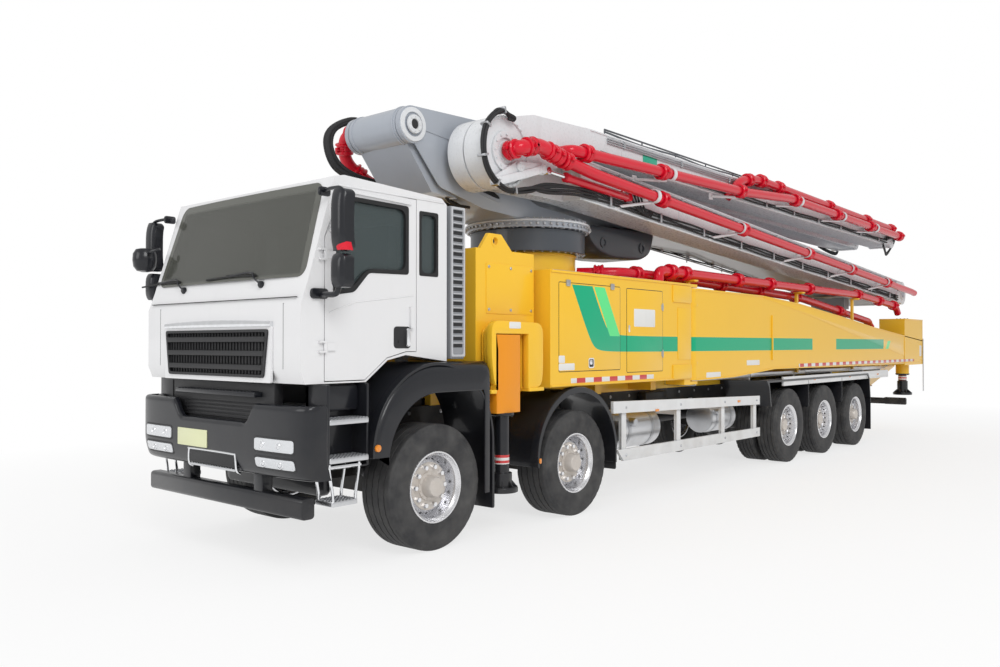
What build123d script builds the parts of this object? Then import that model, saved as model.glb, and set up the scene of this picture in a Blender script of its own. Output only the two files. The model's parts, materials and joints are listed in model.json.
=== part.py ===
from build123d import *
import os
from math import atan2, cos, degrees, radians, sin

# Truck-mounted concrete pump with a seven-section folding boom, in millimetres.
# +X is the driving direction, +Y the truck's left, +Z up; the origin is on the
# ground, midway along the overall length.

# ---- driving dimensions -------------------------------------------------
FRONT_END = 7750.0          # front face of the bumper
HALF_WIDTH = 1250.0
RUN_GAP = 0.3               # radial play of a shaft in its bore
CLEAR = 10.0                # play between pieces that move past each other

# axles: name, x, tyre radius, twin tyres, steered
AXLES = (
    ("1", 6350.0, 536.0, False, True),
    ("2", 4350.0, 536.0, False, True),
    ("3", -1000.0, 545.0, True, False),
    ("4", -2400.0, 545.0, True, False),
    ("5", -3850.0, 536.0, False, False),
)
SINGLE_WIDTH = 385.0
SINGLE_Y = 1035.0           # tyre centre of a single wheel
TWIN_WIDTH = 300.0
TWIN_Y = (730.0, 1080.0)    # inner and outer tyre centres
RIM_R = 300.0               # rim lip
RIM_INNER_R = 270.0         # inside of the rim's barrel
HUB_R = 125.0
DISC_TWIN_Y = 915.0         # where the two wheels of a twin pair meet
SPINDLE_R = 50.0
KINGPIN_Y = 850.0
KINGPIN_R = 28.0

# frame
RAIL_Y = 430.0
RAIL_WIDTH = 80.0
RAIL_LOW = 860.0
RAIL_TOP = 1160.0
RAIL_WEB = 12.0
RAIL_FRONT = 7250.0
RAIL_REAR = -6400.0
CROSS_HALF = RAIL_Y + RAIL_WIDTH / 2 - RAIL_WEB

# cab
CAB_HALF = 1150.0
CAB_WALL = 50.0
CAB_REAR = 6170.0
CAB_FRONT = 7700.0
CAB_LOW = 1450.0
CAB_ROOF = 3060.0
BELT_Z = 2235.0             # bottom of the windscreen
DOOR_FRONT = 7480.0
DOOR_REAR = 6535.0
DOOR_GAP = 8.0
GLASS = 8.0

# slewing gear and boom pins (x, z); sides are given where the arms are made
SLEW_X = 3650.0
RING_R = 720.0
GUARD_R = 670.0
GUARD_LOW = 2780.0
RING_LOW = 3040.0
RING_TOP = 3130.0
PIN_1 = (5870.0, 3850.0)    # turret to arm 1
PIN_2 = (-7420.0, 2800.0)   # arm 1 to arm 2, at the rear
PIN_3 = (5150.0, 3630.0)    # arm 2 to arm 3, beside the turret
PIN_4 = (-6750.0, 3880.0)   # arm 3 to arm 4, above the rear end
PIN_5 = (2150.0, 4040.0)    # arm 4 to arm 5
PIN_6 = (-6600.0, 3200.0)   # arm 5 to arm 6
PIN_7 = (1500.0, 3450.0)    # arm 6 to arm 7
TIP_7 = (-6100.0, 3330.0)   # outlet of arm 7
PIPE_R = 70.0
PIPE_BORE = 62.5
COUPLING_R = 98.0

os.makedirs("parts", exist_ok=True)


def side_plane(y):
    """The upright plane at a given y, its own x along +X and its y along +Z; it extrudes to -Y."""
    return Plane(origin=(0, y, 0), x_dir=(1, 0, 0), z_dir=(0, -1, 0))


def front_plane(x):
    """The upright cross plane at a given x, its own x along +Y and its y along +Z; it extrudes to +X."""
    return Plane(origin=(x, 0, 0), x_dir=(0, 1, 0), z_dir=(1, 0, 0))


def block(low, high, mode=Mode.ADD):
    """A box between two corners."""
    middle = tuple((a + b) / 2 for a, b in zip(low, high))
    size = [b - a for a, b in zip(low, high)]
    with Locations(middle):
        Box(*size, mode=mode)


def pair(low, high, mode=Mode.ADD):
    """A box on the left side and its mirror image on the right."""
    block(low, high, mode)
    block((low[0], -high[1], low[2]), (high[0], -low[1], high[2]), mode)


def plate(points, y_low, y_high, mode=Mode.ADD):
    """A side outline of (x, z) points, given its thickness from y_low to y_high."""
    with BuildSketch(side_plane(y_high)) as outline:
        with BuildLine():
            Polyline(*points, close=True)
        make_face()
    extrude(outline.sketch, amount=y_high - y_low, mode=mode)


def rod_y(x, z, radius, y_low, y_high, mode=Mode.ADD):
    """A round bar across the truck."""
    with BuildSketch(side_plane(y_high)) as outline:
        with Locations((x, z)):
            Circle(radius)
    extrude(outline.sketch, amount=y_high - y_low, mode=mode)


def rod_x(y, z, radius, x_low, x_high, mode=Mode.ADD):
    """A round bar along the truck."""
    with BuildSketch(front_plane(x_low)) as outline:
        with Locations((y, z)):
            Circle(radius)
    extrude(outline.sketch, amount=x_high - x_low, mode=mode)


def rod_z(x, y, radius, z_low, z_high, mode=Mode.ADD):
    """An upright round bar."""
    with BuildSketch(Plane.XY.offset(z_low)) as outline:
        with Locations((x, y)):
            Circle(radius)
    extrude(outline.sketch, amount=z_high - z_low, mode=mode)


def along(start, end, share):
    """The point a given share of the way from start to end."""
    return tuple(a + (b - a) * share for a, b in zip(start, end))


def pipe_run(points, bends, couplings=(), coupling_r=COUPLING_R):
    """A round pipe through the points, with a coupling at each (run, share) given."""
    with BuildLine() as route:
        if len(points) > 2:
            FilletPolyline(*points, radius=bends)
        else:
            Polyline(*points)
    with BuildSketch(Plane(origin=route.line @ 0, z_dir=route.line % 0)) as outline:
        Circle(PIPE_R)
    sweep(outline.sketch, path=route.line)
    for run, share in couplings:
        centre = Vector(*along(points[run], points[run + 1], share))
        heading = Vector(*points[run + 1]) - Vector(*points[run])
        with BuildSketch(Plane(origin=centre - heading.normalized() * 45, z_dir=heading)) as outline:
            Circle(coupling_r)
        extrude(outline.sketch, amount=90)


def save(name, part):
    """Label a finished piece and write its file."""
    part.label = name
    export_step(part, f"parts/{name}.step")


SIDES = (("left", 1), ("right", -1))


def span(y_a, y_b, side):
    """Two distances from the middle as a low and a high y on the given side."""
    return tuple(sorted((y_a * side, y_b * side)))


# ---- frame and running gear ---------------------------------------------
with BuildPart() as ladder_frame:
    for side in (1, -1):
        inner, outer = span(RAIL_Y - RAIL_WIDTH / 2, RAIL_Y + RAIL_WIDTH / 2, side)
        block((RAIL_REAR, inner, RAIL_LOW), (RAIL_FRONT, outer, RAIL_TOP))
        pocket = span(RAIL_Y - RAIL_WIDTH / 2, RAIL_Y + RAIL_WIDTH / 2 - RAIL_WEB, side)
        block(
            (RAIL_REAR, pocket[0], RAIL_LOW + RAIL_WEB),
            (RAIL_FRONT, pocket[1], RAIL_TOP - RAIL_WEB),
            Mode.SUBTRACT,
        )
    for cross_x in (7150.0, 5350.0, 3350.0, 1300.0, -300.0, -1700.0, -3120.0, -4600.0, -6300.0):
        block((cross_x - 60, -CROSS_HALF, RAIL_LOW + 60), (cross_x + 60, CROSS_HALF, RAIL_TOP - 60))
save("ladder_frame", ladder_frame.part)

with BuildPart() as engine:
    block((5700, -360, 820), (7000, 360, 1440))
save("engine", engine.part)

with BuildPart() as steer_axles:
    for name, axle_x, tyre_r, twin, steered in AXLES:
        if twin:
            continue
        if steered:
            block((axle_x - 55, -KINGPIN_Y + 80, tyre_r - 130), (axle_x + 55, KINGPIN_Y - 80, tyre_r + 10))
            for side in (1, -1):
                jaw = span(KINGPIN_Y - 90, KINGPIN_Y + 30, side)
                block((axle_x - 42, jaw[0], tyre_r - 38), (axle_x + 42, jaw[1], tyre_r + 38))
                rod_z(axle_x, side * KINGPIN_Y, KINGPIN_R, tyre_r - 110, tyre_r + 110)
        else:
            block((axle_x - 60, -840, tyre_r - 60), (axle_x + 60, 840, tyre_r + 60))
            rod_y(axle_x, tyre_r, SPINDLE_R, -1020, 1020)
        for side in (1, -1):
            leaf = span(390, 470, side)
            block((axle_x - 620, leaf[0], tyre_r + 60), (axle_x + 620, leaf[1], tyre_r + 140))
            block((axle_x - 60, leaf[0], tyre_r + 5), (axle_x + 60, leaf[1], tyre_r + 60))
            for end in (-1, 1):
                block(
                    (axle_x + end * 600 - 30, leaf[0], tyre_r + 60),
                    (axle_x + end * 600 + 30, leaf[1], RAIL_LOW),
                )
save("steer_axles", steer_axles.part)

with BuildPart() as drive_axles:
    for name, axle_x, tyre_r, twin, steered in AXLES:
        if not twin:
            continue
        rod_y(axle_x, tyre_r, 95, -560, 560)
        rod_y(axle_x, tyre_r, SPINDLE_R, -1130, 1130)
        with Locations((axle_x, 0, tyre_r)):
            Sphere(235)
        for side in (1, -1):
            leaf = span(390, 470, side)
            block((axle_x - 560, leaf[0], tyre_r + 90), (axle_x + 560, leaf[1], tyre_r + 200))
            block((axle_x - 80, leaf[0], tyre_r + 60), (axle_x + 80, leaf[1], tyre_r + 100))
            block((axle_x - 90, leaf[0], tyre_r + 190), (axle_x + 90, leaf[1], RAIL_LOW))
save("drive_axles", drive_axles.part)


def make_knuckle(axle_x, tyre_r, side):
    """The steering knuckle: a fork on the kingpin with the wheel's spindle."""
    with BuildPart() as knuckle:
        arm = span(KINGPIN_Y - 50, KINGPIN_Y + 90, side)
        for low, high in ((tyre_r - 100, tyre_r - 44), (tyre_r + 44, tyre_r + 100)):
            block((axle_x - 50, arm[0], low), (axle_x + 50, arm[1], high))
        face = span(KINGPIN_Y + 58, KINGPIN_Y + 90, side)
        block((axle_x - 60, face[0], tyre_r - 100), (axle_x + 60, face[1], tyre_r + 100))
        tip = span(KINGPIN_Y + 85, SINGLE_Y + 120, side)
        rod_y(axle_x, tyre_r, SPINDLE_R, tip[0], tip[1])
        rod_z(axle_x, side * KINGPIN_Y, KINGPIN_R + RUN_GAP, tyre_r - 120, tyre_r + 120, Mode.SUBTRACT)
    return knuckle.part


def wheel_profile(tyre_r, width, centre_y, side):
    """Half section of a tyre, from the rim seat to the tread, as (y, radius) points."""
    half = width / 2
    points = (
        (-half * 0.80, RIM_R + RUN_GAP),
        (-half * 0.97, RIM_R + 60),
        (-half, (RIM_R + tyre_r) / 2 + 10),
        (-half * 0.90, tyre_r - 22),
        (-half * 0.80, tyre_r),
        (half * 0.80, tyre_r),
        (half * 0.90, tyre_r - 22),
        (half, (RIM_R + tyre_r) / 2 + 10),
        (half * 0.97, RIM_R + 60),
        (half * 0.80, RIM_R + RUN_GAP),
    )
    return [(side * centre_y + y, r) for y, r in points]


def ring_about(axle_x, tyre_r, profile):
    """Turn a profile of (y, radius) points about a wheel's axis."""
    hub = Plane(origin=(axle_x, 0, tyre_r), x_dir=(0, 1, 0), z_dir=(-1, 0, 0))
    with BuildSketch(hub) as outline:
        with BuildLine():
            Polyline(*profile, close=True)
        make_face()
    revolve(outline.sketch, axis=Axis((axle_x, 0, tyre_r), (0, 1, 0)))


def make_wheel(axle_x, tyre_r, twin, side):
    """Tyre, rim and hub of one wheel, or of a twin pair that turns together."""
    centres = TWIN_Y if twin else (SINGLE_Y,)
    width = TWIN_WIDTH if twin else SINGLE_WIDTH
    with BuildPart() as wheel:
        for centre_y in centres:
            ring_about(axle_x, tyre_r, wheel_profile(tyre_r, width, centre_y, side))
            barrel = [centre_y - width * 0.4, centre_y + width * 0.4]
            if twin:
                inner_wheel = centre_y < DISC_TWIN_Y
                barrel[inner_wheel] = DISC_TWIN_Y + (-5 if inner_wheel else 5)
            barrel_low, barrel_high = span(barrel[0], barrel[1], side)
            profile = (
                (barrel_low, RIM_INNER_R),
                (barrel_low, RIM_R),
                (barrel_high, RIM_R),
                (barrel_high, RIM_INNER_R),
            )
            ring_about(axle_x, tyre_r, profile)
        disc_y = DISC_TWIN_Y if twin else SINGLE_Y + 60
        disc = span(disc_y - 12, disc_y + 12, side)
        rod_y(axle_x, tyre_r, RIM_INNER_R + 5, disc[0], disc[1])
        hub_end = 1150.0 if twin else SINGLE_Y + 165
        hub_start = 600.0 if twin else KINGPIN_Y + 100
        hub = span(hub_start, hub_end, side)
        rod_y(axle_x, tyre_r, HUB_R, hub[0], hub[1])
        bore = span(hub_start - 1, hub_end - 15, side)
        rod_y(axle_x, tyre_r, SPINDLE_R + RUN_GAP, bore[0], bore[1], Mode.SUBTRACT)
    return wheel.part


for name, axle_x, tyre_r, twin, steered in AXLES:
    for side_name, side in SIDES:
        save(f"wheel_{name}_{side_name}", make_wheel(axle_x, tyre_r, twin, side))
        if steered:
            save(f"knuckle_{name}_{side_name}", make_knuckle(axle_x, tyre_r, side))

# ---- cab ------------------------------------------------------------------
CAB_OUTLINE = (
    (CAB_REAR, 1600.0),
    (CAB_REAR, 2960.0),
    (CAB_REAR + 60, 3010.0),
    (7300.0, CAB_ROOF),
    (7390.0, 3040.0),
    (7640.0, BELT_Z - 20),
    (CAB_FRONT, 2050.0),
    (CAB_FRONT, 1550.0),
    (7660.0, CAB_LOW),
    (7080.0, CAB_LOW),
    (6850.0, 1620.0),
    (6650.0, 1660.0),
)
DOOR_OUTLINE = (
    (DOOR_REAR, 1690.0),
    (DOOR_REAR, 2960.0),
    (7300.0, 2975.0),
    (DOOR_FRONT, 2560.0),
    (DOOR_FRONT, 1470.0),
    (7090.0, 1470.0),
    (6860.0, 1640.0),
    (6650.0, 1690.0),
)
DOOR_WINDOW = (
    (DOOR_REAR + 90, 2330.0),
    (DOOR_REAR + 90, 2890.0),
    (7260.0, 2900.0),
    (7400.0, 2540.0),
    (7400.0, 2130.0),
    (7200.0, 2160.0),
    (7050.0, 2320.0),
)
QUARTER_WINDOW = (
    (CAB_REAR + 110, 2330.0),
    (CAB_REAR + 110, 2870.0),
    (DOOR_REAR - 40, 2870.0),
    (DOOR_REAR - 40, 2330.0),
)
WINDSCREEN_HALF = 1040.0
DOOR_SIDE = (CAB_HALF - CAB_WALL, CAB_HALF)
DOOR_PIN = (DOOR_FRONT + 4.0, CAB_HALF + 14.0)
DOOR_PIN_R = 8.0
HINGE_R = 14.0
HINGE_Z = (1700.0, 2400.0)  # foot of each hinge
HINGE_TALL = 60.0


def grown(points, amount):
    """The bounds-centred copy of an outline, larger by a clear gap all round."""
    mid_x = (min(p[0] for p in points) + max(p[0] for p in points)) / 2
    mid_z = (min(p[1] for p in points) + max(p[1] for p in points)) / 2
    wide = max(p[0] for p in points) - min(p[0] for p in points)
    tall = max(p[1] for p in points) - min(p[1] for p in points)
    scale_x = 1 + 2 * amount / wide
    scale_z = 1 + 2 * amount / tall
    return [(mid_x + (x - mid_x) * scale_x, mid_z + (z - mid_z) * scale_z) for x, z in points]


def screen_plane():
    """The slanting plane of the windscreen, its own x along +Y and its y up the glass."""
    slope = atan2(3040.0 - (BELT_Z - 20), 7390.0 - 7640.0)
    return Plane(
        origin=(7640.0, 0, BELT_Z - 20),
        x_dir=(0, 1, 0),
        z_dir=(sin(slope), 0, -cos(slope)),
    )


SCREEN_TALL = 700.0
SCREEN_LOW = 60.0


def screen_outline(half_low, half_high):
    """The windscreen's four corners on its own plane."""
    return (
        (-half_low, SCREEN_LOW),
        (half_low, SCREEN_LOW),
        (half_high, SCREEN_LOW + SCREEN_TALL),
        (-half_high, SCREEN_LOW + SCREEN_TALL),
    )


with BuildPart() as cab_shell:
    plate(CAB_OUTLINE, -CAB_HALF, CAB_HALF)
    plate(grown(CAB_OUTLINE, -CAB_WALL), -CAB_HALF + CAB_WALL, CAB_HALF - CAB_WALL, Mode.SUBTRACT)
    for side in (1, -1):
        wall = span(DOOR_SIDE[0] - 20, DOOR_SIDE[1] + 20, side)
        plate(grown(DOOR_OUTLINE, DOOR_GAP), wall[0], wall[1], Mode.SUBTRACT)
        plate(QUARTER_WINDOW, wall[0], wall[1], Mode.SUBTRACT)
    with BuildSketch(screen_plane().offset(-150)):
        with BuildLine():
            Polyline(*screen_outline(WINDSCREEN_HALF, WINDSCREEN_HALF - 60), close=True)
        make_face()
    extrude(amount=300, mode=Mode.SUBTRACT)
    for side in (1, -1):
        leaf = span(CAB_HALF - 5, DOOR_PIN[1] + HINGE_R, side)
        face = span(DOOR_PIN[1] - DOOR_PIN_R, DOOR_PIN[1] + HINGE_R, side)
        for foot in HINGE_Z:
            rod_z(DOOR_PIN[0], side * DOOR_PIN[1], DOOR_PIN_R, foot - 15, foot + HINGE_TALL + 15)
            for low in (foot - 15, foot + HINGE_TALL + RUN_GAP):
                block((DOOR_PIN[0] + 6, leaf[0], low), (DOOR_PIN[0] + 60, leaf[1], low + 15 - RUN_GAP))
                block((DOOR_PIN[0] - 8, face[0], low), (DOOR_PIN[0] + 8, face[1], low + 15 - RUN_GAP))
save("cab_shell", cab_shell.part)

with BuildPart() as cab_glass:
    with BuildSketch(screen_plane().offset(-GLASS - 6)):
        with BuildLine():
            Polyline(*screen_outline(WINDSCREEN_HALF - RUN_GAP, WINDSCREEN_HALF - 60 - RUN_GAP), close=True)
        make_face()
    extrude(amount=GLASS)
    for side in (1, -1):
        pane = span(CAB_HALF - 25 - GLASS, CAB_HALF - 25, side)
        plate(grown(QUARTER_WINDOW, -RUN_GAP), pane[0], pane[1])
save("cab_glass", cab_glass.part)


def make_door(side):
    """A door with its window cut through."""
    with BuildPart() as door:
        wall = span(DOOR_SIDE[0], DOOR_SIDE[1], side)
        plate(DOOR_OUTLINE, wall[0], wall[1])
        plate(DOOR_WINDOW, wall[0], wall[1], Mode.SUBTRACT)
        grip = span(CAB_HALF - 1, CAB_HALF + 28, side)
        block((DOOR_REAR + 50, grip[0], 1880), (DOOR_REAR + 80, grip[1], 2060))
        strap = span(CAB_HALF - 1, CAB_HALF + 18, side)
        for foot in HINGE_Z:
            block((DOOR_FRONT - 90, strap[0], foot), (DOOR_PIN[0], strap[1], foot + HINGE_TALL))
            rod_z(DOOR_PIN[0], side * DOOR_PIN[1], HINGE_R, foot, foot + HINGE_TALL)
            bore = DOOR_PIN_R + RUN_GAP
            rod_z(DOOR_PIN[0], side * DOOR_PIN[1], bore, foot, foot + HINGE_TALL, Mode.SUBTRACT)
    return door.part


for side_name, side in SIDES:
    save(f"door_{side_name}", make_door(side))
    with BuildPart() as door_glass:
        pane = span(CAB_HALF - 25 - GLASS, CAB_HALF - 25, side)
        plate(grown(DOOR_WINDOW, -RUN_GAP), pane[0], pane[1])
    save(f"door_glass_{side_name}", door_glass.part)

FLOOR_Z = 1700.0
with BuildPart() as cab_interior:
    inner_half = CAB_HALF - CAB_WALL - RUN_GAP
    block((CAB_REAR + CAB_WALL + RUN_GAP, -inner_half, FLOOR_Z), (7640, inner_half, FLOOR_Z + 30))
    block((7330, -inner_half + 60, FLOOR_Z + 30), (7560, inner_half - 60, 2180))
    for seat_y in (-560.0, 560.0):
        block((6560, seat_y - 240, FLOOR_Z + 30), (6980, seat_y + 240, FLOOR_Z + 260))
        block((6500, seat_y - 250, FLOOR_Z + 260), (7030, seat_y + 250, FLOOR_Z + 400))
        block((6420, seat_y - 240, FLOOR_Z + 300), (6540, seat_y + 240, 2780))
    wheel_base = Plane(origin=(7260, 560, 2330), x_dir=(0, 1, 0), z_dir=(-0.5, 0, 0.87))
    with BuildSketch(wheel_base):
        Circle(225)
        Circle(195, mode=Mode.SUBTRACT)
        Rectangle(400, 36)
        Rectangle(36, 400)
    extrude(amount=26)
    with BuildSketch(wheel_base):
        Circle(45)
    extrude(amount=-190)
save("cab_interior", cab_interior.part)

# ---- bumper, steps, fenders, guards ------------------------------------------
BUMPER_LOW = 730.0
BUMPER_TOP = 1290.0
with BuildPart() as front_bumper:
    with BuildSketch(Plane.XY.offset(BUMPER_LOW)):
        with BuildLine():
            Polyline(
                (7310, -1250), (7310, -1130), (7560, -1100), (7560, 1100), (7310, 1130),
                (7310, 1250), (7420, 1250), (7700, 1080), (FRONT_END, 760),
                (FRONT_END, -760), (7700, -1080), (7420, -1250), close=True,
            )
        make_face()
    extrude(amount=BUMPER_TOP - BUMPER_LOW)
    block((CAB_FRONT, -800, 1440), (7735, 800, 1880))
    block((7620, -760, BUMPER_TOP), (7735, 760, 1442))
    block((7560, -1240, 440), (7680, 1240, 600))
    for side in (1, -1):
        hanger = span(480, 600, side)
        block((7560, hanger[0], 590), (7620, hanger[1], BUMPER_LOW))
        bracket = span(RAIL_Y - 40, RAIL_Y + 40, side)
        block((RAIL_FRONT, bracket[0], 900), (7570, bracket[1], 1120))
    with BuildSketch(front_plane(7500)):
        with Locations((0, 980)):
            Circle(30)
    extrude(amount=400, mode=Mode.SUBTRACT)
save("front_bumper", front_bumper.part)

ARCH_WALL = 25.0
# name, x and z of the arch's centre, inner radius, height of its front and rear feet
ARCHES = (
    ("1", 6370.0, 880.0, 690.0, 850.0, 270.0),
    ("2", 4350.0, 600.0, 655.0, 560.0, 480.0),
)


def arch(centre_x, centre_z, radius, foot_front, foot_rear, y_low, y_high):
    """A mudguard: half a round shell over a wheel, with a straight leg before and behind it."""
    outer = radius + ARCH_WALL
    with BuildSketch(side_plane(y_high)) as outline:
        with Locations((centre_x, centre_z)):
            Circle(outer)
            Circle(radius, mode=Mode.SUBTRACT)
        with Locations((centre_x, centre_z - outer)):
            Rectangle(2 * outer + 2, 2 * outer, mode=Mode.SUBTRACT)
        for end, foot in ((1, foot_front), (-1, foot_rear)):
            middle = centre_x + end * (radius + ARCH_WALL / 2)
            with Locations((middle, (centre_z + foot) / 2)):
                Rectangle(ARCH_WALL, centre_z - foot)
    extrude(outline.sketch, amount=y_high - y_low)


FENDER_STAY_LOW = 1085.0
with BuildPart() as front_fenders:
    for side in (1, -1):
        y_low, y_high = span(640, HALF_WIDTH, side)
        for name, arch_x, arch_z, radius, foot_front, foot_rear in ARCHES:
            arch(arch_x, arch_z, radius, foot_front, foot_rear, y_low, y_high)
            inner = span(RAIL_Y + 40, 660, side)
            block((arch_x - 30, inner[0], FENDER_STAY_LOW), (arch_x + 30, inner[1], RAIL_TOP - 10))
            stay = span(600, 660, side)
            block((arch_x - 30, stay[0], FENDER_STAY_LOW), (arch_x + 30, stay[1], arch_z + radius + 10))
save("front_fenders", front_fenders.part)

with BuildPart() as rear_fenders:
    for side in (1, -1):
        y_low, y_high = span(560, HALF_WIDTH - 5, side)
        plate(
            ((-240, 1130), (-160, 1230), (-4400, 1230), (-4480, 1130), (-4520, 800),
             (-4490, 800), (-4440, 1130), (-4370, 1200), (-250, 1200), (-270, 1130),
             (-320, 860), (-290, 860)),
            y_low, y_high,
        )
        inner = span(RAIL_Y + 40, 580, side)
        for stay_x in (-300.0, -1700.0, -3120.0, -4400.0):
            block((stay_x - 30, inner[0], 1160), (stay_x + 30, inner[1], 1220))
        flap = span(740, 1240, side)
        block((-4534, flap[0], 230), (-4520, flap[1], 830))
save("rear_fenders", rear_fenders.part)

with BuildPart() as cab_steps:
    for side in (1, -1):
        for low, high in ((1100, 1150), (840, 890), (520, 560)):
            tread = span(985, HALF_WIDTH, side)
            block((7095, tread[0], low), (7300, tread[1], high))
        for post_x in (7120.0, 7250.0):
            post = span(1000, 1030, side)
            block((post_x, post[0], 530), (post_x + 25, post[1], 1110))
        stay = span(RAIL_Y + 40, 1010, side)
        block((7115, stay[0], 900), (7280, stay[1], 960))
save("cab_steps", cab_steps.part)

with BuildPart() as side_guards:
    for side in (1, -1):
        rail = span(HALF_WIDTH - 50, HALF_WIDTH - 15, side)
        plate(((3700, 1000), (3700, 1130), (50, 1030), (50, 910)), rail[0], rail[1])
        plate(((3500, 470), (3620, 600), (50, 590), (50, 470)), rail[0], rail[1])
        for post_x in (3450.0, 2250.0, 1100.0, 150.0):
            post = span(HALF_WIDTH - 90, HALF_WIDTH - 48, side)
            block((post_x - 35, post[0], 475), (post_x + 35, post[1], 1000))
            stay = span(RAIL_Y + 40, HALF_WIDTH - 85, side)
            block((post_x - 25, stay[0], 900), (post_x + 25, stay[1], 960))
save("side_guards", side_guards.part)

with BuildPart() as tanks:
    for side in (1, -1):
        strap = span(RAIL_Y + 40, 620, side)
        hanger = span(RAIL_Y + 40, RAIL_Y + 60, side)
        for tank_x, half, radius in ((2800.0, 420.0, 230.0), (650.0, 330.0, 200.0)):
            rod_x(side * 800, 760, radius, tank_x - half, tank_x + half)
            block((tank_x - 40, strap[0], 720), (tank_x + 40, strap[1], 780))
            block((tank_x - 40, hanger[0], 720), (tank_x + 40, hanger[1], 1000))
save("tanks", tanks.part)

STACK_X = (5960.0, 6130.0)
STACK_LOW = 1620.0
with BuildPart() as air_stack:
    pair((STACK_X[0], 780, STACK_LOW), (STACK_X[1], 1160, 2960))
    pair((STACK_X[0] + 20, RAIL_Y - 30, STACK_LOW), (STACK_X[1] - 30, 800, STACK_LOW + 60))
    pair((STACK_X[0] + 20, RAIL_Y - 30, RAIL_TOP), (STACK_X[1] - 30, RAIL_Y + 30, STACK_LOW + 10))
save("air_stack", air_stack.part)

with BuildPart() as mirrors:
    for side in (1, -1):
        for bar_z in (2880.0, 2150.0):
            bar = span(CAB_HALF, 1400, side)
            block((7485, bar[0], bar_z), (7530, bar[1], bar_z + 30))
        case = span(1330, 1480, side)
        block((7500, case[0], 2160), (7580, case[1], 2900))
    block((7630, -1330, 2560), (7660, -1040, 2590))
    block((7560, -1250, 2560), (7640, -1150, 2590))
    rod_z(7650, -1330, 110, 2420, 2640)
save("mirrors", mirrors.part)

# ---- subframe, pedestal and front outriggers ------------------------------------
SUBFRAME_TOP = 1300.0
COLUMN_R = 560.0
HOUSING_X = (4850.0, 5700.0)
HOUSING_Y = 1060.0
HOUSING_LOW = 1360.0
HOUSING_MID = 1900.0
HOUSING_TOP = 2640.0
BEAM_Z = (1500.0, 1800.0)
BEAM_TAIL = 1030.0          # how far a beam reaches past the middle
# side name, side, low and high x of the sliding beam
FRONT_BEAMS = (
    ("left", 1, 5200.0, 5370.0),
    ("right", -1, 4950.0, 5120.0),
)
LEG_X = (5290.0, 5610.0)
LEG_Y = (1075.0, 1245.0)
LEG_Z = (1120.0, 1830.0)
FRONT_JACK_R = 70.0
REAR_JACK_R = 80.0
BEAM_PLAY = 0.3             # of a sliding beam in its housing
LIFT_EYE = (5430.0, 2720.0)
LIFT_EYE_R = 35.0

with BuildPart() as pedestal:
    pair((RAIL_REAR, RAIL_Y - 40, RAIL_TOP), (5700, RAIL_Y + 40, SUBFRAME_TOP))
    block((2900, -460, RAIL_TOP + 5), (4700, 460, 1500))
    rod_z(SLEW_X, 0, COLUMN_R, 1500, GUARD_LOW)
    rod_z(SLEW_X, 0, COLUMN_R - 60, GUARD_LOW, RING_LOW - RUN_GAP)
    block((HOUSING_X[0], -HOUSING_Y, HOUSING_LOW), (HOUSING_X[1], HOUSING_Y, HOUSING_MID))
    block((4600, -400, SUBFRAME_TOP - 20), (5600, 400, HOUSING_LOW + 10))
    pair((HOUSING_X[0], 520, HOUSING_MID), (HOUSING_X[1], HOUSING_Y, HOUSING_TOP))
    block((4150, -300, 1900), (4900, 300, 2400))
    block((4850, -530, 1890), (5300, 530, 2300))
    for side in (1, -1):
        eye = span(HOUSING_Y - 40, HOUSING_Y, side)
        plate(((5180, HOUSING_TOP - 5), (5340, 2790), (5520, 2790), (5640, HOUSING_TOP - 5)), eye[0], eye[1])
        rod_y(LIFT_EYE[0], LIFT_EYE[1], LIFT_EYE_R, eye[0], eye[1], Mode.SUBTRACT)
    for side_name, side, low_x, high_x in FRONT_BEAMS:
        way = span(-BEAM_TAIL - CLEAR, HOUSING_Y + 1, side)
        block(
            (low_x - BEAM_PLAY, way[0], BEAM_Z[0] - BEAM_PLAY),
            (high_x + BEAM_PLAY, way[1], BEAM_Z[1] + BEAM_PLAY),
            Mode.SUBTRACT,
        )
save("pedestal", pedestal.part)

for side_name, side, low_x, high_x in FRONT_BEAMS:
    jack_x = (LEG_X[0] + LEG_X[1]) / 2
    jack_y = side * (LEG_Y[0] + LEG_Y[1]) / 2
    with BuildPart() as front_beam:
        tube = span(-BEAM_TAIL, LEG_Y[0] + 60, side)
        block((low_x, tube[0], BEAM_Z[0]), (high_x, tube[1], BEAM_Z[1]))
        link = span(LEG_Y[0], LEG_Y[0] + 75, side)
        block((low_x, link[0], BEAM_Z[0]), (LEG_X[1], link[1], BEAM_Z[1]))
        leg = span(LEG_Y[0], LEG_Y[1], side)
        block((LEG_X[0], leg[0], LEG_Z[0]), (LEG_X[1], leg[1], LEG_Z[1]))
        rod_z(jack_x, jack_y, FRONT_JACK_R + RUN_GAP, LEG_Z[0] - 1, LEG_Z[1] - 30, Mode.SUBTRACT)
    save(f"front_outrigger_{side_name}", front_beam.part)
    with BuildPart() as front_jack:
        rod_z(jack_x, jack_y, FRONT_JACK_R, 400, LEG_Z[1] - 90)
        rod_z(jack_x, jack_y, 95, 420, 560)
        rod_z(jack_x, jack_y, 150, 380, 425)
    save(f"front_jack_{side_name}", front_jack.part)

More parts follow.
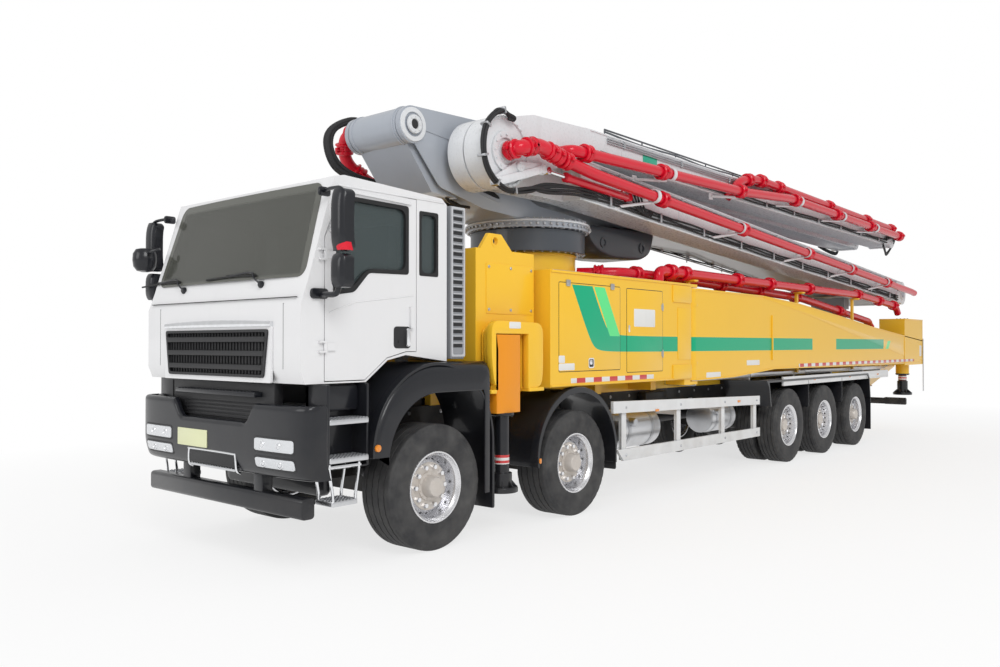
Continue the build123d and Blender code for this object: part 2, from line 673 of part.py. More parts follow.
# ---- side boxes and rear outriggers ----------------------------------------------
BOX_X = (1970.0, 4790.0)
BOX_Y = (600.0, 1220.0)
BOX_Z = (1320.0, 2490.0)
PIVOT = (1850.0, 1120.0)
PIVOT_R = 110.0
PIVOT_PIN_R = 40.0
BEAM_HALF = 110.0
REAR_BEAM_OUTLINE = (
    (1850.0, 1300.0),
    (1850.0, 2440.0),
    (-90.0, 2430.0),
    (-1720.0, 2250.0),
    (-6500.0, 1560.0),
    (-6560.0, 1360.0),
    (-450.0, 1390.0),
    (850.0, 1310.0),
)
END_BOX_X = (-7750.0, -6540.0)
END_BOX_Y = (760.0, 1240.0)
END_BOX_Z = (1335.0, 2250.0)
REAR_JACK = (-7200.0, 1000.0)

with BuildPart() as side_boxes:
    for side in (1, -1):
        box = span(BOX_Y[0], BOX_Y[1], side)
        block((BOX_X[0], box[0], BOX_Z[0]), (BOX_X[1], box[1], BOX_Z[1]))
        hanger = span(RAIL_Y + 40, 800, side)
        for hanger_x in (2100.0, 3300.0):
            block((hanger_x, hanger[0], 1180), (hanger_x + 120, hanger[1], BOX_Z[0] + 5))
        for low, high in ((1250.0, 1290.0), (2450.0, 2490.0)):
            lug = span(PIVOT[1] - 90, PIVOT[1] + 90, side)
            block((PIVOT[0] - 60, lug[0], low), (BOX_X[0] + 60, lug[1], high))
        shoe = span(950, 1210, side)
        block((BOX_X[0], shoe[0], 1250), (BOX_X[0] + 150, shoe[1], BOX_Z[0] + 5))
        rod_z(PIVOT[0], side * PIVOT[1], PIVOT_PIN_R, 1240, 2495)
save("side_boxes", side_boxes.part)

for side_name, side in SIDES:
    jack_y = side * REAR_JACK[1]
    with BuildPart() as rear_beam:
        wall = span(PIVOT[1] - BEAM_HALF, PIVOT[1] + BEAM_HALF, side)
        plate(REAR_BEAM_OUTLINE, wall[0], wall[1])
        rod_z(PIVOT[0], side * PIVOT[1], PIVOT_R, 1300, 2440)
        box = span(END_BOX_Y[0], END_BOX_Y[1], side)
        block((END_BOX_X[0], box[0], END_BOX_Z[0]), (END_BOX_X[1], box[1], END_BOX_Z[1]))
        well = span(END_BOX_Y[0] + 40, END_BOX_Y[1] - 40, side)
        block(
            (END_BOX_X[0] + 900, well[0], 1700),
            (END_BOX_X[1] - 60, well[1], END_BOX_Z[1] + 1),
            Mode.SUBTRACT,
        )
        rod_z(REAR_JACK[0], jack_y, 125, 1150, 1400)
        rod_z(REAR_JACK[0], jack_y, REAR_JACK_R + RUN_GAP, 1149, 2180, Mode.SUBTRACT)
        rod_z(PIVOT[0], side * PIVOT[1], PIVOT_PIN_R + RUN_GAP, 1200, 2500, Mode.SUBTRACT)
    save(f"rear_outrigger_{side_name}", rear_beam.part)
    with BuildPart() as rear_jack:
        rod_z(REAR_JACK[0], jack_y, REAR_JACK_R, 730, 2100)
        rod_z(REAR_JACK[0], jack_y, 100, 780, 1000)
        rod_z(REAR_JACK[0], jack_y, 180, 720, 765)
    save(f"rear_jack_{side_name}", rear_jack.part)

# ---- pump, hopper and deck pipes ------------------------------------------------
REST_TOP = 2660.0           # boom rest
with BuildPart() as pump_unit:
    block((-700, -400, SUBFRAME_TOP), (1500, 400, 1780))
    for cylinder_y in (-200.0, 200.0):
        rod_x(cylinder_y, 1500, 150, -6250, -650)
    for mount_x in (-6200.0, -4000.0, -1800.0):
        block((mount_x, -RAIL_Y - 20, SUBFRAME_TOP), (mount_x + 160, RAIL_Y + 20, 1480))
    block((-6000, -300, SUBFRAME_TOP), (-5860, 300, 2440))
    block((-6060, -330, 2440), (-5800, 330, REST_TOP))
save("pump_unit", pump_unit.part)

HOPPER_X = (-7700.0, -6450.0)
HOPPER_Y = 700.0
HOPPER_Z = (900.0, 1780.0)
HOPPER_WALL = 20.0


def hopper_plane(z):
    """A level plane at the height given, centred on the hopper."""
    return Plane(origin=((HOPPER_X[0] + HOPPER_X[1]) / 2, 0, z))


with BuildPart() as hopper:
    length = HOPPER_X[1] - HOPPER_X[0]
    with BuildSketch(hopper_plane(HOPPER_Z[0])):
        Rectangle(length * 0.45, HOPPER_Y)
    with BuildSketch(hopper_plane(HOPPER_Z[0] + 380)):
        Rectangle(length, 2 * HOPPER_Y)
    loft()
    with BuildSketch(hopper_plane(HOPPER_Z[0] + 380)):
        Rectangle(length, 2 * HOPPER_Y)
    extrude(amount=HOPPER_Z[1] - HOPPER_Z[0] - 380)
    with BuildSketch(hopper_plane(HOPPER_Z[0] + 380)):
        Rectangle(length - 2 * HOPPER_WALL, 2 * (HOPPER_Y - HOPPER_WALL))
    extrude(amount=HOPPER_Z[1] - HOPPER_Z[0], mode=Mode.SUBTRACT)
    with BuildSketch(hopper_plane(HOPPER_Z[0] + 40)):
        Rectangle(length * 0.40, HOPPER_Y * 0.9)
    with BuildSketch(hopper_plane(HOPPER_Z[0] + 380)):
        Rectangle(length - 2 * HOPPER_WALL, 2 * (HOPPER_Y - HOPPER_WALL))
    loft(mode=Mode.SUBTRACT)
    pair((HOPPER_X[1] - 10, RAIL_Y - 40, SUBFRAME_TOP), (HOPPER_X[1] + 200, RAIL_Y + 40, SUBFRAME_TOP + 60))
save("hopper", hopper.part)

DECK_Y = (1020.0, 845.0)
DECK_TOP = (2640.0, 2590.0)
# both lines run from the turret end back to the pump
UPPER_LINE = (
    (2400.0, DECK_Y[0], BOX_Z[1] + RUN_GAP),
    (2400.0, DECK_Y[0], DECK_TOP[0]),
    (-4650.0, DECK_Y[0], DECK_TOP[0]),
)
LOWER_LINE = (
    (3215.0, 400.0, DECK_TOP[1]),
    (2960.0, DECK_Y[1], DECK_TOP[1]),
    (1650.0, DECK_Y[1], DECK_TOP[1]),
    (-2200.0, DECK_Y[1], 2440.0),
    (-5200.0, DECK_Y[1], 2080.0),
    (-5900.0, 500.0, 1800.0),
)
POST_X = (1580.0, -1900.0, -4400.0)
with BuildPart() as deck_pipes:
    pipe_run(UPPER_LINE, 130, ((1, 0.03), (1, 0.45), (1, 0.66), (1, 0.98)))
with BuildPart() as deck_pipe_low:
    pipe_run(LOWER_LINE, 200, ((1, 0.2), (2, 0.3), (2, 0.95), (3, 0.5)))
deck_pair = Compound(children=[deck_pipes.part, deck_pipe_low.part])
save("deck_pipes", deck_pair)

with BuildPart() as pipe_posts:
    for post_x in POST_X:
        drop = DECK_TOP[0] - PIPE_R
        block((post_x - 30, DECK_Y[0] - 75, SUBFRAME_TOP + 40), (post_x + 30, DECK_Y[0] - 35, drop - 20))
        block((post_x - 30, DECK_Y[0] - 75, drop - 30), (post_x + 30, DECK_Y[0] + 60, drop - RUN_GAP))
        block((post_x - 30, RAIL_Y - 40, SUBFRAME_TOP), (post_x + 30, DECK_Y[0] - 35, SUBFRAME_TOP + 50))
    block((2270, DECK_Y[1] - 40, BOX_Z[1]), (2330, DECK_Y[1] + 40, DECK_TOP[1] - PIPE_R - RUN_GAP))
save("pipe_posts", pipe_posts.part)

# ---- turret and boom ---------------------------------------------------------------
with BuildPart() as slew_guard:
    with BuildSketch(Plane.XY.offset(GUARD_LOW)):
        with Locations((SLEW_X, 0)):
            Circle(GUARD_R)
            Circle(COLUMN_R - 60 + RUN_GAP, mode=Mode.SUBTRACT)
    extrude(amount=RING_LOW - CLEAR - GUARD_LOW)
save("slew_guard", slew_guard.part)

TURRET_HALF = 380.0
EAR_Y = (350.0, 400.0)
DRUM_R = 180.0
DRUM_HALF = 340.0
PIN_R = 70.0
with BuildPart() as turret:
    rod_z(SLEW_X, 0, RING_R, RING_LOW, RING_TOP)
    plate(
        ((2980, RING_TOP - 5), (3000, 3230), (3900, 3290), (5000, 3640), (5290, 3700),
         (5290, 3330), (4900, 3200), (4330, RING_TOP - 5)),
        -TURRET_HALF, TURRET_HALF,
    )
    plate(
        ((5280, 3330), (5280, 3700), (5700, 3790), (5900, 3850), (5900, 3680), (5560, 3250), (5200, 3230)),
        -DRUM_HALF, DRUM_HALF,
    )
    rod_y(PIN_1[0], PIN_1[1], DRUM_R, -DRUM_HALF, DRUM_HALF)
    rod_y(PIN_1[0], PIN_1[1], PIN_R, -EAR_Y[1] - 20, EAR_Y[1] + 20)
save("turret", turret.part)


def eye(pin, radius, y_low, y_high, bore):
    """A round end about a pin, bored for it."""
    rod_y(pin[0], pin[1], radius, y_low, y_high)
    rod_y(pin[0], pin[1], bore + RUN_GAP, y_low - 1, y_high + 1, Mode.SUBTRACT)


ARM_Y = {
    1: (-380.0, 380.0),
    2: (500.0, 940.0),
    3: (520.0, 940.0),
    4: (-240.0, 240.0),
    5: (-650.0, -430.0),
    6: (-870.0, -680.0),
    7: (-1060.0, -900.0),
}
KNUCKLE_R = 350.0
SHAFT_2_R = 90.0
SHAFT_3_R = 90.0
SHAFT_4_R = 80.0
SHAFT_5_R = 60.0
SHAFT_6_R = 50.0
SHAFT_7_R = 40.0
INNER_LANE = (500.0, 700.0)
OUTER_LANE = (720.0, 940.0)

with BuildPart() as arm_1:
    low, high = ARM_Y[1]
    plate(
        ((5080, 4060), (5080, 3760), (3950, 3420), (1150, 3230), (-650, 3170), (-7420, 2580),
         (-7420, 3000), (-650, 3560), (2150, 3790), (2700, 3850), (4000, 4050)),
        low, high,
    )
    rod_y(PIN_2[0], PIN_2[1], 240, low, high)
    for side in (1, -1):
        ear = span(EAR_Y[0], EAR_Y[1], side)
        plate(
            ((5870, 4030), (5000, 4060), (4600, 4050), (4600, 3700), (5080, 3760), (5700, 3820)),
            ear[0], ear[1],
        )
        rod_y(PIN_1[0], PIN_1[1], DRUM_R, ear[0], ear[1])
        rod_y(PIN_1[0], PIN_1[1], PIN_R + RUN_GAP, ear[0] - 1, ear[1] + 1, Mode.SUBTRACT)
    rod_y(PIN_2[0], PIN_2[1], SHAFT_2_R, high - 5, ARM_Y[2][1] + 20)
save("arm_1", arm_1.part)

with BuildPart() as arm_2:
    low, high = ARM_Y[2]
    plate(((3900, 3320), (3900, 3770), (-7420, 3020), (-7420, 2590)), low, high)
    plate(
        ((3950, 3770), (3850, 3320), (4900, 3330), (5150, 3290), (5420, 3450), (5420, 3850), (5150, 3980)),
        INNER_LANE[0], INNER_LANE[1],
    )
    rod_y(PIN_3[0], PIN_3[1], KNUCKLE_R, INNER_LANE[0], INNER_LANE[1])
    rod_y(PIN_3[0], PIN_3[1], SHAFT_3_R, INNER_LANE[1] - 5, OUTER_LANE[1] + 15)
    eye(PIN_2, 235, low, high, SHAFT_2_R)
save("arm_2", arm_2.part)

with BuildPart() as arm_3:
    low, high = ARM_Y[3]
    plate(((3800, 3810), (3800, 4120), (-6750, 4050), (-6750, 3710)), low, high)
    plate(
        ((3850, 3810), (4400, 3560), (5150, 3300), (5150, 3970), (4700, 4080), (3700, 4120)),
        OUTER_LANE[0], OUTER_LANE[1],
    )
    eye(PIN_3, KNUCKLE_R, OUTER_LANE[0], OUTER_LANE[1], SHAFT_3_R)
    rod_y(PIN_4[0], PIN_4[1], 200, low, high)
    rod_y(PIN_4[0], PIN_4[1], SHAFT_4_R, ARM_Y[4][0] - 20, low + 5)
save("arm_3", arm_3.part)

with BuildPart() as arm_4:
    low, high = ARM_Y[4]
    plate(((2150, 3850), (2150, 4240), (-6750, 4060), (-6750, 3720)), low, high)
    rod_y(PIN_5[0], PIN_5[1], 200, low, high)
    eye(PIN_4, 190, low, high, SHAFT_4_R)
    rod_y(PIN_5[0], PIN_5[1], SHAFT_5_R, ARM_Y[5][0] - 15, low + 5)
save("arm_4", arm_4.part)

ARM_5_TOP = ((1300.0, 3600.0), (-6600.0, 3330.0))
with BuildPart() as arm_5:
    low, high = ARM_Y[5]
    plate(
        ((2310, 3980), (2060, 4180), *ARM_5_TOP, (-6600, 3070), (1250, 3300), (1950, 3450)),
        low, high,
    )
    eye(PIN_5, 165, low, high, SHAFT_5_R)
    rod_y(PIN_6[0], PIN_6[1], 150, low, high)
    rod_y(PIN_6[0], PIN_6[1], SHAFT_6_R, ARM_Y[6][0] - 15, low + 5)
save("arm_5", arm_5.part)

with BuildPart() as arm_6:
    low, high = ARM_Y[6]
    plate(((1500, 3330), (1500, 3570), (-6600, 3320), (-6600, 3080)), low, high)
    rod_y(PIN_7[0], PIN_7[1], 125, low, high)
    eye(PIN_6, 135, low, high, SHAFT_6_R)
    rod_y(PIN_7[0], PIN_7[1], SHAFT_7_R, ARM_Y[7][0] - 15, low + 5)
save("arm_6", arm_6.part)

OUTLET_LENGTH = 220.0
with BuildPart() as arm_7:
    low, high = ARM_Y[7]
    plate(((1500, 3360), (1500, 3540), (-6000, 3425), (-6000, 3255)), low, high)
    eye(PIN_7, 110, low, high, SHAFT_7_R)
    middle = (low + high) / 2
    rod_x(middle, TIP_7[1] + 10, PIPE_R, TIP_7[0] - OUTLET_LENGTH, -5950)
    rod_x(middle, TIP_7[1] + 10, PIPE_BORE, TIP_7[0] - OUTLET_LENGTH - 1, -6000, Mode.SUBTRACT)
save("arm_7", arm_7.part)

# ---- boom pipes ---------------------------------------------------------------------
LEFT_PIPE_Y = 1130.0
SEAT = RUN_GAP


def brackets(run_y, run_start, run_end, shares, arm_y, reach):
    """Short arms from a boom section's side out to a pipe beside it."""
    for share in shares:
        x, z = along(run_start, run_end, share)
        y_low, y_high = sorted((arm_y, run_y))
        y_low += SEAT * (arm_y < run_y)
        y_high -= SEAT * (arm_y > run_y)
        block((x - 35, y_low, z - reach), (x + 35, y_high, z + reach))


with BuildPart() as pipe_2:
    end = (PIN_2[0] + 40, PIN_2[1] + 20)
    pipe_run(
        ((PIN_3[0], OUTER_LANE[1] + 20, PIN_3[1]),
         (PIN_3[0], LEFT_PIPE_Y, PIN_3[1]),
         (end[0], LEFT_PIPE_Y, end[1])),
        150,
        ((1, 0.30), (1, 0.55), (1, 0.70), (1, 0.86), (1, 0.99)),
    )
    brackets(LEFT_PIPE_Y, (PIN_3[0], PIN_3[1]), end, (0.20, 0.42, 0.63, 0.80, 0.93), ARM_Y[2][1], 30)
save("pipe_2", pipe_2.part)

with BuildPart() as pipe_3:
    run = (
        (4300.0, OUTER_LANE[1] + SEAT, 3760.0),
        (4300.0, LEFT_PIPE_Y, 3760.0),
        (300.0, LEFT_PIPE_Y, 3850.0),
        (-1300.0, LEFT_PIPE_Y, 3960.0),
        (PIN_4[0] + 20, LEFT_PIPE_Y, PIN_4[1]),
    )
    pipe_run(run, 150, ((1, 0.45), (1, 0.95), (3, 0.05), (3, 0.65), (3, 0.99)))
    for share in (0.15, 0.6, 0.9):
        x, y, z = along(run[3], run[4], share)
        block((x - 35, ARM_Y[3][1] + SEAT, z - 30), (x + 35, y, z + 30))
save("pipe_3", pipe_3.part)

with BuildPart() as pipe_4:
    pipe_y = ARM_Y[4][1] + 120
    start = (1000.0, 3990.0)
    end = (PIN_4[0] + 300, PIN_4[1] + 10)
    route = ((start[0], pipe_y, start[1]), (end[0], pipe_y, end[1]))
    pipe_run(route, 0, ((0, 0.01), (0, 0.45), (0, 0.7), (0, 0.98)), 90)
    brackets(pipe_y, start, end, (0.05, 0.5, 0.93), ARM_Y[4][1], 30)
save("pipe_4", pipe_4.part)

with BuildPart() as pipe_5:
    pipe_y = (ARM_Y[5][0] + ARM_Y[5][1]) / 2
    start = (1000.0, 3700.0)
    end = (-6350.0, 3440.0)
    pipe_run(((start[0], pipe_y, start[1]), (end[0], pipe_y, end[1])), 0, ((0, 0.01), (0, 0.5), (0, 0.98)))
    for share in (0.1, 0.4, 0.7, 0.95):
        x, z = along(start, end, share)
        reached = (ARM_5_TOP[0][0] - x - 30) / (ARM_5_TOP[0][0] - ARM_5_TOP[1][0])
        seat = along(ARM_5_TOP[0], ARM_5_TOP[1], reached)
        block((x - 30, pipe_y - 40, seat[1] + RUN_GAP), (x + 30, pipe_y + 40, z))
save("pipe_5", pipe_5.part)
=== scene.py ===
"""Looks of a truck-mounted concrete pump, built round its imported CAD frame, in metres."""

from __future__ import annotations

import json
import logging
import math
from dataclasses import dataclass
from enum import Enum
from typing import Callable, Iterable, Sequence, Union

import bmesh
import bpy
import mathutils
import numpy as np
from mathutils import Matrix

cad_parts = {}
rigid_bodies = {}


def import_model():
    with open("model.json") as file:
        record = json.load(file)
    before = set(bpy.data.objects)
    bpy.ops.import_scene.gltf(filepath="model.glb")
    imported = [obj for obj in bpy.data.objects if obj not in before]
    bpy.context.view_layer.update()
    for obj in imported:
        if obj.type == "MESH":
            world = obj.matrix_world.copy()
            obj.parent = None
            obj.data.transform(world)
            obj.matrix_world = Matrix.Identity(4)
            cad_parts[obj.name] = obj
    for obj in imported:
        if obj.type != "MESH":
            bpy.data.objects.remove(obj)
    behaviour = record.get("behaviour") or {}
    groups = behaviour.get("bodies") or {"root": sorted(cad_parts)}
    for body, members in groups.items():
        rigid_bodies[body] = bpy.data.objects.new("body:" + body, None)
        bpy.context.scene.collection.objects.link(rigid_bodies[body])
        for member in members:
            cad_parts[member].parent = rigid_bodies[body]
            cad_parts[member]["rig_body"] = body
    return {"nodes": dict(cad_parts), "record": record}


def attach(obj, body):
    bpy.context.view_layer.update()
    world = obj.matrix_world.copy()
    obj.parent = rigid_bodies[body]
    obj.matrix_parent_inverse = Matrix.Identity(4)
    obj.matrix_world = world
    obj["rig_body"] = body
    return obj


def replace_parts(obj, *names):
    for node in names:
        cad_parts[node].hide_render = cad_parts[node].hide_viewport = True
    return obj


log = logging.getLogger("pump_truck")
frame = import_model()
Array = np.ndarray
Point = Sequence[float]
Face = Callable[[Array, Array], Array]
SIDES = (("left", 1.0), ("right", -1.0))


# ---- surfaces ----------------------------------------------------------------
@dataclass
class Surface:
    """Points and faces of one or more closed surfaces."""

    points: Array
    faces: list[tuple[int, ...]]

    def __add__(self, other: "Surface") -> "Surface":
        """Both shells as one.

        Args:
            other: The second shell.

        Returns:
            The two joined.
        """
        start = len(self.points)
        more = [tuple(i + start for i in face) for face in other.faces]
        return Surface(np.vstack([self.points, other.points]), self.faces + more)

    def moved(self, offset: Point) -> "Surface":
        """The shell shifted by an offset."""
        return Surface(self.points + np.asarray(offset, float), self.faces)

    def mirrored(self) -> "Surface":
        """The shell's mirror image on the truck's other side, faces still outwards."""
        return Surface(self.points * (1, -1, 1), [face[::-1] for face in self.faces])

    def turned(self, axis: str, angle: float, centre: Point = (0, 0, 0)) -> "Surface":
        """The shell turned about a line through a point.

        Args:
            axis: Which of x, y and z the line follows.
            angle: Degrees, right-handed.
            centre: A point on the line.

        Returns:
            The turned shell.
        """
        a, b = {"x": (1, 2), "y": (2, 0), "z": (0, 1)}[axis]
        cos, sin = math.cos(math.radians(angle)), math.sin(math.radians(angle))
        flat = self.points - np.asarray(centre, float)
        out = flat.copy()
        out[:, a] = flat[:, a] * cos - flat[:, b] * sin
        out[:, b] = flat[:, a] * sin + flat[:, b] * cos
        return Surface(out + np.asarray(centre, float), self.faces)

    def aimed(self, heading: Point, place: Point) -> "Surface":
        """The shell with its own x axis laid along a heading and its origin put at a place.

        Args:
            heading: Where its x axis is to point.
            place: Where its origin is to lie.

        Returns:
            The turned shell.
        """
        x = np.asarray(heading, float) / np.linalg.norm(heading)
        side = np.cross((0.0, 0.0, 1.0) if abs(x[2]) < 0.9 else (0.0, 1.0, 0.0), x)
        side /= np.linalg.norm(side)
        turn = np.stack([x, side, np.cross(x, side)])
        return Surface(self.points @ turn + np.asarray(place, float), self.faces)


def union(shells: Iterable[Surface]) -> Surface:
    """Many shells as one.

    Args:
        shells: The shells, in order.

    Returns:
        Their points stacked and their faces renumbered.
    """
    shells = list(shells)
    starts = np.cumsum([0] + [len(s.points) for s in shells[:-1]])
    faces = [tuple(i + int(k) for i in face) for s, k in zip(shells, starts) for face in s.faces]
    return Surface(np.vstack([s.points for s in shells]), faces)


def both(shell: Surface) -> Surface:
    """A shell with its mirror image."""
    return shell + shell.mirrored()


def loft(rows: Array, ring: bool = False) -> Surface:
    """Closed loops joined in turn: point (i, j) is loop i, place j round it.

    Args:
        rows: Loops by places by three.
        ring: True where the last loop meets the first, else both ends are capped.

    Returns:
        A closed shell whose faces point outwards, by the sign of its volume,
        one sixth of the sum of a . (b x c) over its triangles.
    """
    rows = np.asarray(rows, float)
    n, m = rows.shape[:2]
    i, j = np.meshgrid(np.arange(n if ring else n - 1), np.arange(m), indexing="ij")
    i2, j2 = (i + 1) % n, (j + 1) % m
    quads = np.stack([i * m + j, i2 * m + j, i2 * m + j2, i * m + j2], -1).reshape(-1, 4)
    faces = [tuple(q) for q in quads.tolist()]
    if not ring:
        faces += [tuple(range(m)), tuple(range(n * m - 1, (n - 1) * m - 1, -1))]
    points = rows.reshape(-1, 3)
    local = points - points.mean(0)
    fans = [(f[0], f[k], f[k + 1]) for f in faces for k in range(1, len(f) - 1)]
    a, b, c = (local[list(col)] for col in zip(*fans))
    if np.einsum("ij,ij->i", a, np.cross(b, c)).sum() < 0:
        faces = [f[::-1] for f in faces]
    return Surface(points, faces)


AXES = {"x": (1, 2, 0), "y": (0, 2, 1), "z": (0, 1, 2)}


def on_axis(across: Array, up: Array, along: Array, axis: str) -> Array:
    """Points from two cross values and a third along an axis.

    Args:
        across: Values on the first cross axis.
        up: Values on the second.
        along: Values on the axis itself.
        axis: x, y or z.

    Returns:
        Points, with x, y and z on a new last dimension.
    """
    out = np.empty(np.broadcast(across, up, along).shape + (3,))
    for column, value in zip(AXES[axis], (across, up, along)):
        out[..., column] = value
    return out


def inwards(outline: Array) -> Array:
    """For each corner of an outline, the shift that moves both its sides in by 1.

    It is (n1 + n2) / (1 + n1 . n2), with n1 and n2 the sides' inward normals.

    Args:
        outline: Corners in order.

    Returns:
        One shift for each corner.
    """
    flat = np.asarray(outline, float)
    before, after = flat - np.roll(flat, 1, 0), np.roll(flat, -1, 0) - flat
    units = [
        v / np.maximum(np.linalg.norm(v, axis=1, keepdims=True), 1e-9)
        for v in (before, after)
    ]
    normals = [np.stack([-u[:, 1], u[:, 0]], 1) for u in units]
    shift = (normals[0] + normals[1]) / np.maximum(
        1 + (normals[0] * normals[1]).sum(1, keepdims=True), 0.25,
    )
    following = np.roll(flat, -1, 0)
    turn = (flat[:, 0] * following[:, 1] - following[:, 0] * flat[:, 1]).sum()
    return shift * math.copysign(1, turn)


def filleted(corners: Sequence[Point], radius: float, steps: int = 5, inset: float = 0.0) -> Array:
    """An outline with each corner rounded by a quadratic curve.

    Between the two points a radius away from corner c, the curve is
    (1 - t)^2 a + 2 t (1 - t) c + t^2 b.

    Args:
        corners: In order.
        radius: How far the rounding reaches along each side.
        steps: Points to a corner.
        inset: How far all sides are moved in first.

    Returns:
        The rounded outline.
    """
    flat = np.asarray(corners, float)
    flat = flat + inwards(flat) * inset
    back, ahead = np.roll(flat, 1, 0) - flat, np.roll(flat, -1, 0) - flat
    reach = [np.linalg.norm(v, axis=1, keepdims=True) for v in (back, ahead)]
    a, b = (flat + v / r * np.minimum(radius, r * 0.45) for v, r in zip((back, ahead), reach))
    t = np.linspace(0, 1, steps)[None, :, None]
    curve = (1 - t) ** 2 * a[:, None] + 2 * t * (1 - t) * flat[:, None] + t**2 * b[:, None]
    return curve.reshape(-1, 2)


def slab(outline: Array, low: float, high: float, axis: str = "y", bevel: float = 0.004) -> Surface:
    """A flat outline given thickness, its rims rounded over.

    The loop at a depth t is the outline moved in by bevel * (1 - sin t), at
    low + bevel * (1 - cos t), for t from 0 to 90 degrees, and the same from the other face.

    Args:
        outline: Corners in order, on the two axes other than the given one.
        low: Where it starts along the axis.
        high: Where it ends.
        axis: The axis through its thickness.
        bevel: Radius of its rims.

    Returns:
        A closed shell.
    """
    flat = np.asarray(outline, float)
    bevel = min(bevel, (high - low) * 0.49)
    t = np.radians([0, 45, 90])
    inset = bevel * (1 - np.sin(t))
    depth = bevel * (1 - np.cos(t))
    insets = np.concatenate([inset, inset[::-1]])
    heights = np.concatenate([low + depth, high - depth[::-1]])
    loops = flat[None] + inwards(flat)[None] * insets[:, None, None]
    return loft(on_axis(loops[..., 0], loops[..., 1], heights[:, None], axis))


def rim_of(outer: Array, inner: Array, low: float, high: float, axis: str = "y") -> Surface:
    """A flat ring between two outlines with as many points each, given thickness.

    Args:
        outer: The outer outline.
        inner: The inner outline.
        low: Where it starts along the axis.
        high: Where it ends.
        axis: The axis through its thickness.

    Returns:
        A closed ring.
    """
    outer, inner = np.asarray(outer, float), np.asarray(inner, float)
    section = [(outer, low), (outer, high), (inner, high), (inner, low)]
    rows = np.stack(
        [on_axis(line[:, 0], line[:, 1], np.full(len(line), at), axis) for line, at in section], 1,
    )
    return loft(rows, ring=True)


def flat_at(place: float) -> Face:
    """A flat face for a skin.

    Args:
        place: Where the face stands along its axis.

    Returns:
        The face as a function of two places.
    """

    def face(across: Array, up: Array) -> Array:
        """The same place everywhere."""
        return np.full(np.broadcast(across, up).shape, place)

    return face


def skin(
    across: Array, low: Array, high: Array, front: Face, thick: float, axis: str = "x",
    steps: int = 10, edge: float = 0.0,
) -> Surface:
    """A curved sheet: place (i, j) stands at front(a, b) - drop along the axis.

    a is across[i] and b runs from low[i] to high[i]; with d the reach past the line
    one edge radius inside a border, drop is edge - sqrt(edge^2 - d^2).

    Args:
        across: Places over the sheet's first direction.
        low: The sheet's lower border at each.
        high: Its upper border.
        front: Its outer face.
        thick: How far back its inner face is.
        axis: The axis that the face looks along.
        steps: Points from the lower border to the upper.
        edge: Radius of the borders' rounding.

    Returns:
        A closed shell.
    """
    share = (1 - np.cos(np.linspace(0, math.pi, steps))) / 2
    a = np.repeat(np.asarray(across, float)[:, None], steps, 1)
    low, high = np.broadcast_to(low, len(a))[:, None], np.broadcast_to(high, len(a))[:, None]
    b = low + (high - low) * share
    outer = front(a, b)
    sign = math.copysign(1, thick)
    if edge:
        ends = np.maximum(np.maximum(a.min() + edge - a, a - a.max() + edge), 0)
        rims = np.maximum(np.maximum(low + edge - b, b - high + edge), 0)
        past = np.minimum(np.hypot(ends, rims), edge)
        outer = outer - sign * (edge - np.sqrt(edge**2 - past**2))
    rows = [on_axis(a, b, outer, axis), on_axis(a, b, front(a, b) - thick, axis)[:, ::-1]]
    return loft(np.concatenate(rows, 1))


def oval(across: Array, low: float, high: float, corner: float) -> tuple[Array, Array]:
    """The lower and upper borders of a rectangle with round ends, at places across it.

    Args:
        across: Places from side to side.
        low: The rectangle's foot.
        high: Its top.
        corner: Radius of its corners.

    Returns:
        The lower border and the upper border.
    """
    across = np.asarray(across, float)
    past = np.maximum(np.maximum(across[0] + corner - across, across - across[-1] + corner), 0)
    cut = corner - np.sqrt(np.maximum(corner**2 - past**2, 0))
    return low + cut, high - cut


def places(low: float, high: float, count: int) -> Array:
    """Places between two ends, closer together near them: the cosine of equal angles."""
    return low + (high - low) * (1 - np.cos(np.linspace(0, math.pi, count))) / 2


def rounded(low: Point, high: Point, radius: float, steps: int = 4) -> Array:
    """A rectangle's outline with round corners.

    Args:
        low: Its lower left corner.
        high: Its upper right corner.
        radius: Of the corners.
        steps: Points to a corner.

    Returns:
        Points in order, each corner centre + radius * (cos a, sin a).
    """
    radius = min(radius, (high[0] - low[0]) / 2.001, (high[1] - low[1]) / 2.001)
    out = []
    for k, (x, z) in enumerate(
        ((high[0], high[1]), (low[0], high[1]), (low[0], low[1]), (high[0], low[1]))
    ):
        a = np.radians(np.linspace(0, 90, steps) + 90 * k)
        cx = x - radius if k in (0, 3) else x + radius
        cz = z - radius if k in (0, 1) else z + radius
        out.append(np.stack([cx + radius * np.cos(a), cz + radius * np.sin(a)], 1))
    return np.vstack(out)


def panel(
    low: Point, high: Point, axis: str = "y", corner: float = 0.01, bevel: float = 0.004,
) -> Surface:
    """A box between two corners, with round corners across its axis and soft rims.

    Args:
        low: The lowest corner.
        high: The highest corner.
        axis: The axis through its thickness.
        corner: Radius of the corners across the axis.
        bevel: Radius of the rims.

    Returns:
        A closed shell.
    """
    a, b, c = AXES[axis]
    outline = rounded((low[a], low[b]), (high[a], high[b]), corner)
    return slab(outline, low[c], high[c], axis, bevel)


def spun(profile: Sequence[Point], axis: str, centre: Point, steps: int = 48) -> Surface:
    """A profile of (place along the axis, radius) turned about the axis.

    Point (i, j) is at angle 2 pi j / steps and at the profile's place and radius i.

    Args:
        profile: Places along the axis, each with a radius.
        axis: x, y or z.
        centre: Where the profile's 0 lies.
        steps: Points round the axis.

    Returns:
        A closed shell.
    """
    profile = np.asarray(profile, float)
    a = 2 * math.pi * np.arange(steps) / steps
    radius = np.maximum(profile[:, 1:2], 1e-4)
    rows = on_axis(radius * np.cos(a), radius * np.sin(a), profile[:, 0:1], axis)
    return loft(rows + np.asarray(centre, float))


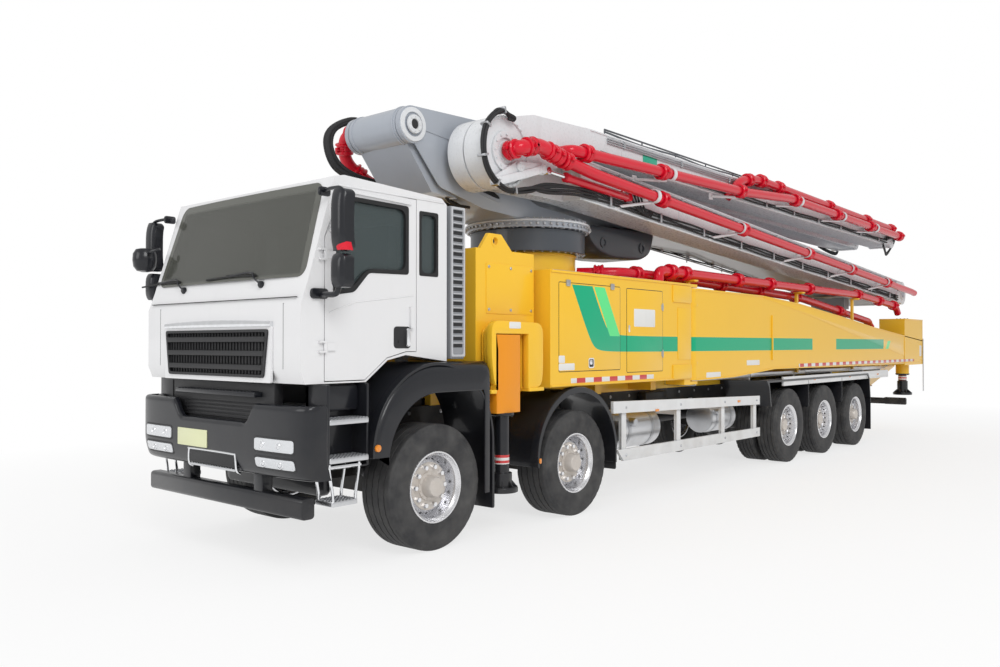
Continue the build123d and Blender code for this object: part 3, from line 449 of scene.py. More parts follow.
def hoop(profile: Sequence[Point], axis: str, centre: Point, steps: int = 48) -> Surface:
    """A closed loop of (place along the axis, radius) turned right round the axis.

    Args:
        profile: Places along the axis, each with a radius.
        axis: x, y or z.
        centre: Where the profile's 0 lies.
        steps: Loops round the axis.

    Returns:
        A closed ring: point (i, j) is at angle 2 pi i / steps.
    """
    profile = np.asarray(profile, float)
    a = (2 * math.pi * np.arange(steps) / steps)[:, None]
    rows = on_axis(profile[:, 1] * np.cos(a), profile[:, 1] * np.sin(a), profile[:, 0], axis)
    return loft(rows + np.asarray(centre, float), ring=True)


def flat_ring(
    low: float, high: float, inner: float, outer: float, axis: str, centre: Point, steps: int = 48,
) -> Surface:
    """A ring with a square section, between two places along its axis and two radii."""
    return hoop([(low, inner), (low, outer), (high, outer), (high, inner)], axis, centre, steps)


def smooth_path(points: Sequence[Point], steps: int = 8) -> Array:
    """A smooth line through a few points, by Catmull-Rom blending of each four neighbours.

    Args:
        points: Points that the line passes through.
        steps: New points for each given one.

    Returns:
        The line's points.
    """
    p = np.asarray(points, float)
    p = np.vstack([2 * p[0] - p[1], p, 2 * p[-1] - p[-2]])
    t = np.linspace(0, 1, steps, endpoint=False)[:, None]
    parts = []
    for a, b, c, d in zip(p[:-3], p[1:-2], p[2:-1], p[3:]):
        parts.append(
            b + t * (c - a) / 2 + t**2 * (
                a - 2.5 * b + 2 * c - d / 2
            ) + t**3 * (1.5 * (b - c) + (d - a) / 2)
        )
    return np.vstack(parts + [p[-2][None]])


def bent(points: Sequence[Point], radius: float, steps: int = 7) -> Array:
    """A line through points with its corners rounded: (1-t)^2 a + 2t(1-t) c + t^2 b at each.

    Args:
        points: The line's ends and corners.
        radius: How far a rounding reaches along each side.
        steps: Points to a corner.

    Returns:
        The rounded line's points.
    """
    p = np.asarray(points, float)
    corners, back, ahead = p[1:-1], p[:-2] - p[1:-1], p[2:] - p[1:-1]
    t = np.linspace(0, 1, steps)[None, :, None]
    ends = []
    for v in (back, ahead):
        length = np.linalg.norm(v, axis=1, keepdims=True)
        ends.append((corners + v / length * np.minimum(radius, length * 0.48))[:, None])
    curve = (1 - t) ** 2 * ends[0] + 2 * t * (1 - t) * corners[:, None] + t**2 * ends[1]
    return np.vstack([p[:1], curve.reshape(-1, 3), p[-1:]])


def tube(path: Sequence[Point], radius: Union[float, Array], sides: int = 12) -> Surface:
    """A round bar along a path: point (i, j) is path i + radius * (cos a * side + sin a * top).

    The side direction is the path's heading crossed with a fixed up direction.

    Args:
        path: Points along the middle.
        radius: One radius, or one for each point.
        sides: Points round it.

    Returns:
        A closed shell.
    """
    path = np.asarray(path, float)
    heading = np.gradient(path, axis=0)
    heading /= np.linalg.norm(heading, axis=1, keepdims=True)
    up = np.array(
        [0.05, 0.13, 1.0]
    ) if abs(heading[:, 2]).max() < 0.9 else np.array([0.13, 1.0, 0.05])
    if abs(heading[:, 1]).max() > 0.9 and abs(heading[:, 2]).max() >= 0.9:
        up = np.array([1.0, 0.07, 0.03])
    side = np.cross(heading, up)
    side /= np.linalg.norm(side, axis=1, keepdims=True)
    top = np.cross(side, heading)
    a = (2 * math.pi * np.arange(sides) / sides)[None, :, None]
    width = np.broadcast_to(np.asarray(radius, float), (len(path),))[:, None, None]
    return loft(path[:, None] + width * (np.cos(a) * side[:, None] + np.sin(a) * top[:, None]))


def hose(points: Sequence[Point], steps: int, radius: float, sides: int) -> Surface:
    """A round bar along a smooth line through a few points."""
    return tube(smooth_path(points, steps), radius, sides)


def bolts(spots: Iterable[Point], axis: str, radius: float = 0.014, tall: float = 0.012) -> Surface:
    """Hexagon bolt heads on washers, along the axis, or against it where tall is negative.

    Args:
        spots: Where each head stands.
        axis: The axis it stands along.
        radius: Of the hexagon.
        tall: Its height.

    Returns:
        All heads and washers.
    """
    sign = math.copysign(1, tall)
    washer = sign * 0.003
    shells = []
    for spot in spots:
        shells.append(spun([(0, radius * 1.35), (washer, radius * 1.35)], axis, spot, 14))
        head = [(washer, radius), (tall * 0.8, radius), (tall, radius * 0.86)]
        shells.append(spun(head, axis, spot, 6))
    return union(shells)


def bolt_ring(
    centre: Point, radius: float, count: int, axis: str, head: float, tall: float,
    turn: float = 0.0,
) -> Surface:
    """Bolt heads on a circle about an axis."""
    return bolts(circle_of(centre, radius, count, axis, turn), axis, head, tall)


def circle_of(centre: Point, radius: float, count: int, axis: str, turn: float = 0.0) -> Array:
    """Equally spaced points on a circle about an axis."""
    a = np.radians(turn) + 2 * math.pi * np.arange(count) / count
    return on_axis(
        radius * np.cos(a), radius * np.sin(a), np.zeros(count), axis,
    ) + np.asarray(centre, float)


def row_of(start: Point, end: Point, count: int) -> Array:
    """Equally spaced points on a line, both ends included."""
    return np.linspace(np.asarray(start, float), np.asarray(end, float), count)


# ---- shader expressions -----------------------------------------------------
class Kind(Enum):
    """What a socket carries."""

    NUMBER = "number"
    COLOUR = "colour"
    VECTOR = "vector"


Term = Union["Value", float, Sequence[float]]


@dataclass(frozen=True)
class Value:
    """A node's output that can stand in an expression."""

    shade: "Shade"
    socket: bpy.types.NodeSocket
    kind: Kind = Kind.NUMBER

    def _maths(
        self, operation: str, first: Term, second: Term = 0.0, clamp: bool = False,
    ) -> "Value":
        """One step of arithmetic on numbers, colours or vectors.

        Args:
            operation: Name of the step.
            first: Its first term.
            second: Its second term.
            clamp: Whether the result is held between 0 and 1.

        Returns:
            The result.
        """
        if self.kind is Kind.COLOUR:
            return self.shade.mix(1.0, first, second, operation)
        if self.kind is Kind.VECTOR:
            settings = {"operation": operation}
            return self.shade.node(
                "ShaderNodeVectorMath", settings, {0: first, 1: second}, kind=Kind.VECTOR,
            )
        settings = {"operation": operation, "use_clamp": clamp}
        return self.shade.node("ShaderNodeMath", settings, {0: first, 1: second})

    def __add__(self, other: Term) -> "Value":
        """Sum."""
        return self._maths("ADD", self, other)

    __radd__ = __add__

    def __mul__(self, other: Term) -> "Value":
        """Product."""
        return self._maths("MULTIPLY", self, other)

    __rmul__ = __mul__

    def __sub__(self, other: Term) -> "Value":
        """Difference."""
        return self._maths("SUBTRACT", self, other)

    def __rsub__(self, other: Term) -> "Value":
        """Difference, taken from a number."""
        return self._maths("SUBTRACT", other, self)

    def __gt__(self, other: Term) -> "Value":
        """1 where this is greater."""
        return self._maths("GREATER_THAN", self, other)

    def __lt__(self, other: Term) -> "Value":
        """1 where this is less."""
        return self._maths("LESS_THAN", self, other)

    def clamped(self) -> "Value":
        """Held between 0 and 1."""
        return self._maths("ADD", self, 0.0, clamp=True)

    def ramp(self, low: float, high: float) -> "Value":
        """0 below low, 1 above high, straight between; low may be the greater."""
        return ((self - low) * (1 / (high - low))).clamped()

    def wrapped(self, period: float) -> "Value":
        """The remainder over a period."""
        return self._maths("FLOORED_MODULO", self, period)


class Shade:
    """One material under construction."""

    def __init__(self, name: str) -> None:
        """Starts an empty node tree.

        Args:
            name: Of the material.
        """
        self.material = bpy.data.materials.new(name)
        self.material.use_nodes = True
        self.tree = self.material.node_tree
        self.tree.nodes.clear()
        self.places: Union[list[Value], None] = None

    def node(
        self, kind_name: str, settings: dict, inputs: dict, output: int = 0,
        kind: Kind = Kind.NUMBER,
    ) -> Value:
        """Adds a node: its settings first, then the values or links of its sockets.

        Args:
            kind_name: The node's type.
            settings: Attribute names and values.
            inputs: Socket names or numbers, each with a value or a Value to link.
            output: Which output to give back.
            kind: What that output carries.

        Returns:
            The output as a Value.
        """
        made = self.tree.nodes.new(kind_name)
        for key, value in settings.items():
            setattr(made, key, value)
        for key, value in inputs.items():
            if isinstance(value, Value):
                self.tree.links.new(value.socket, made.inputs[key])
            elif hasattr(made.inputs[key], "default_value"):
                made.inputs[key].default_value = value
        return Value(self, made.outputs[output], kind)

    def mix(self, share: Term, first: Term, second: Term, blend: str = "MIX") -> Value:
        """Two colours mixed by a share, or joined by arithmetic.

        Args:
            share: How much of the second.
            first: A colour, or one number for all three channels.
            second: The same.
            blend: How they are joined.

        Returns:
            The resulting colour.
        """
        rgba = [(v, v, v, 1.0) if isinstance(v, (int, float)) else v for v in (first, second)]
        rgba = [(*v, 1.0) if isinstance(v, (tuple, list)) and len(v) == 3 else v for v in rgba]
        settings = {"data_type": "RGBA", "blend_type": blend}
        return self.node(
            "ShaderNodeMix", settings, {0: share, 6: rgba[0], 7: rgba[1]}, 2, Kind.COLOUR,
        )

    def place(self) -> list[Value]:
        """The object's own coordinates as three numbers.

        Returns:
            x, y and z.
        """
        if self.places is None:
            where = self.node("ShaderNodeTexCoord", {}, {}, 3, Kind.VECTOR)
            self.places = [self.node("ShaderNodeSeparateXYZ", {}, {0: where}, k) for k in range(3)]
        return self.places

    def noise(self, scale: float, stretch: Point = (1, 1, 1), detail: float = 3.0) -> Value:
        """Soft cloudy variation from 0 to 1.

        Args:
            scale: Lumps to a metre.
            stretch: How much finer it is along each axis.
            detail: Octaves.

        Returns:
            The noise's value.
        """
        where = self.node("ShaderNodeTexCoord", {}, {}, 3, Kind.VECTOR)
        where = self.node(
            "ShaderNodeMapping", {}, {"Vector": where, "Scale": tuple(stretch)}, 0, Kind.VECTOR,
        )
        return self.node(
            "ShaderNodeTexNoise", {}, {"Vector": where, "Scale": scale, "Detail": detail},
        )

    def bump(self, height: Value, depth: float, strength: float = 1.0) -> Value:
        """A normal from a height, depth metres for a height of 1."""
        values = {"Height": height, "Distance": depth, "Strength": strength}
        return self.node("ShaderNodeBump", {}, values, 0, Kind.VECTOR)

    def surface(self, **inputs: Term) -> bpy.types.Material:
        """Ends the material with a Principled surface.

        Args:
            inputs: Socket names, with underscores for spaces.

        Returns:
            The finished material.
        """
        values = {key.replace("_", " "): value for key, value in inputs.items()}
        base = values.get("Base Color")
        if isinstance(base, (tuple, list)) and len(base) == 3:
            values["Base Color"] = (*base, 1.0)
        shader = self.node("ShaderNodeBsdfPrincipled", {}, values)
        self.finish(shader)
        return self.material

    def finish(self, shader: Value) -> None:
        """Links a shader to the material's output."""
        out = self.tree.nodes.new("ShaderNodeOutputMaterial")
        self.tree.links.new(shader.socket, out.inputs[0])


# ---- finishes ------------------------------------------------------------------
@dataclass(frozen=True)
class Paint:
    """Sprayed coat with a faint orange-peel, cloudy tone and road dust low down."""

    name: str
    colour: Point
    roughness: float = 0.3
    coat: float = 0.4
    metal: float = 0.0
    dust: float = 0.35
    streak: float = 0.06

    def base(self, shade: Shade) -> Value:
        """The clean colour, with a slow drift of tone."""
        tone = shade.noise(1.3, detail=4) * 0.06 + 0.97
        return shade.mix(1.0, self.colour, shade.mix(tone, 0.0, 1.0), "MULTIPLY")

    def material(self) -> bpy.types.Material:
        """Builds the material.

        Returns:
            Paint whose dust mask falls off with height, rain streaks run down it,
            and whose roughness rises where it is dusty.
        """
        shade = Shade(self.name)
        _, _, z = shade.place()
        fall = z.ramp(1.5, 0.15)
        dusty = (fall * shade.noise(5.0, detail=6).ramp(0.3, 0.75) * self.dust).clamped()
        streaks = shade.noise(9.0, (1, 1, 0.08), 3).ramp(0.55, 0.85) * self.streak
        colour = shade.mix(dusty, self.base(shade), (0.3, 0.27, 0.23))
        colour = shade.mix(streaks, colour, (0.2, 0.17, 0.14))
        rough = (dusty * 0.4 + shade.noise(30.0) * 0.08 + (self.roughness - 0.04)).clamped()
        normal = shade.bump(shade.noise(220.0, detail=2), 0.0003, 0.3)
        return shade.surface(
            Base_Color=colour, Roughness=rough, Normal=normal, Metallic=self.metal,
            Coat_Weight=self.coat, Coat_Roughness=0.08, Specular_IOR_Level=0.3,
        )


@dataclass(frozen=True)
class Band:
    """One painted stripe on the truck's flanks, straight below a bend and leaning above it."""

    foot: float
    top: float
    front: float
    lean: float
    width: float
    rear: float
    low_from: float
    colour: Point
    bend: float = 0.08


@dataclass(frozen=True)
class StripedPaint(Paint):
    """Yellow flank paint with green bands that come down, bend, and run to the rear."""

    bands: tuple[Band, ...] = ()

    def base(self, shade: Shade) -> Value:
        """The flank colour with each band laid over it.

        Args:
            shade: The material under construction.

        Returns:
            The striped colour.
        """
        x, y, z = shade.place()
        colour = Paint.base(self, shade)
        outside = (y * y) > 1.2
        for band in self.bands:
            ahead = (z - band.foot) * band.lean + band.front - x
            within = (z < band.top) * (x > band.rear) * outside
            for side, up, sign in (
                (ahead, z - band.foot, 1.0), (ahead - band.width, z - band.low_from, -1.0),
            ):
                rounded_in = (side > 0.0) * (up > 0.0) * (
                    side * up > band.bend * sign * band.bend * sign
                )
                within = within * rounded_in if sign > 0 else within * (1.0 - rounded_in)
            colour = shade.mix(within.clamped(), colour, band.colour)
        return colour


@dataclass(frozen=True)
class Checked:
    """Retro-reflecting tape in red and white lengths, with a fine prism grid."""

    name: str
    period: float = 0.3
    axis: int = 0

    def material(self) -> bpy.types.Material:
        """Red where the place along the axis is in the first half of its period.

        Returns:
            The tape's material.
        """
        shade = Shade(self.name)
        along = shade.place()[self.axis]
        red = along.wrapped(self.period) < self.period / 2
        grid = shade.node("ShaderNodeTexVoronoi", {}, {"Scale": 160.0})
        colour = shade.mix(red, (0.8, 0.8, 0.78), (0.62, 0.03, 0.03))
        rough = grid * 0.2 + 0.25
        return shade.surface(
            Base_Color=colour, Roughness=rough, Normal=shade.bump(grid, 0.0006), Coat_Weight=0.5,
        )


@dataclass(frozen=True)
class Rubber:
    """Tyre or hose rubber: near black, dusty grey in cloudy patches."""

    name: str
    colour: Point = (0.022, 0.022, 0.024)
    dusty: Point = (0.13, 0.125, 0.12)
    dust: float = 0.5

    def material(self) -> bpy.types.Material:
        """Cloudy dust over a fine grain.

        Returns:
            The rubber's material.
        """
        shade = Shade(self.name)
        cloud = shade.noise(7.0, detail=6).ramp(0.35, 0.8)
        fine = shade.noise(180.0, detail=3)
        colour = shade.mix((cloud * self.dust).clamped(), self.colour, self.dusty)
        rough = (cloud * 0.18 + fine * 0.1 + 0.62).clamped()
        return shade.surface(
            Base_Color=colour, Roughness=rough, Normal=shade.bump(fine, 0.0012, 0.6),
        )


@dataclass(frozen=True)
class Metal:
    """Bare or plated metal with brushed or cast variation."""

    name: str
    colour: Point
    roughness: float = 0.3
    grain: float = 60.0
    depth: float = 0.0004
    stretch: Point = (1.0, 1.0, 1.0)
    metallic: float = 1.0
    soil: float = 0.25

    def material(self) -> bpy.types.Material:
        """Roughness and tone follow stretched noise, with soil gathered in soft patches.

        Returns:
            The metal's material.
        """
        shade = Shade(self.name)
        grain = shade.noise(self.grain, self.stretch, 4)
        patch = (shade.noise(4.0, detail=6).ramp(0.5, 0.85) * self.soil).clamped()
        tone = shade.mix(grain * 0.16 + 0.88, 0.0, 1.0)
        colour = shade.mix(patch, shade.mix(1.0, self.colour, tone, "MULTIPLY"), (0.16, 0.14, 0.12))
        rough = (grain * 0.16 + patch * 0.3 + (self.roughness - 0.08)).clamped()
        metallic = (1.0 - patch * 0.6) * self.metallic
        normal = shade.bump(grain, self.depth, 0.6)
        return shade.surface(Base_Color=colour, Roughness=rough, Metallic=metallic, Normal=normal)


@dataclass(frozen=True)
class Plastic:
    """Moulded plastic or cloth with a leather-like grain."""

    name: str
    colour: Point
    roughness: float = 0.55
    grain: float = 320.0
    depth: float = 0.0006

    def material(self) -> bpy.types.Material:
        """A cellular grain lifts the surface and breaks its gloss.

        Returns:
            The plastic's material.
        """
        shade = Shade(self.name)
        where = shade.node("ShaderNodeTexCoord", {}, {}, 3, Kind.VECTOR)
        cells = shade.node("ShaderNodeTexVoronoi", {}, {"Vector": where, "Scale": self.grain})
        cloud = shade.noise(3.0, detail=4)
        tone = shade.mix(cloud * 0.3 + 0.85, 0.0, 1.0)
        colour = shade.mix(1.0, self.colour, tone, "MULTIPLY")
        rough = (cells * 0.15 + cloud * 0.1 + (self.roughness - 0.1)).clamped()
        return shade.surface(
            Base_Color=colour, Roughness=rough, Normal=shade.bump(cells, self.depth, 0.5),
        )


@dataclass(frozen=True)
class Pane:
    """Tinted window glass, or with a frit the printed black border of a bonded screen."""

    name: str
    tint: Point = (0.035, 0.045, 0.045)
    see_through: float = 0.5
    frit: Union[tuple[float, float, float, float], None] = None

    def material(self) -> bpy.types.Material:
        """Glass that lets a share of the light pass; the frit is opaque.

        Returns:
            The tint over a see-through share, with faint dust; inside the frit's
            half width and heights the pane is clear, elsewhere it is solid black.
        """
        shade = Shade(self.name)
        _, y, z = shade.place()
        cloud = shade.noise(2.5, detail=5)
        alpha: Term = (cloud * 0.06 + (1.0 - self.see_through - 0.03)).clamped()
        if self.frit:
            half_low, half_high, low, high = self.frit
            taper = (half_low - half_high) / (high - low)
            half = (z - low) * (-taper) + half_low
            side = half * half - y * y
            clear = side.ramp(-0.01, 0.03) * z.ramp(low, low + 0.03) * z.ramp(high, high - 0.03)
            alpha = (alpha * clear + (1.0 - clear)).clamped()
        colour = shade.mix(cloud * 0.1, self.tint, (0.2, 0.2, 0.19))
        rough = (cloud * 0.06 + 0.02).clamped()
        made = shade.surface(
            Base_Color=colour, Roughness=rough, Alpha=alpha, Specular_IOR_Level=0.6,
        )
        made.surface_render_method = "DITHERED"
        return made


@dataclass(frozen=True)
class Lens:
    """Moulded lamp lens: ribbed clear or coloured plastic over a bright back."""

    name: str
    colour: Point
    ribs: float = 60.0

    def material(self) -> bpy.types.Material:
        """Upright flutes, from a wave across the lamp, over the lens colour.

        Returns:
            The lens's material.
        """
        shade = Shade(self.name)
        where = shade.node("ShaderNodeTexCoord", {}, {}, 3, Kind.VECTOR)
        settings = {"wave_type": "BANDS", "bands_direction": "DIAGONAL"}
        flutes = shade.node("ShaderNodeTexWave", settings, {"Vector": where, "Scale": self.ribs}, 1)
        tone = shade.mix(flutes * 0.35 + 0.7, 0.0, 1.0)
        colour = shade.mix(1.0, self.colour, tone, "MULTIPLY")
        rough = flutes * 0.1 + 0.08
        normal = shade.bump(flutes, 0.001, 0.5)
        return shade.surface(
            Base_Color=colour, Roughness=rough, Normal=normal, Coat_Weight=0.8, Coat_Roughness=0.03,
        )


GREEN = (0.0, 0.43, 0.21)
LIME = (0.12, 0.82, 0.27)
GOLD = (0.96, 0.57, 0.035)


class Finish(Enum):
    """Every finish on the truck."""

    CAB = Paint("cab_white_coat", (0.8, 0.8, 0.81), 0.22, 0.6, dust=0.25, streak=0.03)
    YELLOW = Paint("machine_yellow", GOLD, 0.3, 0.22, dust=0.12, streak=0.015)
    FLANK = StripedPaint(
        "flank_yellow_with_bands", GOLD, 0.3, 0.22, 0.0, 0.12, 0.015,
        bands=(
            Band(1.66, 2.356, 4.06, 0.545, 0.36, -5.28, 1.835, GREEN, 0.06),
            Band(1.835, 2.352, 3.75, 0.57, 0.2, 0.0, 0.0, LIME, 0.0),
            Band(1.5, 1.9, -1.871, 0.0, 1.008, -9.0, 0.0, GOLD, 0.0),
            Band(1.66, 1.81, -5.4, -0.8, 0.16, -9.0, 0.0, LIME, 0.0),
        ),
    )
    BLACK = Paint("black_satin", (0.01, 0.011, 0.015), 0.3, 0.35, dust=0.08, streak=0.01)
    CHASSIS = Paint("chassis_black", (0.012, 0.012, 0.014), 0.5, 0.1, dust=0.3)
    BOOM = Paint("boom_grey_coat", (0.74, 0.755, 0.775), 0.28, 0.45, dust=0.0, streak=0.1)
    SLATE = Paint("turret_slate", (0.4, 0.43, 0.48), 0.32, 0.4, dust=0.0, streak=0.08)
    # dark slate of the slew guard and rails, also the knee's painted shade under arm 1
    GUARD_AND_SHADE = Paint("dark_slate_and_knee_shade", (0.075, 0.085, 0.1), 0.4, 0.3, dust=0.0)
    RED = Paint("pipe_red_coat", (0.7, 0.006, 0.026), 0.25, 0.25, dust=0.0, streak=0.08)
    WHITE = Paint("guard_white_coat", (0.8, 0.81, 0.82), 0.3, 0.4)
    ORANGE = Paint("leg_orange", (0.88, 0.31, 0.008), 0.32, 0.15, streak=0.02)
    STICKER = Paint("blank_sticker", (0.82, 0.82, 0.8), 0.35, 0.2, dust=0.1)
    PLATE = Paint("blank_plate", (0.78, 0.8, 0.5), 0.35, 0.3, dust=0.1)
    SIGN = Paint("blank_green_plate", (0.02, 0.45, 0.28), 0.35, 0.3, dust=0.0)
    TAPE = Checked("red_white_tape")
    TAPE_UP = Checked("red_white_tape_upright", 0.05, 2)
    TAPE_SIDE = Checked("red_white_tape_across", 0.3, 1)
    TYRE = Rubber("tyre_rubber", (0.03, 0.03, 0.032), (0.105, 0.103, 0.1), 0.8)
    HOSE = Rubber("hose_rubber", (0.018, 0.018, 0.02), (0.05, 0.05, 0.05), 0.3)
    SEAL = Rubber("window_seal", (0.015, 0.015, 0.016), (0.05, 0.05, 0.05), 0.25)
    RIM = Metal("wheel_silver", (0.8, 0.8, 0.82), 0.26, 90.0, metallic=0.85, soil=0.15)
    CAP = Metal("hub_cap_beige", (0.68, 0.63, 0.58), 0.4, 40.0, metallic=0.35, soil=0.15)
    CHROME = Metal("bright_chrome", (0.85, 0.86, 0.88), 0.12, 20.0, 0.0001, soil=0.05)
    STEEL = Metal("zinc_steel", (0.55, 0.56, 0.58), 0.35, 80.0, soil=0.2)
    ALUMINIUM = Metal(
        "step_aluminium", (0.7, 0.71, 0.73), 0.32, 70.0, 0.0004, (0.1, 1, 1), soil=0.25,
    )
    IRON = Metal("cast_iron", (0.09, 0.09, 0.095), 0.6, 120.0, 0.0012, metallic=0.4, soil=0.5)
    PUMP = Paint("pump_grey", (0.3, 0.31, 0.33), 0.4, 0.3)
    STACK = Paint("stack_grey", (0.3, 0.31, 0.33), 0.45, 0.2)
    MESH_GREY = Paint("stack_pale", (0.55, 0.56, 0.58), 0.4, 0.2)
    TRIM = Plastic("cab_trim", (0.05, 0.05, 0.055))
    # black plastic; the same finish is also the painted shade inside holes, slots and bores that
    # are not cut
    DARK = Plastic("black_plastic_and_hollow_shade", (0.02, 0.02, 0.022), 0.5)
    GLASS = Pane("tinted_glass", (0.06, 0.085, 0.088), see_through=0.35)
    SCREEN = Pane(
        "bonded_screen", (0.105, 0.107, 0.092), see_through=0.42, frit=(1.04, 0.98, 2.27, 2.955),
    )
    MIRROR = Metal("mirror_face", (0.88, 0.9, 0.92), 0.06, 10.0, 0.0, soil=0.0)
    CLEAR_LENS = Lens("clear_lens", (0.8, 0.82, 0.85))
    RED_LENS = Lens("red_lens", (0.62, 0.01, 0.012))
    AMBER_LENS = Lens("amber_lens", (0.95, 0.3, 0.01))


_made: dict[Finish, bpy.types.Material] = {}


def coat(finish: Finish) -> bpy.types.Material:
    """The material of a finish, built once.

    Args:
        finish: One of the truck's finishes.

    Returns:
        Its material.
    """
    if finish not in _made:
        _made[finish] = finish.value.material()
    return _made[finish]


# ---- pieces ----------------------------------------------------------------------
def put(
    name: str, shell: Surface, body: str, finish: Finish, slot: str, angle: float = 32.0,
) -> bpy.types.Object:
    """Makes a mesh of a shell, dresses it, and fixes it to a body.

    Args:
        name: Of the piece.
        shell: Its surface, in the truck's frame.
        body: The CAD body it moves with.
        finish: Its finish.
        slot: Not used.
        angle: Edges sharper than this many degrees stay crisp.

    Returns:
        The new object.
    """
    mesh = bpy.data.meshes.new(name)
    mesh.from_pydata(shell.points.tolist(), [], shell.faces)
    mesh.polygons.foreach_set("use_smooth", np.ones(len(mesh.polygons), bool))
    mesh.set_sharp_from_angle(angle=math.radians(angle))
    mesh.materials.append(coat(finish))
    piece = bpy.data.objects.new(name, mesh)
    bpy.context.scene.collection.objects.link(piece)
    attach(piece, body)
    log.info("%s rides on %s", name, body)
    return piece


def body_with(node: str) -> str:
    """The body that a CAD node belongs to."""
    return frame["nodes"][node]["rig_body"]


def slot_of(node: str) -> str:
    """The record's material slot of a CAD node."""
    return next(s["material_slot"] for s in frame["record"]["subparts"] if s["node"] == node)


def soften(node: str, finish: Finish, width: float) -> bpy.types.Object:
    """A copy of a CAD node with its doubles merged and its edges rounded, shown in its place.

    Args:
        node: The CAD node.
        finish: Its finish.
        width: How far the rounding reaches from each edge.

    Returns:
        The copy.
    """
    mesh = frame["nodes"][node].data.copy()
    mesh.name = f"{node}_skin"
    work = bmesh.new()
    work.from_mesh(mesh)
    merge, limit, crisp = 2e-5, math.radians(1.0), math.radians(34)
    bmesh.ops.remove_doubles(work, verts=work.verts, dist=merge)
    bmesh.ops.dissolve_degenerate(work, edges=work.edges, dist=merge)
    bmesh.ops.dissolve_limit(work, angle_limit=limit, verts=work.verts, edges=work.edges)
    work.to_mesh(mesh)
    work.free()
    mesh.polygons.foreach_set("use_smooth", np.ones(len(mesh.polygons), bool))
    if "custom_normal" in mesh.attributes:
        mesh.attributes.remove(mesh.attributes["custom_normal"])
    mesh.set_sharp_from_angle(angle=crisp)
    mesh.materials.clear()
    mesh.materials.append(coat(finish))
    piece = bpy.data.objects.new(f"{node}_skin", mesh)
    bpy.context.scene.collection.objects.link(piece)
    rounding = piece.modifiers.new("rounding", "BEVEL")
    rounding.width, rounding.segments = width, 3
    rounding.limit_method, rounding.angle_limit = "ANGLE", crisp
    rounding.use_clamp_overlap, rounding.harden_normals = True, True
    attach(piece, body_with(node))
    slot_of(node)
    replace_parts(piece, node)
    log.info("%s stands for %s", piece.name, node)
    return piece


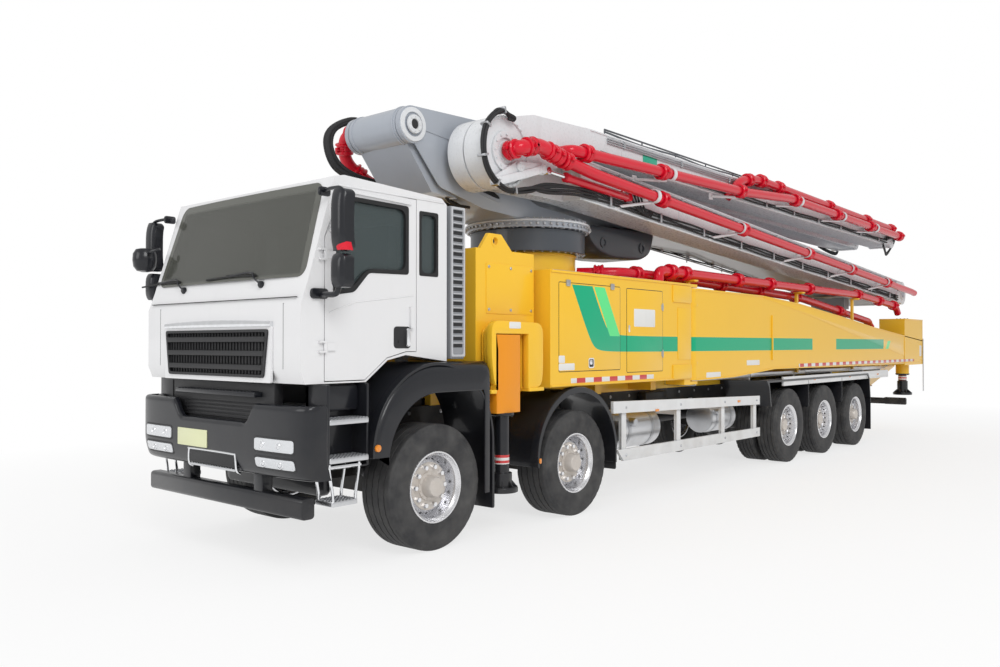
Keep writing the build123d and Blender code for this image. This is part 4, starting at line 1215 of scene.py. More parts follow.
# ---- wheels ------------------------------------------------------------------------
@dataclass
class Wheel:
    """Tyre, rim, nuts and hub cap of one wheel, or of a twin pair."""

    name: str
    x: float
    radius: float
    centres: tuple[float, ...]
    width: float
    side: float
    steered: bool
    groove: float = 0.011
    periods: int = 38

    def tyre(self, centre_y: float) -> Surface:
        """One tyre: a closed section turned about the axle, with its tread cut in.

        Point (i, j) is at angle 2 pi i / n and section place j. Its radius is the
        section's less the groove depth inside a groove, and each groove's place
        across the tread swings by a triangle wave of the angle.

        Args:
            centre_y: The tyre's middle.

        Returns:
            The tyre.
        """
        h, r = self.width / 2, self.radius
        wall = [
            (0.76 * h, 0.297), (0.86 * h, 0.306), (0.93 * h, 0.322), (0.955 * h, 0.34),
            (0.985 * h, 0.375), (0.998 * h, 0.415), (0.995 * h, 0.445), (0.975 * h, 0.472),
            (0.965 * h, 0.474), (0.95 * h, r - 0.045), (0.925 * h, r - 0.028),
            (0.905 * h, r - 0.024), (0.875 * h, r - 0.009), (0.83 * h, r - 0.002),
        ]
        cuts = (0.56, 0.19, -0.19, -0.56)
        half, zigzag, notch = 0.005, 0.0028, 0.006 if self.steered else 0.01
        tread, swing, deep = [(0.7 * h, r)], [0.0], [0.0]
        for cut in cuts:
            for offset, depth in (
                (half + 0.001, 0), (half - 0.001, 1), (-half + 0.001, 1), (-half - 0.001, 0),
            ):
                tread.append((cut * h + offset, r))
                swing.append(1.0)
                deep.append(float(depth))
            tread.append(((cut - 0.18) * h, r))
            swing.append(0.0)
            deep.append(0.0)
        section = np.array([*wall, *tread[:-1], (-0.7 * h, r), *[(-y, q) for y, q in wall[::-1]]])
        head, tail = len(wall), len(section) - len(wall)
        turn = np.arange(self.periods * 4)
        angle = 2 * math.pi * turn / len(turn)
        wave = np.abs((turn % 4) - 2.0) - 1.0
        y = np.repeat(section[None, :, 0], len(turn), 0)
        q = np.repeat(section[None, :, 1], len(turn), 0)
        y[:, head:tail] += zigzag * wave[:, None] * np.array([*swing[:-1], 0.0])[None]
        q[:, head:tail] -= self.groove * np.array([*deep[:-1], 0.0])[None]
        shoulders = [head - 3, head - 2, tail + 1, tail + 2]
        if not self.steered:
            shoulders += [head - 1, head, tail - 1, tail]
        q[np.ix_((turn % 4) == 0, shoulders)] -= notch
        rows = np.stack(
            [self.x + q * np.sin(angle)[:, None], y + centre_y, r + q * np.cos(angle)[:, None]], -1,
        )
        return loft(rows, ring=True)

    def at(self, y: float) -> Point:
        """The axle's centre line at a given y."""
        return (self.x, y, self.radius)

    def rim_shell(self, centre_y: float) -> Surface:
        """A rim: a rolled lip at each side and a barrel between, one closed section turned.

        Args:
            centre_y: The tyre's middle.

        Returns:
            A closed ring.
        """
        h, s = self.width / 2, self.side
        lip = [
            (0.8, 0.299), (0.86, 0.306), (0.89, 0.303), (0.885, 0.29), (0.8, 0.282), (0.72, 0.268),
            (0.3, 0.262),
        ]
        back = [(-0.72, 0.268), (-0.8, 0.282), (-0.885, 0.29), (-0.88, 0.304), (-0.8, 0.299)]
        well = (0.0, 0.285)
        section = [(s * y * h, q) for y, q in [*lip, *back, well]]
        return hoop(section, "y", (self.x, centre_y, self.radius), 60)

    def disc(self, face: float, dish: float) -> Surface:
        """The wheel disc, from its rim weld to its hub face.

        Args:
            face: Distance from the middle of the truck to the hub face.
            dish: How much further in the disc meets the barrel; less than 0 is further out.

        Returns:
            A closed plate turned about the axle.
        """
        s = self.side
        outer = [
            (0.0, 0.105), (0.0, 0.205), (-0.012, 0.222), (-dish + 0.016, 0.246), (-dish, 0.264),
        ]
        inner = [(a - 0.014, q) for a, q in outer[::-1]]
        section = [(s * a, q) for a, q in [*outer, *inner]]
        return hoop(section, "y", (self.x, s * face, self.radius), 60)

    def build(self) -> None:
        """Makes and dresses the wheel's pieces."""
        node, s = f"wheel_{self.name}_{'left' if self.side > 0 else 'right'}", self.side
        tyres = union(self.tyre(s * c) for c in self.centres)
        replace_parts(put(f"{node}_tyres", tyres, node, Finish.TYRE, "tyre", 40), node)
        twin = len(self.centres) > 1
        face = (self.centres[-1] + 0.012) if twin else self.centres[0] + 0.075
        dish = -0.075 if twin else 0.055
        rims = union(self.rim_shell(s * c) for c in self.centres)
        disc = self.disc(face, dish)
        inner = self.disc(self.centres[0] + 0.1, 0.06) if twin else None
        put(
            f"{node}_rims", union([rims, disc, inner] if twin else [rims, disc]), node, Finish.RIM,
            "tyre",
        )
        a, b = (0.222, -0.012), (0.246, -dish + 0.016)
        middle = ((a[0] + b[0]) / 2, (a[1] + b[1]) / 2)
        lean = math.degrees(math.atan2(b[1] - a[1], b[0] - a[0]))
        # the disc's holes are not cut: dark discs lie on it, a painted shade of the holes' insides
        hole_shade = spun([(-0.006, 0.0125), (0.0012, 0.0125)], "y", (0, 0, 0), 14).turned("x", -lean)
        hole_shade = hole_shade.moved((0, middle[1], middle[0]))
        holes = union(hole_shade.turned("y", 18 * k) for k in range(20))
        if s < 0:
            holes = holes.mirrored()
        put(f"{node}_holes", holes.moved(self.at(s * face)), node, Finish.DARK, "tyre")
        ring = circle_of(self.at(s * face), 0.168, 10, "y")
        put(f"{node}_nuts", bolts(ring, "y", 0.023, s * 0.036), node, Finish.CHROME, "tyre")
        reach = 1.222 - face if not twin else 1.16 - face
        cap = [(0.0, 0.122), (0.012, 0.121), (0.018, 0.098), (0.35 * reach, 0.094)]
        cap += [(0.82 * reach, 0.088), (0.95 * reach, 0.078), (reach, 0.052), (reach, 0.0)]
        plate = [(-0.002, 0.104), (0.004, 0.126), (0.006, 0.203), (0.001, 0.206)]
        hub = hoop([(s * u, q) for u, q in [*plate, (-0.006, 0.15)]], "y", self.at(s * face), 48)
        dome = spun([(s * u, q) for u, q in cap], "y", self.at(s * face), 48)
        marks = bolt_ring(self.at(s * (face + 0.013)), 0.109, 12, "y", 0.006, s * 0.007, turn=15)
        put(f"{node}_hub", union([hub, dome, marks]), node, Finish.CAP, "tyre")
        if twin or not self.steered:
            return
        drum = spun(
            [(0.0, 0.205), (s * 0.1, 0.21), (s * 0.13, 0.19)], "y",
            self.at(s * (self.centres[0] - 0.12)), 40,
        )
        put(f"{node}_drum", drum, node, Finish.IRON, "tyre")


AXLES_OF_TRUCK = (
    ("1", 6.35, 0.536, (1.035,), 0.385, True), ("2", 4.35, 0.536, (1.035,), 0.385, True),
    ("3", -1.0, 0.545, (0.73, 1.08), 0.3, False), ("4", -2.4, 0.545, (0.73, 1.08), 0.3, False),
    ("5", -3.85, 0.536, (1.035,), 0.385, False),
)


def build_wheels() -> None:
    """Every wheel, from the table of axles."""
    for name, x, radius, centres, width, steered in AXLES_OF_TRUCK:
        for _, side in SIDES:
            Wheel(name, x, radius, centres, width, side, steered).build()


# ---- cab ---------------------------------------------------------------------------------
# the bumper's face: x at its sides, its bulge, half its width, and the height it tucks in below
NOSE_X, NOSE_BULGE, NOSE_HALF, NOSE_TUCK_Z = 7.53, 0.22, 1.2501, 0.95


def nose(y: Array, z: Array) -> Array:
    """The bumper's front face: x + bulge (1 - |y / half|^6)^(1/6), drawn in towards its foot.

    Args:
        y: Places across the truck.
        z: Heights.

    Returns:
        The face's x at each place.
    """
    bow = np.maximum(1 - np.abs(y / NOSE_HALF) ** 6, 0) ** (1 / 6)
    tuck = 0.05 * np.clip((NOSE_TUCK_Z - z) / 0.22, 0, 1) ** 2
    return NOSE_X + NOSE_BULGE * bow - tuck


def nose_proud(proud: float) -> Face:
    """The bumper's face pushed out by a distance.

    Args:
        proud: How far it is pushed out.

    Returns:
        The new face as a function of two places.
    """

    def face(across: Array, up: Array) -> Array:
        """The pushed-out face at each place."""
        return nose(across, up) + proud

    return face


@dataclass
class Bumper:
    """Front bumper with its lamps, grille, step hoop, plate and underrun bar."""

    half: float = 1.25
    foot: float = 0.73
    top: float = 1.29
    dip: float = 1.14
    dip_half: float = 0.5
    lamp: tuple[float, float] = (0.62, 1.12)
    grille: tuple[float, float, float, float] = (0.79, 0.72, 1.49, 1.88)

    def build(self) -> None:
        """Makes and dresses the bumper's pieces."""
        body, slot = "chassis", "black_frame"
        y = places(-self.half, self.half, 81)
        top = self.top - (self.top - self.dip) * np.clip(
            (self.dip_half + 0.1 - np.abs(y)) / 0.1, 0, 1,
        )
        apron = skin(y, np.full(len(y), self.foot), top, nose, 0.05, "x", 24, 0.035)
        sides = both(panel((7.505, 1.13, self.foot), (7.575, 1.245, self.top), "z", 0.03, 0.02))
        shelf = slab(
            filleted([(7.32, -1.1), (7.6, -1.05), (7.6, 1.05), (7.32, 1.1)], 0.05), 1.23, 1.275,
            "z", 0.01,
        )
        bar = panel((7.56, -1.14, 0.44), (7.68, 1.14, 0.6), "y", 0.03, 0.01)
        hangers = both(panel((7.56, 0.48, 0.56), (7.66, 0.6, 0.76), "z"))
        brackets = both(panel((7.25, 0.39, 0.9), (7.6, 0.47, 1.12), "x"))
        sump = panel((7.08, -0.72, 0.5), (7.16, 0.72, 0.98), "x", 0.06, 0.02)
        piece = put(
            "bumper_apron", union([apron, sides, shelf, bar, hangers, brackets, sump]), body,
            Finish.BLACK, slot,
        )
        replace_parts(piece, "front_bumper")
        back = panel((7.58, -0.76, 1.1), (7.66, 0.76, 1.46), "x")
        core = panel((7.695, -0.8, 1.45), (7.705, 0.8, 1.88), "x")
        slats = union(
            panel((7.655, -0.55, z), (7.668, 0.55, z + 0.012), "x", 0.002)
            for z in np.arange(1.15, 1.28, 0.03)
        )
        put("bumper_back", back + core + slats, body, Finish.DARK, slot)
        tread = panel((7.62, -0.6, 1.335), (7.735, 0.6, 1.375), "y", 0.012)
        teeth = union(
            panel((7.63, v, 1.374), (7.73, v + 0.02, 1.38), "z", 0.004)
            for v in np.arange(-0.57, 0.56, 0.05)
        )
        put("bumper_tread", tread + teeth, body, Finish.BLACK, slot)
        self.grille_pieces(body, slot)
        self.lamps(body, slot)
        self.fittings(body, slot)

    def grille_pieces(self, body: str, slot: str) -> None:
        """The white surround, the bars, the mesh and the bright strip over them.

        Args:
            body: The CAD body.
            slot: The record's material slot.
        """
        wide, narrow, low, high = self.grille
        outer = [(-0.8, 1.452), (0.8, 1.452), (0.8, 1.888), (-0.8, 1.888)]
        inner = [
            (-narrow, low), (narrow, low), (wide - 0.015, high - 0.015),
            (-wide + 0.015, high - 0.015),
        ]
        surround = rim_of(filleted(outer, 0.01), filleted(inner, 0.03), 7.7, 7.722, "x")
        put("grille_surround", surround, body, Finish.CAB, "cab_white")
        rim = rim_of(filleted(inner, 0.03), filleted(inner, 0.03, inset=0.022), 7.7, 7.735, "x")
        bars = []
        for z in (1.545, 1.655, 1.765):
            reach = narrow + (wide - narrow) * (z - low) / (high - low) - 0.02
            y = places(-reach, reach, 17)
            bars.append(
                skin(y, np.full(17, z), np.full(17, z + 0.045), flat_at(7.744), 0.03, "x", 7, 0.012)
            )
        uprights = [
            panel((7.706, v, 1.5), (7.716, v + 0.012, 1.86), "x", 0.003)
            for v in np.arange(-0.72, 0.72, 0.045)
        ]
        put("grille_bars", union([rim, *bars, *uprights]), body, Finish.DARK, slot)
        y = places(-0.8, 0.8, 21)
        strip = skin(
            y, np.full(len(y), 1.885), 1.925 + 0.018 * (1 - (y / 0.8) ** 2), flat_at(7.738), 0.04,
            "x", 7, 0.01,
        )
        put("grille_strip", strip, body, Finish.CHROME, slot)

    def lamps(self, body: str, slot: str) -> None:
        """Two lamp units a side, each a dark case with a clear lens and two bright bowls.

        Args:
            body: The CAD body.
            slot: The record's material slot.
        """
        near, far = self.lamp
        y = places(near, far, 15)
        cases, lenses, bowls = [], [], []
        for low, high in ((0.925, 1.045), (0.795, 0.895)):
            bottom, top = oval(y, low, high, 0.03)
            cases.append(
                skin(y, bottom - 0.006, top + 0.006, nose_proud(0.003), 0.02, "x", 9, 0.004)
            )
            inner = places(near + 0.012, far - 0.012, 15)
            bottom, top = oval(inner, low + 0.01, high - 0.01, 0.024)
            lenses.append(skin(inner, bottom, top, nose_proud(0.009), 0.02, "x", 9, 0.008))
            for v in (near + 0.12, far - 0.17):
                z = (low + high) / 2
                x = float(nose(np.array(v), np.array(z)))
                turn = -math.degrees(math.atan2(0.33 * 0.6 * (v / 1.25) ** 4, 1.0))
                bowl = hoop(
                    [(0.006, 0.036), (0.011, 0.034), (0.011, 0.028), (0.006, 0.026)], "x",
                    (0, 0, 0), 28,
                )
                dot = spun(
                    [(0.0, 0.02), (0.012, 0.019), (0.015, 0.012), (0.016, 0.0)], "x", (0, 0, 0), 20,
                )
                bowls.append((bowl + dot).turned("z", -turn).moved((x, v, z)))
        put("lamp_cases", both(union(cases)), body, Finish.DARK, slot)
        put("lamp_lenses", both(union(lenses)), body, Finish.CLEAR_LENS, slot)
        put("lamp_bowls", both(union(bowls)), body, Finish.CHROME, slot)

    def fittings(self, body: str, slot: str) -> None:
        """The step hoop, its tread, the blank plate, the tow socket's rim and small fixings.

        Args:
            body: The CAD body.
            slot: The record's material slot.
        """
        route = [
            (7.7, -0.36, 0.72), (7.735, -0.36, 0.75), (7.742, -0.35, 0.86), (7.742, -0.3, 0.875),
        ]
        path = smooth_path([*route, *[(x, -v, z) for x, v, z in route[::-1]]], 5)
        put("step_hoop", tube(path, 0.0095, 12), body, Finish.CHROME, slot)
        pad = panel((7.66, -0.34, 0.735), (7.742, 0.34, 0.755), "z")
        teeth = union(
            panel((7.67, v, 0.754), (7.738, v + 0.015, 0.76), "z", 0.003)
            for v in np.arange(-0.32, 0.31, 0.04)
        )
        put("step_hoop_tread", pad + teeth, body, Finish.ALUMINIUM, slot)
        pocket = panel((7.69, -0.34, 0.765), (7.744, 0.34, 0.858), "x", 0.012, 0.002)
        put("step_hoop_pocket", pocket, body, Finish.DARK, slot)
        plate = panel((7.748, -0.52, 0.895), (7.756, -0.055, 1.04), "x", 0.008, 0.001)
        put("blank_plate", plate, body, Finish.PLATE, slot)
        socket = hoop(
            [(0.0, 0.03), (0.006, 0.03), (0.0095, 0.037), (0.006, 0.044), (0.0, 0.046)], "x",
            (7.7395, 0.0, 0.98), 32,
        )
        # a dark disc inside the tow socket's rim, a painted shade of its hollow
        hole_shade = spun([(-0.02, 0.03), (0.0008, 0.03)], "x", (7.7395, 0.0, 0.98), 28)
        put("tow_socket_rim", socket, body, Finish.BLACK, slot)
        caps = bolts(
            [(7.742, s * v, 1.06) for s in (1, -1) for v in (0.56, 0.66)], "x", 0.012, 0.006,
        )
        small = both(panel((7.735, 0.2, 1.075), (7.747, 0.3, 1.11), "x"))
        put("bumper_fixings_and_socket_shade", hole_shade + caps + small, body, Finish.DARK, slot)


# the windscreen's foot (x, z), the way up it, how far its middle bows out, and the bow's half width
SCREEN_FOOT, SCREEN_LEAN, SCREEN_BOW, SCREEN_HALF = (7.64, 2.215), (-0.29, 0.957), 0.018, 1.1


def screen_at(y: Array, up: Array, proud: float) -> Array:
    """A point of the windscreen: up its leaning plane, bowed out by bow (1 - (y / half)^2).

    Args:
        y: Places across the screen.
        up: Distances up its plane.
        proud: How far off the plane.

    Returns:
        The points.
    """
    bow = SCREEN_BOW * (1 - (y / SCREEN_HALF) ** 2) + proud
    x = SCREEN_FOOT[0] + SCREEN_LEAN[0] * up + bow * SCREEN_LEAN[1]
    z = SCREEN_FOOT[1] + SCREEN_LEAN[1] * up - bow * SCREEN_LEAN[0]
    return np.stack([x, y, z], -1)


def mirror_back(x: float, middle: float, half: float) -> Face:
    """A mirror's rounded back: 0.028 lower at half a height off its middle, 0.035 at its sides.

    Args:
        x: The back's furthest place.
        middle: Height of its middle.
        half: Half its height.

    Returns:
        The back as a function of two places.
    """

    def face(across: Array, up: Array) -> Array:
        """The back's face at each place."""
        return x - 0.028 * ((up - middle) / half) ** 4 - 0.035 * ((across - 1.4) / 0.08) ** 4

    return face


@dataclass
class CabFront:
    """Windscreen, wipers, mirrors and the lines of the cab's front."""

    def screen(self) -> Surface:
        """A bonded screen with round corners: its half width narrows from foot to top.

        Returns:
            The screen, closed round its edge.
        """
        corner, foot_half, narrowing = 0.09, 1.095, 0.055
        up = places(0.045, 0.825, 25)
        share = (up - up[0]) / (up[-1] - up[0])
        past = np.maximum(np.maximum(up[0] + corner - up, up - up[-1] + corner), 0)
        half = foot_half - narrowing * share - (
            corner - np.sqrt(np.maximum(corner**2 - past**2, 0))
        )
        v = np.linspace(-1, 1, 33)[None]
        y = half[:, None] * v
        rise = np.repeat(up[:, None], 33, 1)
        return loft(
            np.concatenate([screen_at(y, rise, 0.004), screen_at(y, rise, -0.001)[:, ::-1]], 1)
        )

    def wiper(self, y: float, reach: float) -> tuple[Surface, Surface]:
        """A parked wiper: its arm from a spindle under the screen, and its blade along the foot.

        Args:
            y: Where its spindle stands.
            reach: How far to the right it reaches.

        Returns:
            The arm and the blade.
        """
        spindle = screen_at(np.array([y]), np.array([0.0]), 0.0)[0]
        bend = screen_at(np.array([y - 0.25 * reach]), np.array([0.1]), 0.022)[0]
        middle = screen_at(np.array([y - 0.72 * reach]), np.array([0.085]), 0.02)[0]
        arm = hose([spindle, (spindle + bend) / 2 + (0.012, 0, 0), bend, middle], 6, 0.0075, 8)
        boss = spun([(0.0, 0.03), (0.02, 0.028), (0.028, 0.018)], "x", spindle - (0.012, 0, 0), 20)
        ends = [
            screen_at(np.array([y - s * reach]), np.array([u]), 0.014)[0]
            for s, u in ((0.12, 0.075), (0.7, 0.082), (1.3, 0.07))
        ]
        blade = hose(ends, 10, 0.0085, 6)
        saddle = panel(middle - (0.02, 0.05, 0.012), middle + (0.004, 0.05, 0.012), "y", 0.006)
        return arm + boss, blade + saddle

    def mirror(self) -> list[tuple[str, Surface, Finish]]:
        """The left side's two-part mirror on its bars, with its coloured band and glass.

        Returns:
            Each piece's name, shell and finish.
        """
        out: list[tuple[str, Surface, Finish]] = []
        cases, glass = [], []
        for low, high in ((2.435, 2.895), (2.165, 2.415)):
            y = places(1.325, 1.478, 15)
            bottom, top = oval(y, low, high, 0.05)
            cases.append(
                skin(
                    y, bottom, top, mirror_back(7.585, (low + high) / 2, (high - low) / 2), 0.085,
                    "x", 15, 0.0,
                )
            )
            gy = places(1.338, 1.466, 9)
            bottom, top = oval(gy, low + 0.02, high - 0.02, 0.04)
            glass.append(skin(gy, bottom, top, flat_at(7.5005), 0.003, "x", 7, 0.0))
        edge = np.linspace(2.462, 2.497, 7)
        band = skin(
            places(1.4, 1.4795, 7), np.full(7, 2.438), edge, mirror_back(7.588, 2.665, 0.23), 0.05,
            "x", 5,
        )
        bars = [
            hose(
                [(7.5, 1.14, 2.905), (7.51, 1.26, 2.915), (7.525, 1.4, 2.895), (7.53, 1.4, 2.8)], 6,
                0.014, 10,
            ),
            hose(
                [(7.53, 1.13, 2.13), (7.54, 1.24, 2.12), (7.53, 1.36, 2.13), (7.53, 1.39, 2.25)], 6,
                0.022, 10,
            ),
        ]
        foot = panel((7.46, 1.145, 2.09), (7.62, 1.175, 2.17), "y", 0.03, 0.008)
        top_foot = panel((7.44, 1.145, 2.87), (7.55, 1.17, 2.94), "y", 0.02, 0.008)
        out.append(("mirror_cases", union([*cases, *bars, foot, top_foot]), Finish.BLACK))
        out.append(("mirror_faces", union(glass), Finish.MIRROR))
        out.append(("mirror_bands", band, Finish.RED))
        return out

    def build(self) -> None:
        """Makes and dresses the pieces."""
        body = "chassis"
        put("windscreen", self.screen(), body, Finish.SCREEN, "glass", 60)
        arms, blades = zip(*(self.wiper(y, 0.62) for y in (0.56, -0.62)))
        put("wiper_arms", union(arms), body, Finish.BLACK, "black_frame")
        put("wiper_blades", union(blades), body, Finish.SEAL, "black_frame")
        for k, (name, shell, finish) in enumerate(self.mirror()):
            piece = put(name, both(shell), body, finish, "black_frame")
            if k == 0:
                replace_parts(piece, "mirrors")
        arm = hose(
            [(7.62, -1.1, 2.62), (7.66, -1.16, 2.6), (7.66, -1.25, 2.58), (7.655, -1.3, 2.56)], 6,
            0.012, 10,
        )
        dish = spun(
            [
                (-0.11, 0.03), (-0.1, 0.07), (-0.06, 0.1), (0.0, 0.108), (0.06, 0.104), (0.1, 0.08),
                (0.11, 0.04),
            ],
            "z", (7.645, -1.335, 2.53), 28,
        )
        put("front_mirror", arm + dish, body, Finish.BLACK, "black_frame")
        seams = []
        seams.append(panel((7.688, -1.09, 2.1), (7.7005, 1.09, 2.106), "x", 0.002, 0.001))
        for y in (0.93, -0.93):
            seams.append(
                panel((7.69, y - 0.003, 1.56), (7.7006, y + 0.003, 2.06), "x", 0.002, 0.001)
            )
        put("cab_seams", union(seams), body, Finish.SEAL, "black_frame")
        ledge = both(panel((6.2, 1.1, 2.965), (7.36, 1.158, 2.985), "x", 0.008))
        put("roof_gutter", ledge, body, Finish.CAB, "cab_white")
        hatch = panel((6.55, -0.42, 3.035), (7.15, 0.42, 3.068), "z", 0.05, 0.012)
        put("roof_hatch", hatch, body, Finish.CAB, "cab_white")


DOOR_GLASS = (
    (6.625, 2.33), (6.625, 2.89), (7.26, 2.9), (7.4, 2.54), (7.4, 2.13), (7.2, 2.16), (7.05, 2.32),
)
QUARTER = ((6.28, 2.33), (6.28, 2.87), (6.495, 2.87), (6.495, 2.33))


@dataclass
class CabSides:
    """Window seals, door handles and the trim of the cab's sides."""

    def build(self) -> None:
        """Makes and dresses both sides."""
        for name, side in SIDES:
            def hand(shell: Surface) -> Surface:
                """The piece as it stands on this side."""
                return shell if side > 0 else shell.mirrored()

            body = f"door_{name}"
            seal = rim_of(
                filleted(DOOR_GLASS, 0.03, 5, -0.004), filleted(DOOR_GLASS, 0.075, 5, 0.03), 1.122,
                1.1545,
            )
            put(f"door_seal_{name}", hand(seal), body, Finish.SEAL, "glass")
            scoop = panel((6.6, 1.148, 1.715), (6.785, 1.1545, 1.895), "y", 0.03, 0.002)
            lock = spun([(1.15, 0.014), (1.16, 0.012)], "y", (6.73, 0, 1.77), 16)
            put(f"door_handle_{name}", hand(scoop + lock), body, Finish.DARK, "cab_trim")
            grip = panel((6.625, 1.153, 1.73), (6.665, 1.186, 1.88), "y", 0.016, 0.01)
            put(f"door_grip_{name}", hand(grip), body, Finish.CHROME, "cab_trim")
            crease = [
                (6.56, 2.15), (7.18, 2.075), (7.44, 1.985), (7.44, 1.995), (7.18, 2.087),
                (6.56, 2.162),
            ]
            put(
                f"door_crease_{name}", hand(slab(crease, 1.149, 1.154, "y", 0.0015)), body,
                Finish.CAB, "cab_white",
            )
            seal = rim_of(
                filleted(QUARTER, 0.02, 5, -0.004), filleted(QUARTER, 0.05, 5, 0.022), 1.122,
                1.1535,
            )
            put(f"quarter_seal_{name}", hand(seal), "chassis", Finish.SEAL, "glass")
            visor = slab(
                filleted(
                    [
                        (6.6, 2.905), (7.27, 2.925), (7.42, 2.6), (7.45, 2.61), (7.29, 2.95),
                        (6.6, 2.93),
                    ],
                    0.01,
                ),
                1.15, 1.172, "y", 0.006,
            )
            put(f"door_visor_{name}", hand(visor), body, Finish.CAB, "cab_white")
            well = union(
                [
                    panel((7.085, 0.98, 0.8), (7.53, 1.02, 1.445), "y", 0.02),
                    panel((7.11, 0.98, 0.8), (7.52, 1.21, 0.815), "z"),
                    panel((7.5, 0.98, 0.8), (7.53, 1.24, 1.445), "x", 0.008),
                    panel((7.088, 0.98, 0.8), (7.112, 1.2, 1.445), "x", 0.008),
                    panel((7.115, 1.005, 1.235), (7.5, 1.1, 1.43), "y", 0.02, 0.01),
                ]
            )
            put(f"step_well_{name}", hand(well), "chassis", Finish.BLACK, "black_frame")
            levels = ((7.12, 7.505, 1.18), (7.12, 7.505, 0.89), (7.235, 7.48, 0.565))
            treads = [
                panel((x0, 1.03, z - 0.04), (x1, 1.245, z), "z", 0.014, 0.006)
                for x0, x1, z in levels
            ]
            treads.append(panel((7.2, 0.47, 0.9), (7.3, 1.0, 0.96), "x", 0.008))
            piece = put(
                f"step_treads_{name}", hand(union(treads)), "chassis", Finish.ALUMINIUM,
                "silver_step",
            )
            if side > 0:
                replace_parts(piece, "cab_steps")
            teeth = [
                (x, y, z)
                for x0, x1, z in levels for x in np.arange(x0 + 0.02, x1, 0.034) for y in (
                    1.06, 1.095, 1.13, 1.165, 1.2, 1.232,
                )
            ]
            put(
                f"step_teeth_{name}", hand(bolts(teeth, "z", 0.009, 0.007)), "chassis",
                Finish.STEEL, "silver_step",
            )
            rods = [
                tube(
                    bent([(a, y, 0.845), (a, y, 0.8), (b, y, 0.6), (b, y, 0.535)], 0.03, 5), 0.012,
                    10,
                )
                for a, b in ((7.215, 7.25), (7.5, 7.465)) for y in (1.06, 1.232)
            ]
            rods += [tube([(7.2, y, 0.822), (7.515, y, 0.822)], 0.012, 10) for y in (1.06, 1.232)]
            put(f"step_rods_{name}", hand(union(rods)), "chassis", Finish.CHROME, "silver_step")


@dataclass
class AirStack:
    """Louvres on the grey stack behind the cab."""

    def build(self) -> None:
        """Rows of slots on the outer and rear faces."""
        slots, frames = [], []
        foot, head, pitch = 1.72, 2.9, 0.062
        # each slot is a flat dark sheet on the face, a painted shade of a louvre opening
        for z in np.arange(foot, head, pitch):
            slots.append(panel((5.985, 1.1585, z), (6.105, 1.1615, z + 0.03), "y", 0.008, 0.001))
            frames.append(panel((5.98, 1.157, z + 0.034), (6.11, 1.176, z + 0.044), "y", 0.004))
            slots.append(panel((5.9585, 0.83, z), (5.9615, 1.12, z + 0.03), "x", 0.008, 0.001))
        face = [(5.96, 1.64), (6.13, 1.64), (6.13, 2.955), (5.96, 2.955)]
        edge = rim_of(filleted(face, 0.01), filleted(face, 0.02, inset=0.018), 1.158, 1.172)
        put("stack_slot_shade", both(union(slots)), "chassis", Finish.DARK, "stack_grey")
        put(
            "stack_louvres", both(union([*frames, edge])), "chassis", Finish.MESH_GREY,
            "stack_grey",
        )


# ---- boom ---------------------------------------------------------------------------------
PINS = {
    1: (5.87, 3.85), 2: (-7.42, 2.8), 3: (5.15, 3.63), 4: (-6.75, 3.88), 5: (2.15, 4.04),
    6: (-6.6, 3.2), 7: (1.5, 3.45), 8: (-6.1, 3.34)
}


def coupling() -> Surface:
    """A clamp coupling along x: three proud rings on a band, and its two bolted lugs.

    Returns:
        The rings, the band and both lugs.
    """
    ring = [(-0.058, 0.068), (-0.058, 0.086), (-0.05, 0.096), (-0.036, 0.096), (-0.03, 0.082)]
    ring += [(-0.01, 0.082), (-0.008, 0.09), (0.008, 0.09), (0.01, 0.082)]
    section = [*ring, *[(-t, r) for t, r in ring[3::-1]], (0.03, 0.066), (-0.03, 0.066)]
    lugs = both(panel((-0.022, 0.085, -0.018), (0.022, 0.118, 0.018), "x", 0.008))
    return hoop(section, "x", (0, 0, 0), 26) + lugs + bolts(
        [(0, 0.104, 0.018), (0, -0.104, 0.018)], "z", 0.009, 0.012,
    )


@dataclass
class PipeLine:
    """One delivery line: its route, its couplings and its thicker cast elbows."""

    name: str
    body: str
    route: tuple[tuple[float, float, float], ...]
    replaced: str = ""
    bend: float = 0.15
    joints: tuple[tuple[int, float], ...] = ()
    radius: float = 0.0625
    cast: tuple[int, ...] = ()

    def build(self) -> None:
        """Makes the line."""
        points = np.asarray(self.route, float)
        shells = [tube(bent(points, self.bend, 9), self.radius, 20)]
        for k in self.cast:
            a, c, b = points[k - 1], points[k], points[k + 1]
            reach = [min(0.2, 0.49 * float(np.linalg.norm(v - c))) for v in (a, b)]
            ends = [c + (v - c) / np.linalg.norm(v - c) * r for v, r in zip((a, b), reach)]
            shells.append(tube(bent([ends[0], c, ends[1]], self.bend, 11), self.radius + 0.014, 20))
            for end, way in zip(ends, (a - c, b - c)):
                shells.append(coupling().aimed(way, end))
        for run, share in self.joints:
            way = points[run + 1] - points[run]
            shells.append(coupling().aimed(way, points[run] + way * share))
        piece = put(self.name, union(shells), self.body, Finish.RED, "pipe_red")
        if self.replaced:
            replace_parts(piece, self.replaced)


